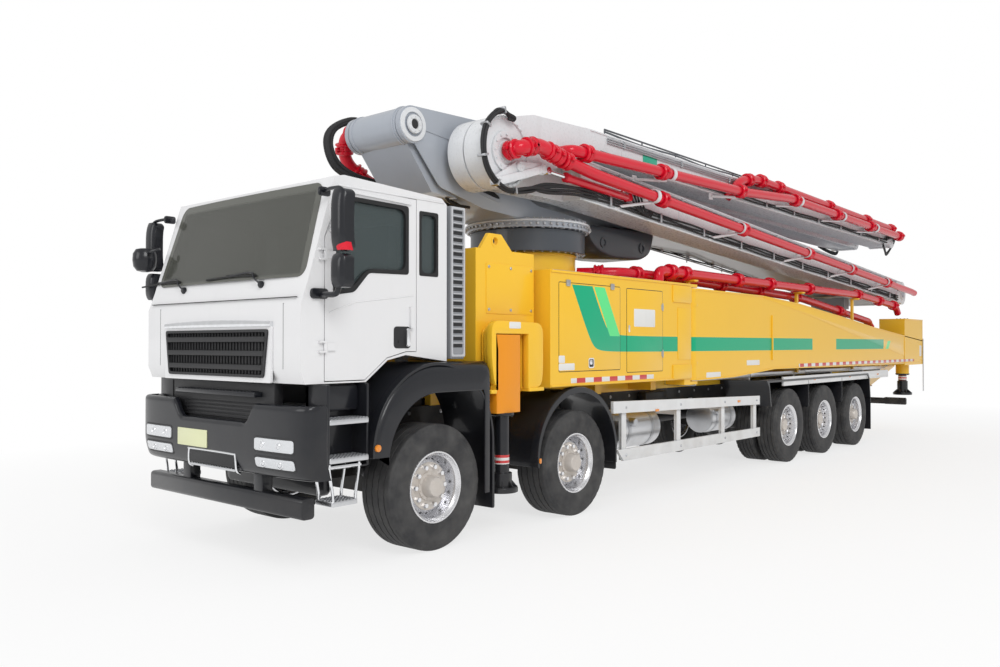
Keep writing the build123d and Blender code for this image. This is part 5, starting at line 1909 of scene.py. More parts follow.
# y of the outer pipes and of the two deck pipes, x of the slewing axis, y of the arms' left side
OUTER_Y, DECK_HIGH, DECK_LOW = 1.13, 1.02, 0.845
SLEW_X, ARM_SIDE = 3.65, 0.938
LINES = (
    PipeLine(
        "line_2", "arm_2",
        (
            (5.15, 0.945, 3.63), (5.15, OUTER_Y, 3.64), (4.86, OUTER_Y, 3.712),
            (4.48, OUTER_Y, 3.64), (3.9, OUTER_Y, 3.566), (-7.38, OUTER_Y, 2.82),
            (-7.56, OUTER_Y, 2.8),
        ),
        "pipe_2", 0.14,
        ((2, 0.75), (3, 0.1), (4, 0.125), (4, 0.315), (4, 0.52), (4, 0.69), (4, 0.86)), cast=(1, 2),
    ),
    PipeLine(
        "line_3", "arm_3",
        (
            (4.3, 0.944, 3.76), (4.3, OUTER_Y, 3.76), (0.3, OUTER_Y, 3.85), (-1.3, OUTER_Y, 3.96),
            (-6.73, OUTER_Y, 3.88),
        ),
        "pipe_3", 0.15,
        ((1, 0.06), (1, 0.45), (1, 0.97), (3, 0.03), (3, 0.35), (3, 0.66), (3, 0.97)),
    ),
    PipeLine(
        "line_3_upper", "arm_3",
        (
            (0.48, 0.96, 3.77), (0.42, 1.02, 3.86), (0.2, 1.02, 4.04), (-0.35, 1.02, 4.13),
            (-6.55, 1.02, 4.02),
        ),
        "", 0.16, ((2, 0.45), (3, 0.02), (3, 0.12), (3, 0.45), (3, 0.75), (3, 0.98)),
    ),
    PipeLine(
        "line_4", "arm_4", ((1.0, 0.36, 3.99), (-6.45, 0.36, 3.89)), "pipe_4", 0.1,
        ((0, 0.01), (0, 0.25), (0, 0.45), (0, 0.7), (0, 0.98)),
    ),
    PipeLine(
        "line_5", "arm_5", ((1.0, -0.54, 3.7), (-6.35, -0.54, 3.44)), "pipe_5", 0.1,
        ((0, 0.01), (0, 0.25), (0, 0.5), (0, 0.75), (0, 0.98)),
    ),
    PipeLine(
        "line_deck_high", "chassis",
        (
            (2.4, DECK_HIGH, 2.492), (2.4, DECK_HIGH, 2.64), (-4.65, DECK_HIGH, 2.64),
            (-6.7, DECK_HIGH, 2.505), (-6.85, DECK_HIGH, 2.36),
        ),
        "deck_pipes", 0.12,
        ((1, 0.04), (1, 0.09), (1, 0.3), (1, 0.45), (1, 0.66), (1, 0.98), (2, 0.5), (2, 0.93)),
    ),
    PipeLine(
        "line_deck_low", "chassis",
        (
            (3.215, 0.4, 2.59), (2.96, DECK_LOW, 2.59), (1.65, DECK_LOW, 2.59),
            (-2.333, DECK_LOW, 2.503), (-5.769, DECK_LOW, 2.17), (-6.1, 0.56, 1.9),
        ),
        "", 0.2,
        ((0, 0.5), (1, 0.25), (1, 0.75), (2, 0.3), (2, 0.6), (2, 0.95), (3, 0.5), (4, 0.3)),
    ),
    PipeLine(
        "line_arm_5_rise", "arm_5", ((1.0, -0.54, 3.7), (1.35, -0.54, 3.76), (1.52, -0.54, 3.8)),
        "", 0.15,
    ),
    PipeLine(
        "line_turret", "turret",
        (
            (5.56, -0.44, 3.78), (5.7, -0.56, 3.95), (5.72, -0.82, 3.96), (5.65, -0.9, 3.7),
            (5.35, -0.8, 3.48), (4.9, -0.5, 3.35),
        ),
        "", 0.14, ((1, 0.5), (2, 0.5), (3, 0.5)), 0.066,
    ),
)


@dataclass
class Section:
    """A boom arm's dressing on its flat sides and its top.

    Ends of the top and bottom edges are (x, z) at the front and the rear; sides
    are y low and y high; finer pieces ride on the arm.
    """

    number: int
    sides: tuple[float, float]
    top: tuple[tuple[float, float], tuple[float, float]]
    foot: tuple[tuple[float, float], tuple[float, float]]
    front_r: float
    rear_r: float
    slate: bool = False
    rail: bool = False
    hoses: int = 3
    outer: float = 1.0

    def edge(self, line: tuple, share: Array) -> Array:
        """Points (x, z) along an edge line at shares of its length."""
        a, b = np.asarray(line[0]), np.asarray(line[1])
        return a + (b - a) * np.asarray(share, float)[:, None]

    def build(self) -> None:
        """Flanges, ribs, hose runs with clips, pin covers, and a rail where there is one."""
        body, slot = f"arm_{self.number}", "boom_grey"
        metal = Finish.SLATE if self.slate else Finish.BOOM
        trims, clips, hoses = [], [], []
        for y, sign in ((self.sides[0], -1), (self.sides[1], 1)):
            for line, up in ((self.top, -1), (self.foot, 1)):
                a, b = line
                strip = [
                    (a[0], a[1]), (b[0], b[1]), (b[0], b[1] + up * 0.018),
                    (a[0], a[1] + up * 0.018),
                ]
                low, high = sorted((y - sign * 0.002, y + sign * 0.01))
                trims.append(slab(strip, low, high, "y", 0.003))
            shares = np.linspace(0.06, 0.94, 8)
            tops, feet = self.edge(self.top, shares), self.edge(self.foot, shares)
            for (x, z_top), (_, z_foot) in zip(tops, feet):
                low, high = sorted((y - sign * 0.002, y + sign * 0.005))
                trims.append(
                    panel(
                        (x - 0.012, low, z_foot + 0.02), (x + 0.012, high, z_top - 0.02), "y",
                        0.004, 0.002,
                    )
                )
        y = self.sides[1] if self.outer > 0 else self.sides[0]
        line = self.edge(self.foot, np.linspace(0.02, 0.97, 40))
        for k in range(self.hoses):
            level = line[:, 1] + 0.045 + 0.036 * k
            wobble = 0.006 * np.sin(np.arange(40) * (1.1 + 0.23 * k) + k)
            path = np.stack([line[:, 0], np.full(40, y + self.outer * 0.022), level + wobble], 1)
            hoses.append(tube(path, 0.0125, 8))
        for x, z in line[1::4]:
            low, high = sorted((y - self.outer * 0.002, y + self.outer * 0.04))
            clips.append(
                panel(
                    (x - 0.02, low, z + 0.022),
                    (x + 0.02, high, z + 0.062 + 0.036 * (self.hoses - 1)), "x", 0.006, 0.003,
                )
            )
        high = self.edge(self.top, np.linspace(0.03, 0.96, 30))
        pipes = [
            tube(
                np.stack([high[:, 0], np.full(30, y + self.outer * 0.016), high[:, 1] - drop], 1),
                0.0085, 8,
            )
            for drop in (0.045, 0.07, 0.095)
        ]
        near, far = sorted((y - self.outer * 0.002, y + self.outer * 0.03))
        straps = [
            panel((x - 0.012, near, z - 0.112), (x + 0.012, far, z - 0.028), "x", 0.006, 0.002)
            for x, z in high[1::4]
        ]
        caps = []
        for pin, radius in ((self.number, self.front_r), (self.number + 1, self.rear_r)):
            x, z = PINS[pin]
            for face, sign in ((self.sides[0], -1), (self.sides[1], 1)):
                if radius:
                    at = (x, face, z)
                    ring = [
                        (sign * -0.002, radius * 0.62), (sign * 0.012, radius * 0.6),
                        (sign * 0.014, radius * 0.4), (sign * -0.002, radius * 0.36),
                    ]
                    caps.append(hoop(ring, "y", at, 40))
                    caps.append(
                        bolt_ring(
                            (x, face + sign * 0.012, z), radius * 0.5, 8, "y", 0.011, sign * 0.01,
                        )
                    )
        put(f"{body}_trims", union(trims + caps), body, metal, slot)
        if hoses:
            put(f"{body}_hoses", union(hoses), body, Finish.HOSE, slot)
            put(f"{body}_clips", union(clips + straps), body, Finish.STEEL, slot)
            put(f"{body}_lines", union(pipes), body, Finish.STEEL, slot)
        if self.rail:
            shares = np.linspace(0.03, 0.72, 10)
            posts = self.edge(self.top, shares)
            middle = y - self.outer * 0.03
            bars = [
                tube(
                    [(x, middle, z - 0.01), (x, middle, z + 0.03), (x, middle, z + 0.068)], 0.008,
                    8,
                )
                for x, z in posts
            ]
            long = np.stack([posts[:, 0], np.full(10, middle), posts[:, 1] + 0.062], 1)
            cable = long - (0, 0, 0.035) + np.array([(0, 0, 0.01 * (-1) ** k) for k in range(10)])
            put(
                f"{body}_rail", union([*bars, tube(long, 0.011, 8), hose(cable, 4, 0.012, 8)]),
                body, Finish.GUARD_AND_SHADE, slot,
            )


SECTIONS = (
    Section(
        1, (-0.38, 0.38), ((2.15, 3.79), (-7.4, 3.002)), ((1.15, 3.23), (-7.4, 2.582)), 0.0, 0.24,
        True, False, 3, -1,
    ),
    Section(
        2, (0.5, 0.94), ((3.85, 3.768), (-7.4, 3.022)), ((3.85, 3.32), (-7.4, 2.592)), 0.235, 0.0,
        False, False, 3, 1,
    ),
    Section(
        3, (0.52, 0.94), ((3.7, 4.12), (-6.7, 4.051)), ((3.75, 3.812), (-6.7, 3.712)), 0.0, 0.2,
        False, True, 2, 1,
    ),
    Section(
        4, (-0.24, 0.24), ((2.1, 4.238), (-6.7, 4.061)), ((2.1, 3.852), (-6.7, 3.722)), 0.19, 0.2,
        False, False, 2, -1,
    ),
    Section(
        5, (-0.65, -0.43), ((1.25, 3.598), (-6.55, 3.331)), ((1.2, 3.3), (-6.55, 3.071)), 0.165,
        0.15, False, False, 2, -1,
    ),
    Section(
        6, (-0.87, -0.68), ((1.45, 3.568), (-6.55, 3.321)), ((1.45, 3.331), (-6.55, 3.081)), 0.135,
        0.125, False, False, 2, -1,
    ),
    Section(
        7, (-1.06, -0.9), ((1.45, 3.539), (-5.95, 3.424)), ((1.45, 3.358), (-5.95, 3.256)), 0.11,
        0.0, False, False, 2, -1,
    ),
)


@dataclass
class Ram:
    """A hydraulic cylinder: a coloured barrel with gland rings, a bright rod and two eyes."""

    name: str
    body: str
    start: tuple[float, float, float]
    end: tuple[float, float, float]
    radius: float
    share: float = 0.72
    finish: Finish = Finish.RED

    def build(self) -> None:
        """Makes the barrel and the rod."""
        a, b = np.asarray(self.start), np.asarray(self.end)
        length = float(np.linalg.norm(b - a))
        r, joint = self.radius, length * self.share
        barrel = spun(
            [
                (0.02, r * 0.9), (0.03, r), (joint - 0.06, r), (joint - 0.06, r * 1.14),
                (joint - 0.01, r * 1.14), (joint, r * 0.9),
            ],
            "x", (0, 0, 0), 28,
        )
        port = spun(
            [(-0.01, r * 0.25), (r * 1.5, r * 0.25), (r * 1.5, r * 0.15)], "z", (0.12, 0, 0), 10,
        )
        eye_a = spun([(-r * 0.8, r * 0.95), (r * 0.8, r * 0.95)], "y", (-0.01, 0, 0), 24)
        rod = spun([(joint - 0.02, r * 0.5), (length, r * 0.5)], "x", (0, 0, 0), 20)
        eye_b = spun([(-r * 0.7, r * 0.85), (r * 0.7, r * 0.85)], "y", (length, 0, 0), 24)
        put(
            self.name, union([barrel, port, eye_a]).aimed(b - a, a), self.body, self.finish,
            "pipe_red",
        )
        put(
            f"{self.name}_rod", union([rod, eye_b]).aimed(b - a, a), self.body, Finish.CHROME,
            "boom_grey",
        )


def link_plate(a: Point, b: Point, wide: float, low: float, high: float) -> Surface:
    """A flat link between two (x, z) pins: two half circles joined by straight sides.

    Args:
        a: One pin.
        b: The other pin.
        wide: Radius of the ends.
        low: Where it starts along y.
        high: Where it ends.

    Returns:
        A closed shell.
    """
    a, b = np.asarray(a, float), np.asarray(b, float)
    way = math.atan2(b[1] - a[1], b[0] - a[0])
    t = np.linspace(math.pi / 2, 3 * math.pi / 2, 13) + way
    first = a + wide * np.stack([np.cos(t), np.sin(t)], 1)
    second = b + wide * np.stack([np.cos(t + math.pi), np.sin(t + math.pi)], 1)
    return slab(np.vstack([first, second]), low, high, "y", 0.006)


def gear(name: str, shells: Iterable[Surface], body: str, finish: Finish) -> None:
    """Fixes shells, as one piece, to a body."""
    put(name, union(shells), body, finish, "boom_grey")


@dataclass
class BoomFittings:
    """The visible gear at the drum and at the big knuckle beside it."""

    def knuckle(self) -> None:
        """Face plate, bell crank, ram and hose loops at the joint of arms 2 and 3."""
        x, z = PINS[3]
        face = 0.945
        rings = [
            hoop(
                [
                    (face - 0.008, 0.35), (face + 0.012, 0.348), (face + 0.014, 0.322),
                    (face - 0.008, 0.318),
                ],
                "y", (x, 0, z), 72,
            ),
            hoop(
                [
                    (face - 0.004, 0.2), (face + 0.016, 0.198), (face + 0.018, 0.135),
                    (face - 0.004, 0.13),
                ],
                "y", (x, 0, z), 56,
            ),
            bolt_ring((x, face + 0.013, z), 0.335, 30, "y", 0.011, 0.01),
            bolt_ring((x, face + 0.017, z), 0.166, 12, "y", 0.013, 0.012),
        ]
        gear("knuckle_rings", rings, "arm_3", Finish.BOOM)
        cranks = [
            link_plate((5.31, 3.31), (4.99, 3.5), 0.062, 0.962, 0.99),
            link_plate((4.99, 3.5), (4.62, 3.53), 0.058, 0.962, 0.99),
            link_plate((5.31, 3.31), (4.62, 3.53), 0.04, 0.993, 1.008),
        ]
        for px, pz in ((5.31, 3.31), (4.99, 3.5), (4.62, 3.53)):
            cranks.append(
                spun([(0.93, 0.052), (1.012, 0.052), (1.022, 0.044)], "y", (px, 0, pz), 24)
            )
            cranks.append(bolt_ring((px, 1.02, pz), 0.028, 4, "y", 0.008, 0.007, turn=45))
        gear("knuckle_cranks", cranks, "arm_2", Finish.BOOM)
        Ram("knuckle_ram", "arm_2", (3.05, 0.998, 3.44), (4.56, 0.998, 3.52), 0.046, 0.8).build()
        loops = []
        for k, (radius, y, first, last) in enumerate(
            (
                (0.378, 0.99, 76, -118), (0.384, 1.02, 72, -122), (0.402, 1.002, 68, -112),
                (0.372, 0.976, 80, -105),
            )
        ):
            a = np.radians(np.linspace(first, last, 44))
            ring = np.stack(
                [x + radius * np.cos(a), y + 0.004 * np.sin(5 * a + k), z + radius * np.sin(a)], 1,
            )
            drop = 3.35 + 0.036 * min(k, 2)
            lead = [
                ring[-1] + (-0.16, -0.004, 0.015), (4.55, 0.992 - 0.004 * k, 3.3 + 0.03 * k),
                (4.05, 0.975, drop), (3.62, 0.973, drop),
            ]
            begin = [(x - 0.02 * k, 0.99, z + 0.3), (x - 0.02 * k, 0.994 + 0.006 * k, z + 0.335)]
            loops.append(hose(np.vstack([begin, ring[::4], lead]), 5, 0.0165, 10))
        gear("knuckle_hoses", loops, "arm_2", Finish.HOSE)
        straps = []
        for a in (75, 30, -15, -60, -100):
            c, s = math.cos(math.radians(a)), math.sin(math.radians(a))
            straps.append(
                panel(
                    (-0.012, 0.945, -0.035), (0.012, 1.04, 0.035), "x",
                ).turned("y", 90 - a).moved((x + 0.388 * c, 0, z + 0.388 * s))
            )
        gear("knuckle_straps", straps, "arm_2", Finish.STEEL)

    def holders(self) -> None:
        """Saddles, struts and gussets that carry the outer pipes off the sides of arms 2 and 3."""
        rows = {
            "arm_2": (
                [(3.9 - 11.28 * s, 3.566 - 0.746 * s) for s in (0.1, 0.3, 0.505, 0.675, 0.845)],
                -0.17,
            ),
            "arm_3": (
                [(2.4, 3.803), (0.5, 3.844), (-1.5, 3.958), (-3.35, 3.929), (-5.05, 3.905)], -0.11,
            )
        }
        for body, (spots, drop) in rows.items():
            shells = []
            for x, z in spots:
                shells.append(flat_ring(-0.03, 0.03, 0.071, 0.083, "x", (x - 0.1, 1.13, z), 28))
                shells.append(panel((x - 0.13, ARM_SIDE, z - 0.02), (x - 0.07, 1.062, z + 0.02)))
                shells.append(
                    panel(
                        (x - 0.17, ARM_SIDE, z - 0.07), (x - 0.03, 0.95, z + 0.07), "y", 0.02,
                        0.003,
                    )
                )
                shells.append(
                    tube([(x + 0.42, 0.944, z + drop), (x - 0.08, 1.08, z - 0.075)], 0.019, 12)
                )
                shells.append(
                    panel(
                        (x + 0.37, ARM_SIDE, z + drop - 0.045), (x + 0.47, 0.952, z + drop + 0.045),
                        "y", 0.015, 0.003,
                    )
                )
            gear(f"{body}_pipe_holders", shells, body, Finish.BOOM)
        loops = [
            hose(
                [
                    (2.95 - 0.05 * k, 0.946, 3.53), (2.96 - 0.05 * k, 0.985 + 0.01 * k, 3.5),
                    (2.9 - 0.07 * k, 1.01, 3.36 - 0.01 * k),
                    (2.7 - 0.05 * k, 0.985, 3.3 - 0.012 * k), (2.52 - 0.03 * k, 0.96, 3.335),
                ],
                6, 0.0115, 8,
            )
            for k in range(4)
        ]
        gear("arm_2_side_loops", loops, "arm_2", Finish.HOSE)
        block = panel((2.72, ARM_SIDE, 3.5), (3.02, 0.972, 3.57)) + bolts(
            row_of((2.75, 0.972, 3.535), (2.99, 0.972, 3.535), 5), "y", 0.01, 0.012,
        )
        gear("arm_2_valve_block", [block], "arm_2", Finish.STEEL)

    def drum(self) -> None:
        """Ear rings, the pin's bore, end bands, and the hose loop at the drum's right end."""
        x, z = PINS[1]
        ears, bore_shades = [], []
        for sign in (1, -1):
            face = sign * 0.4205
            ears.append(
                hoop(
                    [
                        (face - sign * 0.022, 0.165), (face - sign * 0.008, 0.162),
                        (face - sign * 0.006, 0.118), (face - sign * 0.022, 0.115),
                    ],
                    "y", (x, 0, z), 56,
                )
            )
            ears.append(
                hoop(
                    [
                        (face - sign * 0.004, 0.092), (face + sign * 0.014, 0.088),
                        (face + sign * 0.016, 0.05), (face - sign * 0.004, 0.044),
                    ],
                    "y", (x, 0, z), 48,
                )
            )
            ears.append(bolt_ring((x, face + sign * 0.014, z), 0.069, 8, "y", 0.008, sign * 0.008))
            # a dark disc in each pin bore, a painted shade of its hollow
            bore_shades.append(
                spun(
                    [(face - sign * 0.002, 0.045), (face + sign * 0.006, 0.045)], "y", (x, 0, z),
                    32,
                )
            )
        bands = [
            hoop(
                [(y - 0.012, 0.178), (y - 0.01, 0.188), (y + 0.01, 0.188), (y + 0.012, 0.178)], "y",
                (x, 0, z), 64,
            )
            for y in (-0.3, 0.3)
        ]
        gear("drum_ears", ears, "arm_1", Finish.BOOM)
        gear("drum_bore_shades", bore_shades, "arm_1", Finish.DARK)
        gear("drum_bands", bands, "turret", Finish.SLATE)
        routes = []
        for k in range(4):
            dy, dr = -0.035 * (k % 2), 0.034 * (k // 2)
            route = [
                (5.3, -0.47 + dy, 3.7 + dr), (5.58, -0.48 + dy, 3.93 + dr),
                (5.84, -0.5 + dy, 4.02 + dr), (6.05 + dr, -0.54 + dy, 3.93),
                (6.1 + dr, -0.56 + dy, 3.76), (6.0 + dr, -0.55 + dy, 3.58 - dr),
                (5.78, -0.52 + dy, 3.48 - dr), (5.45, -0.48 + dy, 3.44 - dr),
                (5.1, -0.45 + dy, 3.4 - dr),
            ]
            routes.append(hose(route, 7, 0.026, 12))
        gear("drum_hoses", routes, "turret", Finish.HOSE)
        tangle = []
        for k in range(9):
            y = -0.28 + 0.07 * k
            lift = 0.03 * math.sin(2.1 * k)
            route = [
                (5.6, y, 3.42 + lift), (5.42, y + 0.02, 3.3 - lift), (5.2, y - 0.02, 3.22 + lift),
                (4.95, y, 3.175),
            ]
            tangle.append(hose(route, 6, 0.015, 8))
        gear("turret_hoses", tangle, "turret", Finish.HOSE)

    def turret(self) -> None:
        """Bolt circles, the lip over them, side stiffeners and their oval hand holes."""
        heads = [
            bolt_ring((SLEW_X, 0, 3.129), 0.69, 48, "z", 0.014, 0.02),
            bolt_ring((SLEW_X, 0, 3.129), 0.64, 40, "z", 0.014, 0.02, turn=4),
            bolt_ring((SLEW_X, 0, 3.041), 0.69, 48, "z", 0.012, -0.01),
        ]
        heads += [
            spun(
                [(0.714, 0.016), (0.742, 0.016), (0.746, 0.012)], "x", (0, 0, 0), 6,
            ).turned("z", 6 * k).moved((SLEW_X, 0, 3.075))
            for k in range(60)
        ]
        lip = hoop(
            [(3.1, 0.716), (3.104, 0.734), (3.118, 0.734), (3.131, 0.716)], "z", (SLEW_X, 0, 0), 72,
        )
        gear("turret_bolts", heads, "turret", Finish.STEEL)
        gear("turret_lip", [lip], "turret", Finish.BOOM)
        plates = []
        for sign in (1, -1):
            low, high = sorted((sign * 0.378, sign * 0.394))
            cheek = [
                (5.55, 3.845), (5.86, 3.8), (5.86, 3.7), (5.5, 3.3), (4.86, 3.16), (4.36, 3.135),
                (3.3, 3.135), (3.1, 3.24), (3.95, 3.3), (5.02, 3.66),
            ]
            plates.append(slab(filleted(cheek, 0.05), low, high, "y", 0.005))
            hand_hole = [(4.55, 3.24), (5.2, 3.36), (5.16, 3.52), (4.6, 3.36)]
            outer, inner = filleted(hand_hole, 0.12), filleted(hand_hole, 0.12, inset=0.03)
            plates.append(rim_of(outer, inner, low, high + sign * 0.01))
        gear("turret_cheeks", plates, "turret", Finish.SLATE)
        # the plates are not cut: dark sheets inside the hand holes' rims are a painted shade of the
        # turret's inside
        holes = [
            slab(
                filleted([(4.58, 3.26), (5.17, 3.37), (5.13, 3.49), (4.63, 3.34)], 0.1),
                *sorted((sign * 0.38, sign * 0.3955)), "y", 0.001,
            )
            for sign in (1, -1)
        ]
        gear("turret_holes", holes, "turret", Finish.DARK)

    def build(self) -> None:
        """Makes every line, arm dressing and fitting."""
        for line in LINES:
            line.build()
        for section in SECTIONS:
            section.build()
        self.knuckle()
        self.holders()
        self.drum()
        self.turret()
        sign = panel((2.3, ARM_SIDE, 3.88), (2.62, 0.944, 4.02), "y", 0.01, 0.001)
        gear("blank_sign", [sign], "arm_3", Finish.SIGN)
        # the knee under arm 1 is painted near black, a painted shade of where it sits below the arm
        knee = [
            (2.86, 3.22), (2.82, 3.06), (2.62, 2.91), (2.3, 2.845), (1.62, 2.865), (1.4, 2.96),
            (1.28, 3.25),
        ]
        cast = slab(filleted(knee, 0.1), -0.3, 0.3, "y", 0.03)
        rings = [
            hoop(
                [(s * 0.298, 0.07), (s * 0.312, 0.068), (s * 0.312, 0.04), (s * 0.298, 0.036)], "y",
                (x, 0, 3.02), 28,
            )
            for s in (-1, 1) for x in (1.62, 2.52)
        ]
        gear("arm_1_knee_painted_shade", [cast, *rings], "arm_1", Finish.GUARD_AND_SHADE)
        for body, base in (
            ("arm_2", (-7.0, 0.985, 2.84)), ("arm_3", (-6.28, 0.985, 3.8)),
            ("arm_4", (-6.3, -0.29, 3.88)),
        ):
            s = 1 if base[1] > 0 else -1
            ways = [
                [
                    (0, 0, 0.03 * k), (-0.3, 0, 0.06 + 0.02 * k),
                    (-0.52 - 0.02 * k, -0.02 * s, 0.03), (-0.6 - 0.01 * k, -0.1 * s, -0.1),
                    (-0.42, -0.13 * s, -0.22 - 0.02 * k), (-0.1, -0.06 * s, -0.18 - 0.02 * k),
                    (0.2, 0.0, -0.1 - 0.02 * k),
                ]
                for k in range(3)
            ]
            gear(
                f"{body}_end_hoses", (hose(np.asarray(w) + base, 6, 0.016, 8) for w in ways), body,
                Finish.HOSE,
            )
        outlet = [
            hoop(
                [(x - 0.012, 0.068), (x - 0.01, 0.084), (x + 0.01, 0.084), (x + 0.012, 0.068)], "x",
                (0, -0.98, 3.34), 36,
            )
            for x in (-6.306, -6.03)
        ]
        put("outlet_rings", union(outlet), "arm_7", Finish.RED, "pipe_red")


# ---- flanks ---------------------------------------------------------------------------------
# outer faces of the side boxes, the rear beams and the front housing, and how far plates sink in
BOX_FACE, BEAM_FACE, HOUSING_FACE = 1.22, 1.23, 1.06
SHIFT = 0.001
REAR_JACK = (-7.2, 1.0)


def fit(name: str, shell: Surface, node: str, finish: Finish) -> None:
    """Fixes a piece to the body of a CAD node."""
    put(name, shell, body_with(node), finish, slot_of(node))


def fit_both(name: str, shells: Iterable[Surface], node: str, finish: Finish) -> None:
    """Fixes left shells and their mirror images, as one piece, to a CAD node's body."""
    fit(name, both(union(shells)), node, finish)


def fit_pair(name: str, shell: Surface, node: str, finish: Finish) -> None:
    """Fixes a left piece and its mirror image to the left and right nodes of a pair."""
    fit(f"{name}_left", shell, f"{node}_left", finish)
    fit(f"{name}_right", shell.mirrored(), f"{node}_right", finish)


def plate_on(
    face: float, x: Point, z: Point, thick: float = 0.004, corner: float = 0.012,
) -> Surface:
    """A thin plate lying on an upright face, between two x and two z places."""
    return panel(
        (x[0], face - SHIFT, z[0]), (x[1], face + thick, z[1]), "y", corner,
        min(0.002, thick * 0.4),
    )


def seam_round(face: float, x: Point, z: Point, wide: float = 0.007) -> Surface:
    """The dark gap round a door: a narrow flat ring.

    Args:
        face: Where the face stands along y.
        x: The door's two sides.
        z: Its foot and top.
        wide: The seam's width.

    Returns:
        A flat ring.
    """
    outer = rounded((x[0] - wide, z[0] - wide), (x[1] + wide, z[1] + wide), 0.018)
    inner = rounded((x[0], z[0]), (x[1], z[1]), 0.012)
    return rim_of(outer, inner, face - SHIFT, face + 0.0012, "y")


def screws(
    face: float, corners: Iterable[Point], radius: float = 0.011, tall: float = 0.006,
) -> Surface:
    """Screw heads on an upright face."""
    return bolts([(x, face, z) for x, z in corners], "y", radius, tall)


@dataclass
class SideBoxes:
    """Doors, hinges, latches, blank stickers and tape on the two boxes before the pivots."""

    doors: tuple[tuple[Point, Point], ...] = (
        ((3.552, 4.648), (1.475, 2.368)), ((2.652, 3.412), (1.44, 2.362)),
    )

    def build(self) -> None:
        """Makes both boxes' fittings."""
        face, node = BOX_FACE, "side_boxes"
        fit_both(
            "box_doors", (plate_on(face, x, z, 0.003) for x, z in self.doors), node, Finish.FLANK,
        )
        fit_both("box_seams", (seam_round(face, x, z) for x, z in self.doors), node, Finish.DARK)
        rims = [
            slab(
                filleted([(1.975, 2.462), (4.785, 2.462), (4.785, 2.486), (1.975, 2.486)], 0.006),
                face - SHIFT, face + 0.012,
            ),
            plate_on(face, (1.978, 2.42), (2.25, 2.455), 0.014, 0.02),
            plate_on(face, (1.978, 2.42), (1.33, 1.505), 0.014, 0.02),
            plate_on(face, (1.978, 2.3), (1.56, 2.19), 0.006, 0.02),
            plate_on(face, (2.02, 4.785), (1.325, 1.345), 0.008, 0.004),
        ]
        fit_both("box_rims", rims, node, Finish.YELLOW)
        hinges = [
            plate_on(face, (x - 0.035, x + 0.035), (2.335, 2.4), 0.016) + bolts(
                [(x + d, face + 0.016, 2.35) for d in (-0.018, 0.018)], "y", 0.006, 0.004,
            )
            for x in (4.505, 3.71)
        ]
        pins = [
            spun([(z - 0.045, 0.009), (z + 0.045, 0.009)], "z", (2.655, face + 0.006, 0), 12)
            for z in (2.181, 1.638)
        ]
        pins += [
            plate_on(face, (2.63, 2.68), (z - 0.03, z + 0.03), 0.006, 0.004)
            for z in (2.181, 1.638)
        ]
        fit_both("box_hinges", hinges + pins, node, Finish.STEEL)
        latch = rim_of(
            rounded((4.05, 1.5), (4.15, 1.605), 0.02),
            rounded((4.062, 1.512), (4.138, 1.593), 0.014), face, face + 0.008,
        )
        grips = latch + plate_on(
            face, (4.078, 4.122), (1.535, 1.588), 0.007,
        ) + plate_on(face, (3.355, 3.385), (1.88, 1.96), 0.008)
        fit_both("box_latches", [grips], node, Finish.CHROME)
        fit_both(
            "latch_wells", [plate_on(face, (4.06, 4.14), (1.51, 1.595), 0.0035)], node, Finish.DARK,
        )
        stickers = [
            plate_on(face, (2.82, 3.27), (1.945, 2.145), 0.004),
            plate_on(face, (4.39, 4.655), (1.485, 1.555), 0.004),
            plate_on(face, (4.555, 4.655), (1.56, 1.635), 0.004),
        ]
        fit_both("box_stickers", stickers, node, Finish.STICKER)
        fit_both(
            "box_tape", [plate_on(face, (2.85, 4.45), (1.352, 1.402), 0.0015, 0.004)], node,
            Finish.TAPE,
        )
        lids = [
            panel((x0, 0.64, 2.489), (x1, 1.19, 2.497), "z", 0.02, 0.003)
            for x0, x1 in ((2.62, 3.5), (3.62, 4.7))
        ]
        fit_both("box_lids", lids, node, Finish.ALUMINIUM)


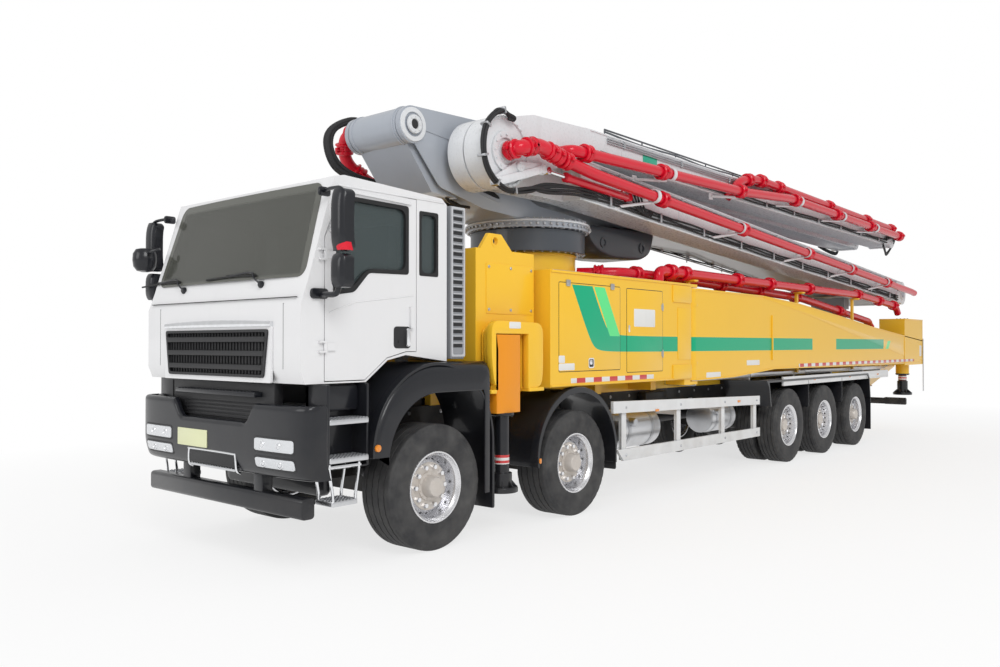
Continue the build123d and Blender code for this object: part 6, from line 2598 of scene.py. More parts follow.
@dataclass
class FrontStands:
    """Bolted covers on the pedestal, and the arched guides, legs and jacks beside it."""

    jack: Point = (5.45, 1.16)

    def guide(self, inset: float, low: float, high: float) -> Surface:
        """One arched plate with the leg's slot cut up into it.

        Args:
            inset: How far its outline is drawn in.
            low: Where it starts along y.
            high: Where it ends.

        Returns:
            A closed shell.
        """
        left, right, top = 5.69 - inset, 4.944 + inset * 0.4, 1.968 - inset
        outer = filleted(
            [
                (left - 0.045, 1.335), (left, 1.62), (left, top), (right, top - 0.015),
                (right, 1.48), (right + 0.03, 1.33),
            ],
            0.11,
        )
        slot = np.array([(5.168, 1.33), (5.168, 1.846), (5.628, 1.846), (5.628, 1.335)])
        start = int(np.argmin(outer[:, 1] + np.where(outer[:, 0] < 5.3, 9, 0)))
        outline = np.vstack([np.roll(outer, -start, axis=0), slot])
        return slab(outline, low, high, "y", 0.004)

    def build(self) -> None:
        """Makes the stands' dressing on both sides."""
        node = "front_outrigger"
        plates = [
            self.guide(0.0, 1.185, 1.252), self.guide(0.03, 1.125, 1.16),
            self.guide(0.05, 1.078, 1.1),
        ]
        foot = [
            panel((4.93, 1.078, 1.3), (5.16, 1.262, 1.335), "z", 0.02, 0.005),
            panel((5.62, 1.078, 1.3), (5.7, 1.262, 1.335), "z", 0.02, 0.005),
        ]
        fit_pair("leg_guide", union(plates + foot), node, Finish.YELLOW)
        sleeve = rim_of(
            rounded((5.284, 1.07), (5.616, 1.253), 0.016),
            rounded((5.294, 1.08), (5.606, 1.2435), 0.01), 1.116, 1.832, "z",
        )
        fit_pair(
            "leg_sleeve", sleeve + panel((5.284, 1.07, 1.828), (5.616, 1.253, 1.838), "z", 0.016),
            node, Finish.ORANGE,
        )
        x, y = self.jack
        collar = hoop(
            [(1.088, 0.074), (1.088, 0.112), (1.094, 0.118), (1.116, 0.118), (1.116, 0.074)], "z",
            (x, y, 0), 40,
        )
        heads = bolt_ring((x, y, 1.088), 0.098, 10, "z", 0.01, -0.012)
        fit_pair("leg_collar", collar + heads, node, Finish.BLACK)
        fit_pair(
            "guide_label", plate_on(1.252, (5.285, 5.45), (1.895, 1.957), 0.003), node,
            Finish.STICKER,
        )
        for name, at, radius, foot_z, foot_r, tape in (
            ("front_jack", (x, y), 0.07, 0.425, 0.15, 0.64),
            ("rear_jack", REAR_JACK, 0.08, 0.765, 0.18, 1.02),
        ):
            centre = (*at, 0)
            band = flat_ring(tape, tape + 0.085, radius - 0.001, radius + 0.0012, "z", centre, 36)
            fit_pair(f"{name}_tape", band, name, Finish.TAPE_UP)
            ribs = [
                slab(
                    [
                        (radius * 0.9, foot_z), (foot_r - 0.012, foot_z),
                        (foot_r - 0.012, foot_z + 0.012), (radius * 1.2, foot_z + 0.075),
                        (radius * 0.9, foot_z + 0.075),
                    ],
                    -0.006, 0.006, "y", 0.002,
                ).turned("z", 45 * k)
                for k in range(8)
            ]
            edge = hoop(
                [
                    (foot_z - 0.006, foot_r - 0.016), (foot_z - 0.006, foot_r - 0.002),
                    (foot_z + 0.006, foot_r - 0.004), (foot_z + 0.006, foot_r - 0.016),
                ],
                "z", (0, 0, 0), 48,
            )
            fit_pair(f"{name}_ribs", union([*ribs, edge]).moved(centre), name, Finish.BLACK)
        cover_x, cover_z = (4.868, 5.56), (2.035, 2.51)
        fit_both(
            "housing_covers", [plate_on(HOUSING_FACE, cover_x, cover_z, 0.006)], "pedestal",
            Finish.YELLOW,
        )
        spots = [
            (5.524, 2.475), (4.9, 2.47), (5.524, 2.075), (4.9, 2.075), (5.21, 2.475), (5.21, 2.075),
        ]
        fit_both("housing_screws", [screws(HOUSING_FACE + 0.006, spots)], "pedestal", Finish.STEEL)
        eyes = flat_ring(1.018, 1.064, 0.036, 0.055, "y", (5.43, 0, 2.72), 32)
        step = [
            panel((4.862, 0.5, z), (4.868, 1.05, z + 0.02), "x", 0.004, 0.001)
            for z in (1.95, 2.61)
        ]
        beads = [
            spun(
                [(z - 0.01, 0.56), (z - 0.004, 0.574), (z + 0.004, 0.574), (z + 0.01, 0.56)], "z",
                (SLEW_X, 0, 0), 56,
            )
            for z in (1.515, 2.765)
        ]
        fit("pedestal_beads", both(eyes + union(step)) + union(beads), "pedestal", Finish.YELLOW)
        ports = []
        for k in range(6):
            y0 = -0.42 + 0.16 * k
            ports.append(
                hose(
                    [
                        (4.84, y0, 2.3), (4.7, y0 + 0.02, 2.52), (4.45, y0 * 0.7, 2.66),
                        (4.22, y0 * 0.5, 2.6),
                    ],
                    6, 0.019, 10,
                )
            )
        fit("pedestal_hoses", union(ports), "pedestal", Finish.HOSE)
        heads = bolt_ring(
            (SLEW_X, 0, 3.04), 0.65, 36, "z", 0.013, -0.008, turn=5,
        ) + bolt_ring((SLEW_X, 0, 2.7805), 0.635, 40, "z", 0.011, -0.01)
        fit("slew_heads", heads, "slew_guard", Finish.STEEL)
        bands = [
            flat_ring(z, z + 0.014, 0.668, 0.676, "z", (SLEW_X, 0, 0), 72)
            for z in (2.786, 3.008)
        ]
        fit("slew_bands", union(bands), "slew_guard", Finish.GUARD_AND_SHADE)


@dataclass
class RearStands:
    """Seams, ribs, tape, hinge rings, hoses and end-box fittings of the long swinging beams."""

    top: tuple[Point, ...] = ((1.85, 2.44), (-0.09, 2.43), (-1.72, 2.25), (-6.5, 1.56))
    foot: tuple[Point, ...] = ((1.85, 1.3), (0.85, 1.31), (-0.45, 1.39), (-6.56, 1.36))

    def edge(self, line: Sequence[Point], drop: float, low: float, high: float) -> Surface:
        """A flat bar that follows one edge of the beam, with its other side a drop away."""
        points = np.asarray(line, float)
        return slab(np.vstack([points, points[::-1] + (0, drop)]), low, high, "y", 0.002)

    def build(self) -> None:
        """Makes both beams' dressing."""
        node, face, back = "rear_outrigger", BEAM_FACE, 1.01
        bars = [
            self.edge(self.top[:2], -0.022, face - SHIFT, face + 0.008),
            self.edge(self.foot, 0.022, face - SHIFT, face + 0.008),
            self.edge(self.top, -0.03, back - 0.012, back + SHIFT),
        ]
        bars.append(
            panel((-0.38, face - SHIFT, 1.523), (-0.35, face + 0.02, 2.161), "y", 0.01, 0.005)
        )
        for x, low, high in (
            (0.9, 1.36, 2.4), (-0.37, 1.42, 2.37), (-1.9, 1.42, 2.18), (-3.4, 1.42, 1.96),
            (-4.9, 1.42, 1.74), (-6.2, 1.42, 1.56),
        ):
            bars.append(
                panel(
                    (x - 0.015, back - 0.02, low), (x + 0.015, back + SHIFT, high), "y", 0.006,
                    0.003,
                )
            )
        bars += [
            flat_ring(z, z + 0.03, 0.1, 0.1155, "z", (1.85, 1.12, 0), 40)
            for z in (1.304, 1.5, 2.22, 2.405)
        ]
        bars.append(plate_on(1.24, (-7.7, -6.6), (1.375, 1.395), 0.005, 0.004))
        bars += [
            panel((-7.749, 0.78, z), (-7.735, 1.22, z + 0.02), "x", 0.006, 0.002)
            for z in (1.36, 2.2)
        ]
        bars += [
            panel((-7.74, 1.235, 2.225), (-6.555, 1.247, 2.25), "y", 0.008, 0.003),
            panel((-7.74, 0.753, 2.225), (-6.555, 0.765, 2.25), "y", 0.008, 0.003),
        ]
        fit_pair("beam_bars", union(bars), node, Finish.YELLOW)
        fit_pair(
            "beam_tape", plate_on(face + 0.001, (-7.15, -1.32), (1.402, 1.452), 0.0102, 0.004),
            node, Finish.TAPE,
        )
        labels = [
            plate_on(face, (1.215, 1.6), (1.322, 1.392), 0.003),
            plate_on(1.24, (-7.66, -7.52), (1.5, 1.72), 0.003),
            plate_on(face, (0.05, 0.45), (1.46, 1.53), 0.003),
        ]
        fit_pair("beam_labels", union(labels), node, Finish.STICKER)
        fit_pair(
            "beam_lamp", panel((-7.7495, 1.02, 1.46), (-7.744, 1.2, 1.54), "x", 0.02, 0.003), node,
            Finish.RED_LENS,
        )
        mast = [tube([(-7.735, 1.252, 0.78), (-7.735, 1.252, 1.86)], 0.011, 10)] + [
            panel((-7.748, 1.236, z), (-7.715, 1.262, z + 0.03), "y", 0.004, 0.002)
            for z in (1.42, 1.8)
        ]
        fit_pair("beam_rod", union(mast), node, Finish.ALUMINIUM)
        rise = [
            (-0.09, 2.428), (-1.356, 2.363), (-3.125, 2.21), (-4.652, 2.064), (-6.236, 1.938),
            (-7.744, 1.825),
        ]
        cheek = [*rise, (-7.744, 1.52), (-6.5, 1.52), (-1.72, 2.2), (-0.09, 2.395)]
        fit_pair(
            "beam_cheek", slab(cheek, face - 0.02, face + 0.0045, "y", 0.002), node, Finish.FLANK,
        )
        fit_pair(
            "beam_cheek_edge", self.edge(rise, -0.02, face + 0.0035, face + 0.01), node,
            Finish.YELLOW,
        )
        hoses = [
            hose(
                [
                    (1.6, back - 0.03, 1.62 + 0.04 * k), (-0.4, back - 0.035, 1.6 + 0.04 * k),
                    (-3.0, back - 0.03, 1.56 + 0.03 * k), (-6.3, back - 0.035, 1.46 + 0.025 * k),
                    (-6.6, 0.97, 1.62 + 0.03 * k),
                ],
                8, 0.014, 8,
            )
            for k in range(4)
        ]
        fit_pair("beam_hoses", union(hoses), node, Finish.HOSE)
        clips = [
            panel(
                (x - 0.02, back - 0.052, 1.49), (x + 0.02, back + SHIFT, 1.76 if x > -3 else 1.66),
                "x", 0.008, 0.003,
            )
            for x in (1.2, 0.2, -1.0, -2.2, -3.4, -4.6, -5.8)
        ]
        fit_pair("beam_clips", union(clips), node, Finish.STEEL)
        head = hoop(
            [(2.245, 0.082), (2.245, 0.13), (2.262, 0.126), (2.262, 0.082)], "z", (*REAR_JACK, 0),
            36,
        )
        fit_pair(
            "jack_head", head + bolt_ring((*REAR_JACK, 2.262), 0.105, 8, "z", 0.01, 0.01), node,
            Finish.BLACK,
        )
        knob = hoop(
            [(1.128, 0.084), (1.128, 0.13), (1.15, 0.134), (1.152, 0.084)], "z", (*REAR_JACK, 0),
            36,
        )
        fit_pair(
            "jack_collar", knob + bolt_ring((*REAR_JACK, 1.128), 0.108, 8, "z", 0.01, -0.01), node,
            Finish.BLACK,
        )


@dataclass
class Mudguards:
    """Wide lips on the front arches, the white rail and dividers at the rear, lamps and guards."""

    def lip(self, centre: Point, radius: float, front: float, rear: float, wide: float) -> Surface:
        """An arch's outer band: its width grows as the sine of the angle from front to rear.

        Args:
            centre: The arch's (x, z) centre.
            radius: The arch's radius.
            front: Height of its front end.
            rear: Height of its rear end.
            wide: Its greatest width.

        Returns:
            A closed band.
        """
        a = np.linspace(0, math.pi, 49)
        reach = np.concatenate([[0.024], 0.024 + wide * np.sin(a) ** 0.7, [0.024]])
        a = np.concatenate([[0.0], a, [math.pi]])
        rows = []
        for depth, out in (
            (0.002, 0.0), (1.0, 0.0), (1.0, 0.01), (0.9, 0.018), (0.002, 0.018), (0.002, 0.01),
        ):
            r = radius + reach * depth
            z = np.concatenate([[front], centre[1] + r[1:-1] * np.sin(a[1:-1]), [rear]])
            y = np.full(len(a), 1.24 + out - (0.075 if out == 0.0 and depth > 0.5 else 0.0))
            rows.append(np.stack([centre[0] + r * np.cos(a), y, z], 1))
        return loft(np.stack(rows, 1))

    def skirt(self) -> Surface:
        """The first arch's deep side: from the arch's rim down over the tyre, squared at the rear.

        Point (i, j) lies a share s of the way from the outer line to the inner one, at angle a.
        Before the top both lines are circles; behind it each is held within a box. Its
        face stands out by 0.09 sqrt(1 - (1 - s / 0.35)^2) near the rim, then is flat.

        Returns:
            A closed band.
        """
        a = np.radians(
            np.concatenate([[0.0], np.linspace(0, 90, 25), np.linspace(93, 180, 30), [180.0]])
        )
        c, s = np.cos(a), np.maximum(np.sin(a), 1e-6)
        lines = []
        for centre, radius, back in (((6.37, 0.88), 0.716, 0.672), ((6.36, 0.78), 0.56, 0.575)):
            box = np.minimum(radius / s, back / np.maximum(-c, 1e-6))
            reach = np.where(c < -1e-9, box, radius)
            line = np.stack([centre[0] + reach * c, centre[1] + reach * s], 1)
            line[0, 1], line[-1, 1] = 0.85, 0.42
            lines.append(line)
        shares = np.array([0.0, 0.03, 0.08, 0.15, 0.25, 0.35, 0.97, 1.0, 1.0, 0.35, 0.15, 0.03])
        out = 0.09 * np.sqrt(np.clip(1 - (1 - np.minimum(shares / 0.35, 1)) ** 2, 0, 1))
        y = 1.166 + out
        y[6:8] = (1.256, 1.25)
        y[8:] = (1.24, 1.238, 1.215, 1.166)
        rows = lines[0][:, None] * (
            1 - shares[None, :, None]
        ) + lines[1][:, None] * shares[None, :, None]
        return loft(np.stack([rows[..., 0], np.broadcast_to(y, rows.shape[:2]), rows[..., 1]], -1))

    def build(self) -> None:
        """Makes the guards' dressing on both sides."""
        node = "front_fenders"
        lips = [self.skirt(), self.lip((4.35, 0.6), 0.655, 0.56, 0.48, 0.035)]
        lips.append(panel((5.695, 0.66, 1.52), (6.3, 1.17, 1.595), "y", 0.02, 0.008))
        flaps = [
            panel((5.64, 0.66, 0.262), (5.652, 1.24, 0.7), "x", 0.02, 0.003),
            panel((3.658, 0.66, 0.4), (3.668, 1.24, 0.6), "x", 0.02, 0.003),
        ]
        fit_both("arch_lips", lips, node, Finish.BLACK)
        fit_both("front_flaps", flaps, node, Finish.HOSE)
        lamps = [
            spun(
                [(1.25, 0.03), (1.262, 0.028), (1.268, 0.018), (1.269, 0.0)], "y", (7.04, 0, 0.93),
                24,
            ),
            plate_on(1.257, (4.985, 5.015), (0.6, 0.65), 0.01),
        ]
        fit_both("arch_lamps", lamps, node, Finish.AMBER_LENS)
        node = "rear_fenders"
        rail = panel((-5.535, 1.2, 1.135), (-0.765, 1.234, 1.268), "y", 0.012, 0.005)
        stays = [
            panel((x - 0.02, 0.46, 1.19), (x + 0.02, 1.21, 1.23), "x")
            for x in (-1.0, -2.4, -3.8, -5.4)
        ]
        fit_both("white_rails", [rail + union(stays)], node, Finish.WHITE)
        marks = [
            plate_on(1.234, (x - 0.04, x + 0.04), (1.185, 1.215), 0.006)
            for x in (-1.95, -3.5, -4.95)
        ]
        fit_both("rail_reflectors", marks, node, Finish.AMBER_LENS)
        walls = [
            panel((x - 0.006, 0.585, 0.78), (x + 0.006, 1.236, 1.215), "x", 0.03, 0.003)
            for x in (-1.7, -3.125)
        ]
        fit_both("wheel_dividers", walls, node, Finish.BLACK)
        flap = panel((-4.545, 0.62, 0.235), (-4.533, 1.235, 0.85), "x", 0.03, 0.003)
        fit_both("rear_flaps", [flap], node, Finish.HOSE)
        node = "side_guards"
        posts, heads = [], []
        for x in (3.45, 2.25, 1.1, 0.15):
            top = 0.91 + (x - 0.05) * 0.09 / 3.65
            posts.append(
                panel((x - 0.045, 1.19, 0.52), (x + 0.045, 1.206, top + 0.09), "y", 0.01, 0.003)
            )
            heads += [(x, 1.235, z) for z in (0.53, top + 0.06)]
        caps = [
            panel((0.04, 1.198, z0), (0.052, 1.237, z1), "x", 0.008, 0.002)
            for z0, z1 in ((0.908, 1.032), (0.468, 0.592))
        ]
        fit_both("guard_posts", posts, node, Finish.WHITE)
        fit_both("guard_heads", [bolts(heads, "y", 0.012, 0.008)], node, Finish.STEEL)
        fit_both("guard_caps", caps, node, Finish.DARK)
        fit_both(
            "guard_lamps",
            (plate_on(1.235, (x - 0.04, x + 0.04), (0.97, 1.0), 0.008) for x in (0.7, 2.8)), node,
            Finish.AMBER_LENS,
        )
        node, metal, middle = "tanks", [], (0, 0.8, 0.76)
        for x, half, r in ((2.8, 0.42, 0.23), (0.65, 0.33, 0.2)):
            for k in (-0.6, 0.6):
                metal.append(
                    flat_ring(
                        x + k * half - 0.025, x + k * half + 0.025, r - 0.002, r + 0.005, "x",
                        middle, 48,
                    )
                )
            for end in (-1, 1):
                metal.append(
                    spun(
                        [
                            (x + end * (half - 0.004), r * 0.99),
                            (x + end * (half + 0.012), r * 0.96),
                            (x + end * (half + 0.03), r * 0.7), (x + end * (half + 0.038), 0.02),
                        ],
                        "x", middle, 48,
                    )
                )
            metal.append(
                spun(
                    [(0.0, 0.05), (r + 0.03, 0.05), (r + 0.045, 0.042)], "y", (x + 0.2, 0.8, 0.85),
                    24,
                )
            )
        fit_both("tank_bands", metal, node, Finish.STEEL)


# ---- rear, deck and underside ----------------------------------------------------------------
@dataclass
class RearEnd:
    """Hopper rim, grid, agitator, rear bar, lamps and blank plate."""

    x: Point = (-7.7, -6.45)
    half: float = 0.7
    top: float = 1.78

    def build(self) -> None:
        """Makes the hopper's and the tail's fittings."""
        node, (low, high), half, top = "hopper", self.x, self.half, self.top
        rim = rim_of(
            rounded((low - 0.03, -half - 0.03), (high + 0.02, half + 0.03), 0.05),
            rounded((low + 0.022, -half + 0.022), (high - 0.022, half - 0.022), 0.03), top - 0.03,
            top + 0.012, "z",
        )
        ribs = [
            panel((x - 0.012, half - SHIFT, 1.3), (x + 0.012, half + 0.035, top - 0.03))
            for x in (-7.55, -7.25, -6.95, -6.65)
        ]
        backs = [
            panel((low - 0.035, y - 0.012, 1.3), (low + SHIFT, y + 0.012, top - 0.03), "x")
            for y in (-0.5, -0.18, 0.18, 0.5)
        ]
        fit("hopper_rim", rim + both(union(ribs)) + union(backs), node, Finish.YELLOW)
        grid = [
            tube([(x, -half + 0.02, top - 0.045), (x, half - 0.02, top - 0.045)], 0.009, 8)
            for x in np.linspace(low + 0.1, high - 0.08, 14)
        ]
        grid += [
            tube([(low + 0.02, y, top - 0.062), (high - 0.02, y, top - 0.062)], 0.01, 8)
            for y in np.linspace(-0.55, 0.55, 7)
        ]
        fit("hopper_grid", union(grid), node, Finish.STEEL)
        mill = (-7.08, 0, 1.42)
        shaft = [spun([(-half - 0.06, 0.035), (half + 0.06, 0.035)], "y", mill, 24)]
        for k, y in enumerate(np.linspace(-0.54, 0.54, 7)):
            for flip in (0, 180):
                blade = slab(
                    [(0.02, -0.03), (0.2, -0.055), (0.24, 0.0), (0.2, 0.055), (0.02, 0.03)], -0.009,
                    0.009, "y", 0.003,
                )
                shaft.append(blade.turned("y", 51 * k + flip).moved((mill[0], y, mill[2])))
        fit("agitator", union(shaft), node, Finish.IRON)
        drives = flat_ring(
            half - SHIFT, half + 0.03, 0.05, 0.13, "y", mill, 36,
        ) + spun([(half, 0.07), (half + 0.055, 0.07)], "y", mill, 28)
        fit_both(
            "agitator_drives",
            [drives + bolt_ring((mill[0], half + 0.03, mill[2]), 0.105, 8, "y", 0.01, 0.01)], node,
            Finish.PUMP,
        )
        chute = slab(
            filleted([(-7.3, 0.905), (-6.85, 0.905), (-6.8, 0.87), (-7.35, 0.87)], 0.01), -0.36,
            0.36, "y", 0.008,
        )
        mouth = [(-6.2, 0.15), (-6.44, 0.17), (-6.62, 0.2), (-6.62, 0.1)]
        throats = [spun(mouth, "x", (0, y, 1.36), 32) for y in (-0.2, 0.2)]
        fit("hopper_chute", union([chute, *throats]), node, Finish.YELLOW)
        bar_z, bar_x = (0.545, 0.665), (-6.86, -6.78)
        frame_node = "ladder_frame"
        bar = panel((bar_x[0], -1.18, bar_z[0]), (bar_x[1], 1.18, bar_z[1]), "x", 0.018, 0.008)
        arms = [
            slab(
                [
                    (-6.4, 0.875), (-6.4, 1.12), (-6.3, 1.12), (-6.3, 0.86), (-6.72, 0.56),
                    (-6.86, 0.56), (-6.86, 0.64),
                ],
                0.405, 0.455, "y", 0.005,
            )
        ]
        fit("rear_bar", bar + both(union(arms)), frame_node, Finish.CHASSIS)
        fit_both(
            "rear_bar_tape",
            [
                panel(
                    (bar_x[0] - 0.0015, 0.1, bar_z[0] + 0.03),
                    (bar_x[0] + SHIFT, 0.7, bar_z[1] - 0.03), "x", 0.004, 0.0005,
                )
            ],
            frame_node, Finish.TAPE_SIDE,
        )
        cluster = panel(
            (bar_x[0] - 0.04, 0.745, bar_z[0] - 0.01), (bar_x[0] + SHIFT, 1.165, bar_z[1] + 0.01),
            "x", 0.02, 0.01,
        )
        fit_both("lamp_boxes", [cluster], frame_node, Finish.DARK)
        for name, y0, y1, finish in (
            ("stop", 0.76, 0.89, Finish.RED_LENS), ("turn", 0.9, 1.02, Finish.AMBER_LENS),
            ("reverse", 1.03, 1.15, Finish.CLEAR_LENS),
        ):
            fit_both(
                f"lamp_{name}",
                [
                    panel(
                        (bar_x[0] - 0.05, y0, bar_z[0] + 0.012),
                        (bar_x[0] - 0.036, y1, bar_z[1] - 0.012), "x", 0.016, 0.005,
                    )
                ],
                frame_node, finish,
            )
        fit(
            "rear_plate",
            panel((bar_x[0] - 0.008, -0.26, 0.7), (bar_x[0] + 0.002, 0.26, 0.84), "x", 0.01, 0.002),
            frame_node, Finish.PLATE,
        )
        fit(
            "rear_plate_holder",
            union(
                panel(
                    (bar_x[0], y - 0.02, 0.64), (bar_x[0] + 0.012, y + 0.02, 0.84), "x", 0.004,
                    0.002,
                )
                for y in (-0.2, 0.2)
            ),
            frame_node, Finish.CHASSIS,
        )


@dataclass
class PumpDeck:
    """Pump cylinders' bands and rods, walkways, water box and rest pads."""

    def build(self) -> None:
        """Makes everything on the deck between the beams."""
        node, bits, steel = "pump_unit", [], []
        height, ring = 1.5, 0.165
        for y in (-0.2, 0.2):
            for x in (-0.66, -0.98, -1.72, -3.05, -3.92, -4.75, -5.55, -6.24):
                bits.append(
                    hoop(
                        [
                            (x - 0.03, 0.148), (x - 0.03, 0.176), (x - 0.022, 0.184),
                            (x + 0.022, 0.184), (x + 0.03, 0.176), (x + 0.03, 0.148),
                        ],
                        "x", (0, y, height), 40,
                    )
                )
            for k in range(4):
                a = math.radians(45 + 90 * k)
                cy, cz = y + ring * math.cos(a), height + ring * math.sin(a)
                steel.append(tube([(-0.66, cy, cz), (-3.05, cy, cz), (-6.24, cy, cz)], 0.012, 8))
        box = panel((-3.35, -0.39, 1.32), (-2.75, 0.39, 1.74), "y", 0.03, 0.012)
        lid = [panel((-3.3, -0.34, 1.738), (-2.8, 0.34, 1.756), "z", 0.03, 0.005)]
        cover = [
            panel((x, -0.36, 1.778), (x + 0.62, 0.36, 1.792), "z", 0.03)
            for x in (-0.64, 0.04, 0.78)
        ]
        fit("pump_bands", union(bits + [box, *lid, *cover]), node, Finish.PUMP)
        fit("pump_rods", union(steel), node, Finish.STEEL)
        handles = [
            tube(
                bent(
                    [(x, -0.12, 1.788), (x, -0.12, 1.845), (x, 0.12, 1.845), (x, 0.12, 1.788)],
                    0.03, 5,
                ),
                0.009, 8,
            )
            for x in (-0.33, 0.35, 1.09, -3.05)
        ]
        fit("deck_handles", union(handles), node, Finish.CHROME)
        loops = []
        for k in range(8):
            y = -0.33 + 0.094 * k
            loops.append(
                hose(
                    [
                        (1.4, y, 1.7), (1.66, y * 1.1, 1.72),
                        (1.92, y * 1.2, 1.58 + 0.03 * (k % 3)), (2.3, y * 1.1, 1.46),
                        (2.98, y, 1.44),
                    ],
                    6, 0.021, 10,
                )
            )
            loops.append(
                hose(
                    [
                        (-0.7, y, 1.74), (-0.95, y * 1.15, 1.8),
                        (-1.6, y * 1.2, 1.74 + 0.02 * (k % 2)), (-2.78, y, 1.68),
                    ],
                    6, 0.016, 8,
                )
            )
        fit("deck_hoses", union(loops), node, Finish.HOSE)
        rest = [panel((-6.05, y0, 2.655), (-5.81, y0 + 0.22, 2.668), "z") for y0 in (-0.31, 0.09)]
        braces = [
            slab(
                [(-5.86, 1.78), (-5.86, 2.02), (-5.52, 1.66), (-5.6, 1.62)], y - 0.02, y + 0.02,
                "y", 0.004,
            )
            for y in (-0.24, 0.24)
        ]
        fit("rest_pads", union(rest), node, Finish.HOSE)
        fit("rest_braces", union(braces), node, Finish.PUMP)
        node = "pedestal"
        walks, treads = [], []
        for x0, x1 in ((1.66, -0.28), (-0.3, -2.28), (-2.3, -4.28), (-4.3, -6.28)):
            low, high = min(x0, x1), max(x0, x1)
            walks.append(panel((low, 0.47, 1.296), (high, 0.94, 1.306), "z", 0.012, 0.003))
            walks.append(panel((low, 0.925, 1.27), (high, 0.945, 1.33), "y", 0.006, 0.003))
            for x in np.arange(low + 0.05, high - 0.03, 0.125):
                treads.append(
                    panel((x - 0.022, 0.5, 1.304), (x + 0.03, 0.915, 1.311), "z", 0.012, 0.003)
                )
        brackets = [
            panel((x - 0.02, 0.42, 1.2), (x + 0.02, 0.92, 1.298), "x", 0.02)
            for x in (1.3, -0.3, -1.9, -3.5, -5.1, -6.1)
        ]
        fit_both("walkways", walks + treads + brackets, node, Finish.ALUMINIUM)
        stairs = [
            panel((2.6 + 0.4 * k, -0.3, 1.502), (2.86 + 0.4 * k, 0.3, 1.512), "z", 0.02, 0.003)
            for k in (0, 1)
        ]
        fit("frame_lids", union(stairs), node, Finish.YELLOW)
        node = "pipe_posts"
        caps = [
            panel((x - 0.05, 0.93, 2.548), (x + 0.05, 1.09, 2.5695), "z")
            for x in (1.58, -1.9, -4.4)
        ]
        feet = [
            panel((x - 0.07, 0.93, 1.338), (x + 0.07, 1.0, 1.352), "z")
            for x in (1.58, -1.9, -4.4)
        ]
        fit("post_feet", union(caps + feet), node, Finish.YELLOW)


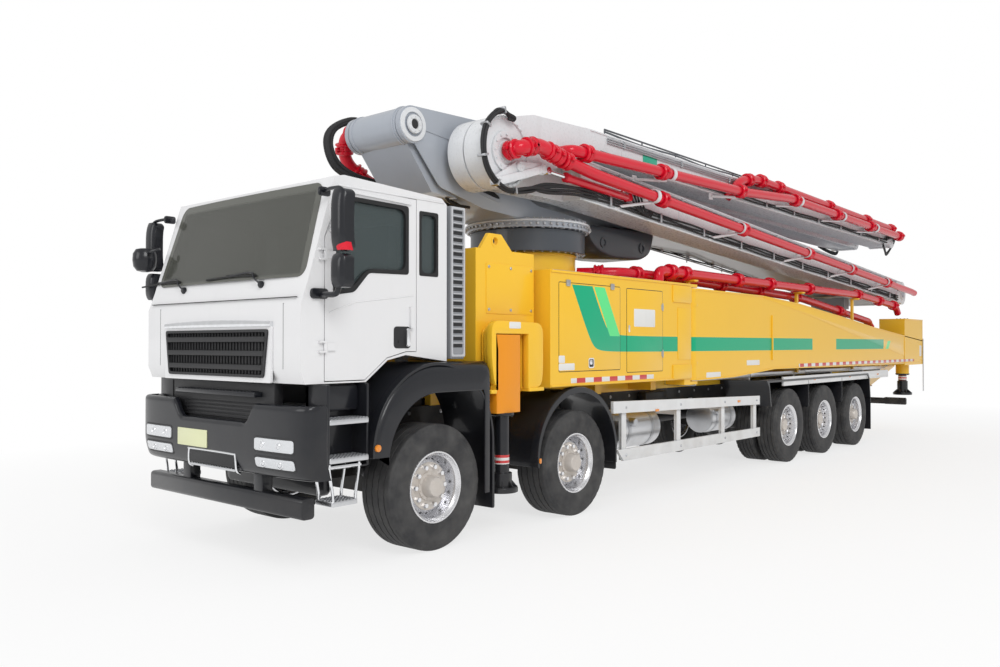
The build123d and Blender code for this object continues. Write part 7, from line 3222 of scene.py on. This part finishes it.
@dataclass
class Underbody:
    """Leaf springs, shafts, gearbox, silencer, air bottles, battery case and lines on the frame."""

    steer: tuple[float, ...] = (6.35, 4.35)
    drive: tuple[float, ...] = (-1.0, -2.4, -3.85)

    def spring(self, x: float, low: float, half: float, leaves: int) -> Surface:
        """A pack of leaves, each a curved strip: z = low + rise * (s / half)^2 along s.

        Args:
            x: The axle's place.
            low: Height of the top leaf's middle.
            half: Half its length.
            leaves: How many leaves.

        Returns:
            The pack with its clamps and hangers.
        """
        rows = []
        rise, pitch, thick, shorter = 0.13, 0.019, 0.016, 0.11
        for k in range(leaves):
            reach = half * (1 - shorter * k)
            s = np.linspace(-reach, reach, 15)
            z = low + rise * (s / half) ** 2 - pitch * k
            foot, head = np.stack([s + x, z], 1), np.stack([s + x, z + thick], 1)
            rows.append(slab(np.vstack([foot, head[::-1]]), 0.39, 0.47, "y", 0.002))
        rows += [
            panel(
                (x + d - 0.02, 0.38, low - pitch * leaves - 0.02), (x + d + 0.02, 0.48, low + 0.03),
                "z", 0.006,
            )
            for d in (-0.08, 0.08)
        ]
        rows += [
            slab(
                [
                    (x + d * half - 0.05, 1.02), (x + d * half + 0.05, 1.02),
                    (x + d * half + 0.03, low + 0.1), (x + d * half - 0.03, low + 0.1),
                ],
                0.4, 0.46, "y", 0.005,
            )
            for d in (-1, 1)
        ]
        return union(rows)

    def build(self) -> None:
        """Makes the running gear's fixed parts and what hangs on the frame."""
        node = "ladder_frame"
        springs = [
            self.spring(x, 0.72, 0.62, 5)
            for x in self.steer
        ] + [self.spring(x, 0.74, 0.55, 7) for x in self.drive]
        dampers = [
            spun(
                [(0.62, 0.028), (0.8, 0.028), (0.8, 0.036), (1.02, 0.036)], "z", (x + 0.3, 0.52, 0),
                16,
            )
            for x in (*self.steer, *self.drive)
        ]
        fit_both("springs", springs + dampers, node, Finish.CHASSIS)
        shaft_z, shafts = 0.7, []
        stops = ((5.15, 4.62), (4.08, 1.3), (1.26, -0.62), (-1.34, -2.02), (-2.7, -3.42))
        for front, rear in stops:
            shafts.append(
                spun(
                    [
                        (rear, 0.075), (rear + 0.03, 0.075), (rear + 0.04, 0.045),
                        (rear + 0.12, 0.058), (front - 0.12, 0.058), (front - 0.04, 0.045),
                        (front - 0.03, 0.075), (front, 0.075),
                    ],
                    "x", (0, 0, shaft_z), 24,
                )
            )
        box = panel(
            (4.02, -0.22, 0.56), (4.64, 0.22, 1.02), "x", 0.07, 0.03,
        ) + panel((5.12, -0.25, 0.62), (5.8, 0.25, 1.1), "x", 0.1, 0.03) + panel(
            (1.22, -0.05, 0.64), (1.34, 0.05, 1.02), "x", 0.02, 0.01,
        )
        fit("drive_shafts", union(shafts) + box, node, Finish.IRON)
        silencer = spun(
            [(0.0, 0.06), (0.01, 0.17), (0.03, 0.19), (0.77, 0.19), (0.79, 0.17), (0.8, 0.06)], "x",
            (3.0, 0.0, 0.72), 40,
        ).moved((-0.9, -0.02, -0.02))
        pipe = tube(
            bent(
                [(5.2, -0.3, 1.02), (4.7, -0.3, 0.84), (3.2, -0.1, 0.7), (2.88, -0.02, 0.7)], 0.15,
                7,
            ),
            0.045, 14,
        )
        fit("exhaust", silencer + pipe, node, Finish.STEEL)
        bottles = []
        for x in (-5.05, -5.45, 1.62):
            bottles.append(
                spun(
                    [
                        (-0.33, 0.02), (-0.31, 0.08), (-0.27, 0.105), (0.27, 0.105), (0.31, 0.08),
                        (0.33, 0.02),
                    ],
                    "y", (x, 0.0, 0.78), 28,
                )
            )
            bottles += [
                flat_ring(y, y + 0.03, 0.104, 0.11, "y", (x, 0, 0.78), 28)
                for y in (-0.2, 0.17)
            ]
        fit("air_bottles", union(bottles), node, Finish.CHASSIS)
        runs = []
        for k in range(5):
            y, z = 0.372 - 0.022 * k, 1.02 + 0.026 * (k % 3)
            runs.append(
                hose(
                    [
                        (6.9, y, z), (4.2, y + 0.008, z + 0.01), (1.2, y, z),
                        (-2.4, y + 0.006, z - 0.01), (-6.1, y, z),
                    ],
                    8, 0.01, 8,
                )
            )
        fit_both("frame_lines", runs, node, Finish.HOSE)
        studs = [(x, 0.47, z) for x in np.arange(-6.2, 7.1, 0.42) for z in (0.93, 1.1)]
        fit_both("frame_studs", [bolts(studs, "y", 0.014, 0.01)], node, Finish.STEEL)
        gear = [
            panel((x - 0.26, 0.485, 1.0), (x + 0.26, 0.6, 1.14), "x", 0.02, 0.008)
            for x in (1.75, -5.5)
        ]
        fit_both("frame_boxes", gear, node, Finish.CHASSIS)
        for name, xs in (("steer_axles", self.steer), ("drive_axles", self.drive)):
            pots, covers = [], []
            for x in xs:
                pots.append(
                    spun(
                        [(0.0, 0.07), (0.02, 0.085), (0.1, 0.085), (0.12, 0.07), (0.18, 0.03)], "x",
                        (x + 0.1, 0.56, 0.64), 24,
                    )
                )
                if name == "drive_axles":
                    covers.append(
                        spun(
                            [
                                (x - 0.2, 0.04), (x - 0.19, 0.14), (x - 0.12, 0.205),
                                (x + 0.02, 0.215), (x + 0.13, 0.2), (x + 0.19, 0.13),
                                (x + 0.3, 0.075),
                            ],
                            "x", (0, 0, 0.56), 40,
                        )
                    )
                    covers.append(bolt_ring((x - 0.12, 0, 0.56), 0.18, 12, "x", 0.01, -0.012))
            fit(
                f"{name}_pots",
                both(union(pots)) + (union(covers) if covers else Surface(np.zeros((0, 3)), [])),
                name, Finish.IRON,
            )


ASSEMBLIES = (
    Bumper, CabFront, CabSides, AirStack, BoomFittings, SideBoxes, FrontStands, RearStands,
    Mudguards, RearEnd, PumpDeck, Underbody,
)


# ---- plain CAD nodes ------------------------------------------------------------------
# node, finish and how far its edges are rounded; a name ending in _ stands for both sides
SKINS = (
    ("ladder_frame", Finish.CHASSIS, 0.003), ("engine", Finish.IRON, 0.02),
    ("steer_axles", Finish.CHASSIS, 0.01), ("drive_axles", Finish.CHASSIS, 0.01),
    ("cab_shell", Finish.CAB, 0.016), ("cab_interior", Finish.TRIM, 0.02),
    ("front_bumper", Finish.BLACK, 0.022), ("front_fenders", Finish.BLACK, 0.007),
    ("rear_fenders", Finish.BLACK, 0.004), ("cab_steps", Finish.ALUMINIUM, 0.004),
    ("side_guards", Finish.WHITE, 0.008), ("tanks", Finish.ALUMINIUM, 0.02),
    ("air_stack", Finish.STACK, 0.008), ("mirrors", Finish.BLACK, 0.012),
    ("pedestal", Finish.YELLOW, 0.008), ("side_boxes", Finish.FLANK, 0.01),
    ("pump_unit", Finish.PUMP, 0.01), ("hopper", Finish.YELLOW, 0.006),
    ("deck_pipes", Finish.RED, 0.006), ("pipe_posts", Finish.YELLOW, 0.004),
    ("slew_guard", Finish.GUARD_AND_SHADE, 0.008), ("door_", Finish.CAB, 0.006),
    ("front_outrigger_", Finish.YELLOW, 0.01), ("front_jack_", Finish.BLACK, 0.006),
    ("rear_outrigger_", Finish.FLANK, 0.01), ("rear_jack_", Finish.BLACK, 0.006),
    ("turret", Finish.SLATE, 0.01), ("arm_1", Finish.SLATE, 0.008), ("arm_2", Finish.BOOM, 0.008),
    ("arm_3", Finish.BOOM, 0.008), ("arm_4", Finish.BOOM, 0.008), ("arm_5", Finish.BOOM, 0.007),
    ("arm_6", Finish.BOOM, 0.006), ("arm_7", Finish.BOOM, 0.005), ("pipe_2", Finish.RED, 0.006),
    ("pipe_3", Finish.RED, 0.006), ("pipe_4", Finish.RED, 0.006), ("pipe_5", Finish.RED, 0.006),
    ("knuckle_1_", Finish.IRON, 0.006), ("knuckle_2_", Finish.IRON, 0.006),
    ("door_glass_", Finish.GLASS, 0.0), ("cab_glass", Finish.GLASS, 0.0),
)


def build_skins() -> None:
    """Rounds and dresses the CAD nodes that no finer piece stands for."""
    for node, finish, width in SKINS:
        names = [f"{node}left", f"{node}right"] if node.endswith("_") else [node]
        for name in names:
            if frame["nodes"][name].hide_render:
                continue
            if width:
                soften(name, finish, width)
            else:
                mesh = frame["nodes"][name].data
                mesh.materials.clear()
                mesh.materials.append(coat(finish))


# ---- studio ----------------------------------------------------------------------------
@dataclass
class Studio:
    """Camera, floor and light."""

    eye: Point = (11.566, 6.47, 1.751)
    heading: float = 221.08
    pitch: float = 0.69
    lens: float = 31.29
    fill: float = 0.66

    def camera(self) -> None:
        """A level camera at the height of a person's eye."""
        data = bpy.data.cameras.new("view")
        data.lens, data.sensor_width, data.clip_end = self.lens, 36.0, 500.0
        camera = bpy.data.objects.new("view", data)
        camera.location = self.eye
        camera.rotation_euler = (math.radians(90 + self.pitch), 0, math.radians(self.heading - 90))
        bpy.context.scene.collection.objects.link(camera)
        bpy.context.scene.camera = camera

    def floor(self) -> None:
        """A wide pale sheet that takes the truck's shadow."""
        mesh = bpy.data.meshes.new("floor")
        reach = 150.0
        mesh.from_pydata(
            [(-reach, -reach, 0), (reach, -reach, 0), (reach, reach, 0), (-reach, reach, 0)], [],
            [(0, 1, 2, 3)],
        )
        shade = Shade("pale_floor")
        tone = shade.noise(0.6, detail=3) * 0.02 + 0.9
        colour = shade.mix(tone, 0.0, 1.0)
        lit = shade.node(
            "ShaderNodeBsdfPrincipled", {},
            {"Base Color": colour, "Roughness": 0.9, "Specular IOR Level": 0.1},
        )
        seen = shade.node("ShaderNodeLightPath", {}, {}, 0)
        for output in (3, 6):
            seen = seen + shade.node("ShaderNodeLightPath", {}, {}, output)
        x, y, _ = shade.place()
        away = (x * x * 0.35 + y * y).ramp(4.0, 90.0) * 0.3 + 0.7
        glow = shade.node("ShaderNodeEmission", {}, {"Color": (1.0, 1.0, 1.0, 1.0)})
        shade.finish(
            shade.node("ShaderNodeMixShader", {}, {0: (seen.clamped() * away), 1: lit, 2: glow})
        )
        mesh.materials.append(shade.material)
        floor = bpy.data.objects.new("floor", mesh)
        bpy.context.scene.collection.objects.link(floor)

    def lamp(self, name: str, place: Point, size: float, power: float) -> None:
        """A square soft lamp aimed at the truck's middle.

        Args:
            name: Of the lamp.
            place: Where it hangs.
            size: Length of its side.
            power: In watts.
        """
        data = bpy.data.lights.new(name, "AREA")
        data.size, data.energy = size, power
        lamp = bpy.data.objects.new(name, data)
        lamp.location = place
        aim = mathutils.Vector((0.0, 0.0, 1.5)) - lamp.location
        lamp.rotation_euler = aim.to_track_quat("-Z", "Y").to_euler()
        bpy.context.scene.collection.objects.link(lamp)

    def sky(self) -> None:
        """An even white surround, seen at full white and lighting at less."""
        world = bpy.data.worlds.new("surround")
        world.use_nodes = True
        bpy.context.scene.world = world
        tree = world.node_tree
        tree.nodes.clear()
        path = tree.nodes.new("ShaderNodeLightPath")
        seen = tree.nodes.new("ShaderNodeMath")
        seen.operation = "MAXIMUM"
        tree.links.new(path.outputs["Is Camera Ray"], seen.inputs[0])
        tree.links.new(path.outputs["Is Transmission Ray"], seen.inputs[1])
        strength = tree.nodes.new("ShaderNodeMapRange")
        strength.inputs[3].default_value, strength.inputs[4].default_value = self.fill, 1.0
        tree.links.new(seen.outputs[0], strength.inputs[0])
        background = tree.nodes.new("ShaderNodeBackground")
        background.inputs[0].default_value = (1, 1, 1, 1)
        tree.links.new(strength.outputs[0], background.inputs[1])
        out = tree.nodes.new("ShaderNodeOutputWorld")
        tree.links.new(background.outputs[0], out.inputs[0])

    def build(self) -> None:
        """Sets the studio up."""
        self.camera()
        self.floor()
        self.sky()
        self.lamp("key", (14.0, 16.0, 14.0), 9.0, 1700.0)
        self.lamp("front", (22.0, -4.0, 8.0), 8.0, 500.0)
        scene = bpy.context.scene
        scene.view_settings.view_transform = "Standard"


# ---- making ------------------------------------------------------------------------------
def main() -> None:
    """Builds every sub-assembly in order."""
    logging.basicConfig(level=logging.INFO, format="%(message)s")
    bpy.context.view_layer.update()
    Studio().build()
    build_wheels()
    log.info("wheels done")
    for assembly in ASSEMBLIES:
        assembly().build()
        log.info("%s done", assembly.__name__)
    build_skins()
    log.info("skins done")


if __name__ == "__main__":
    main()
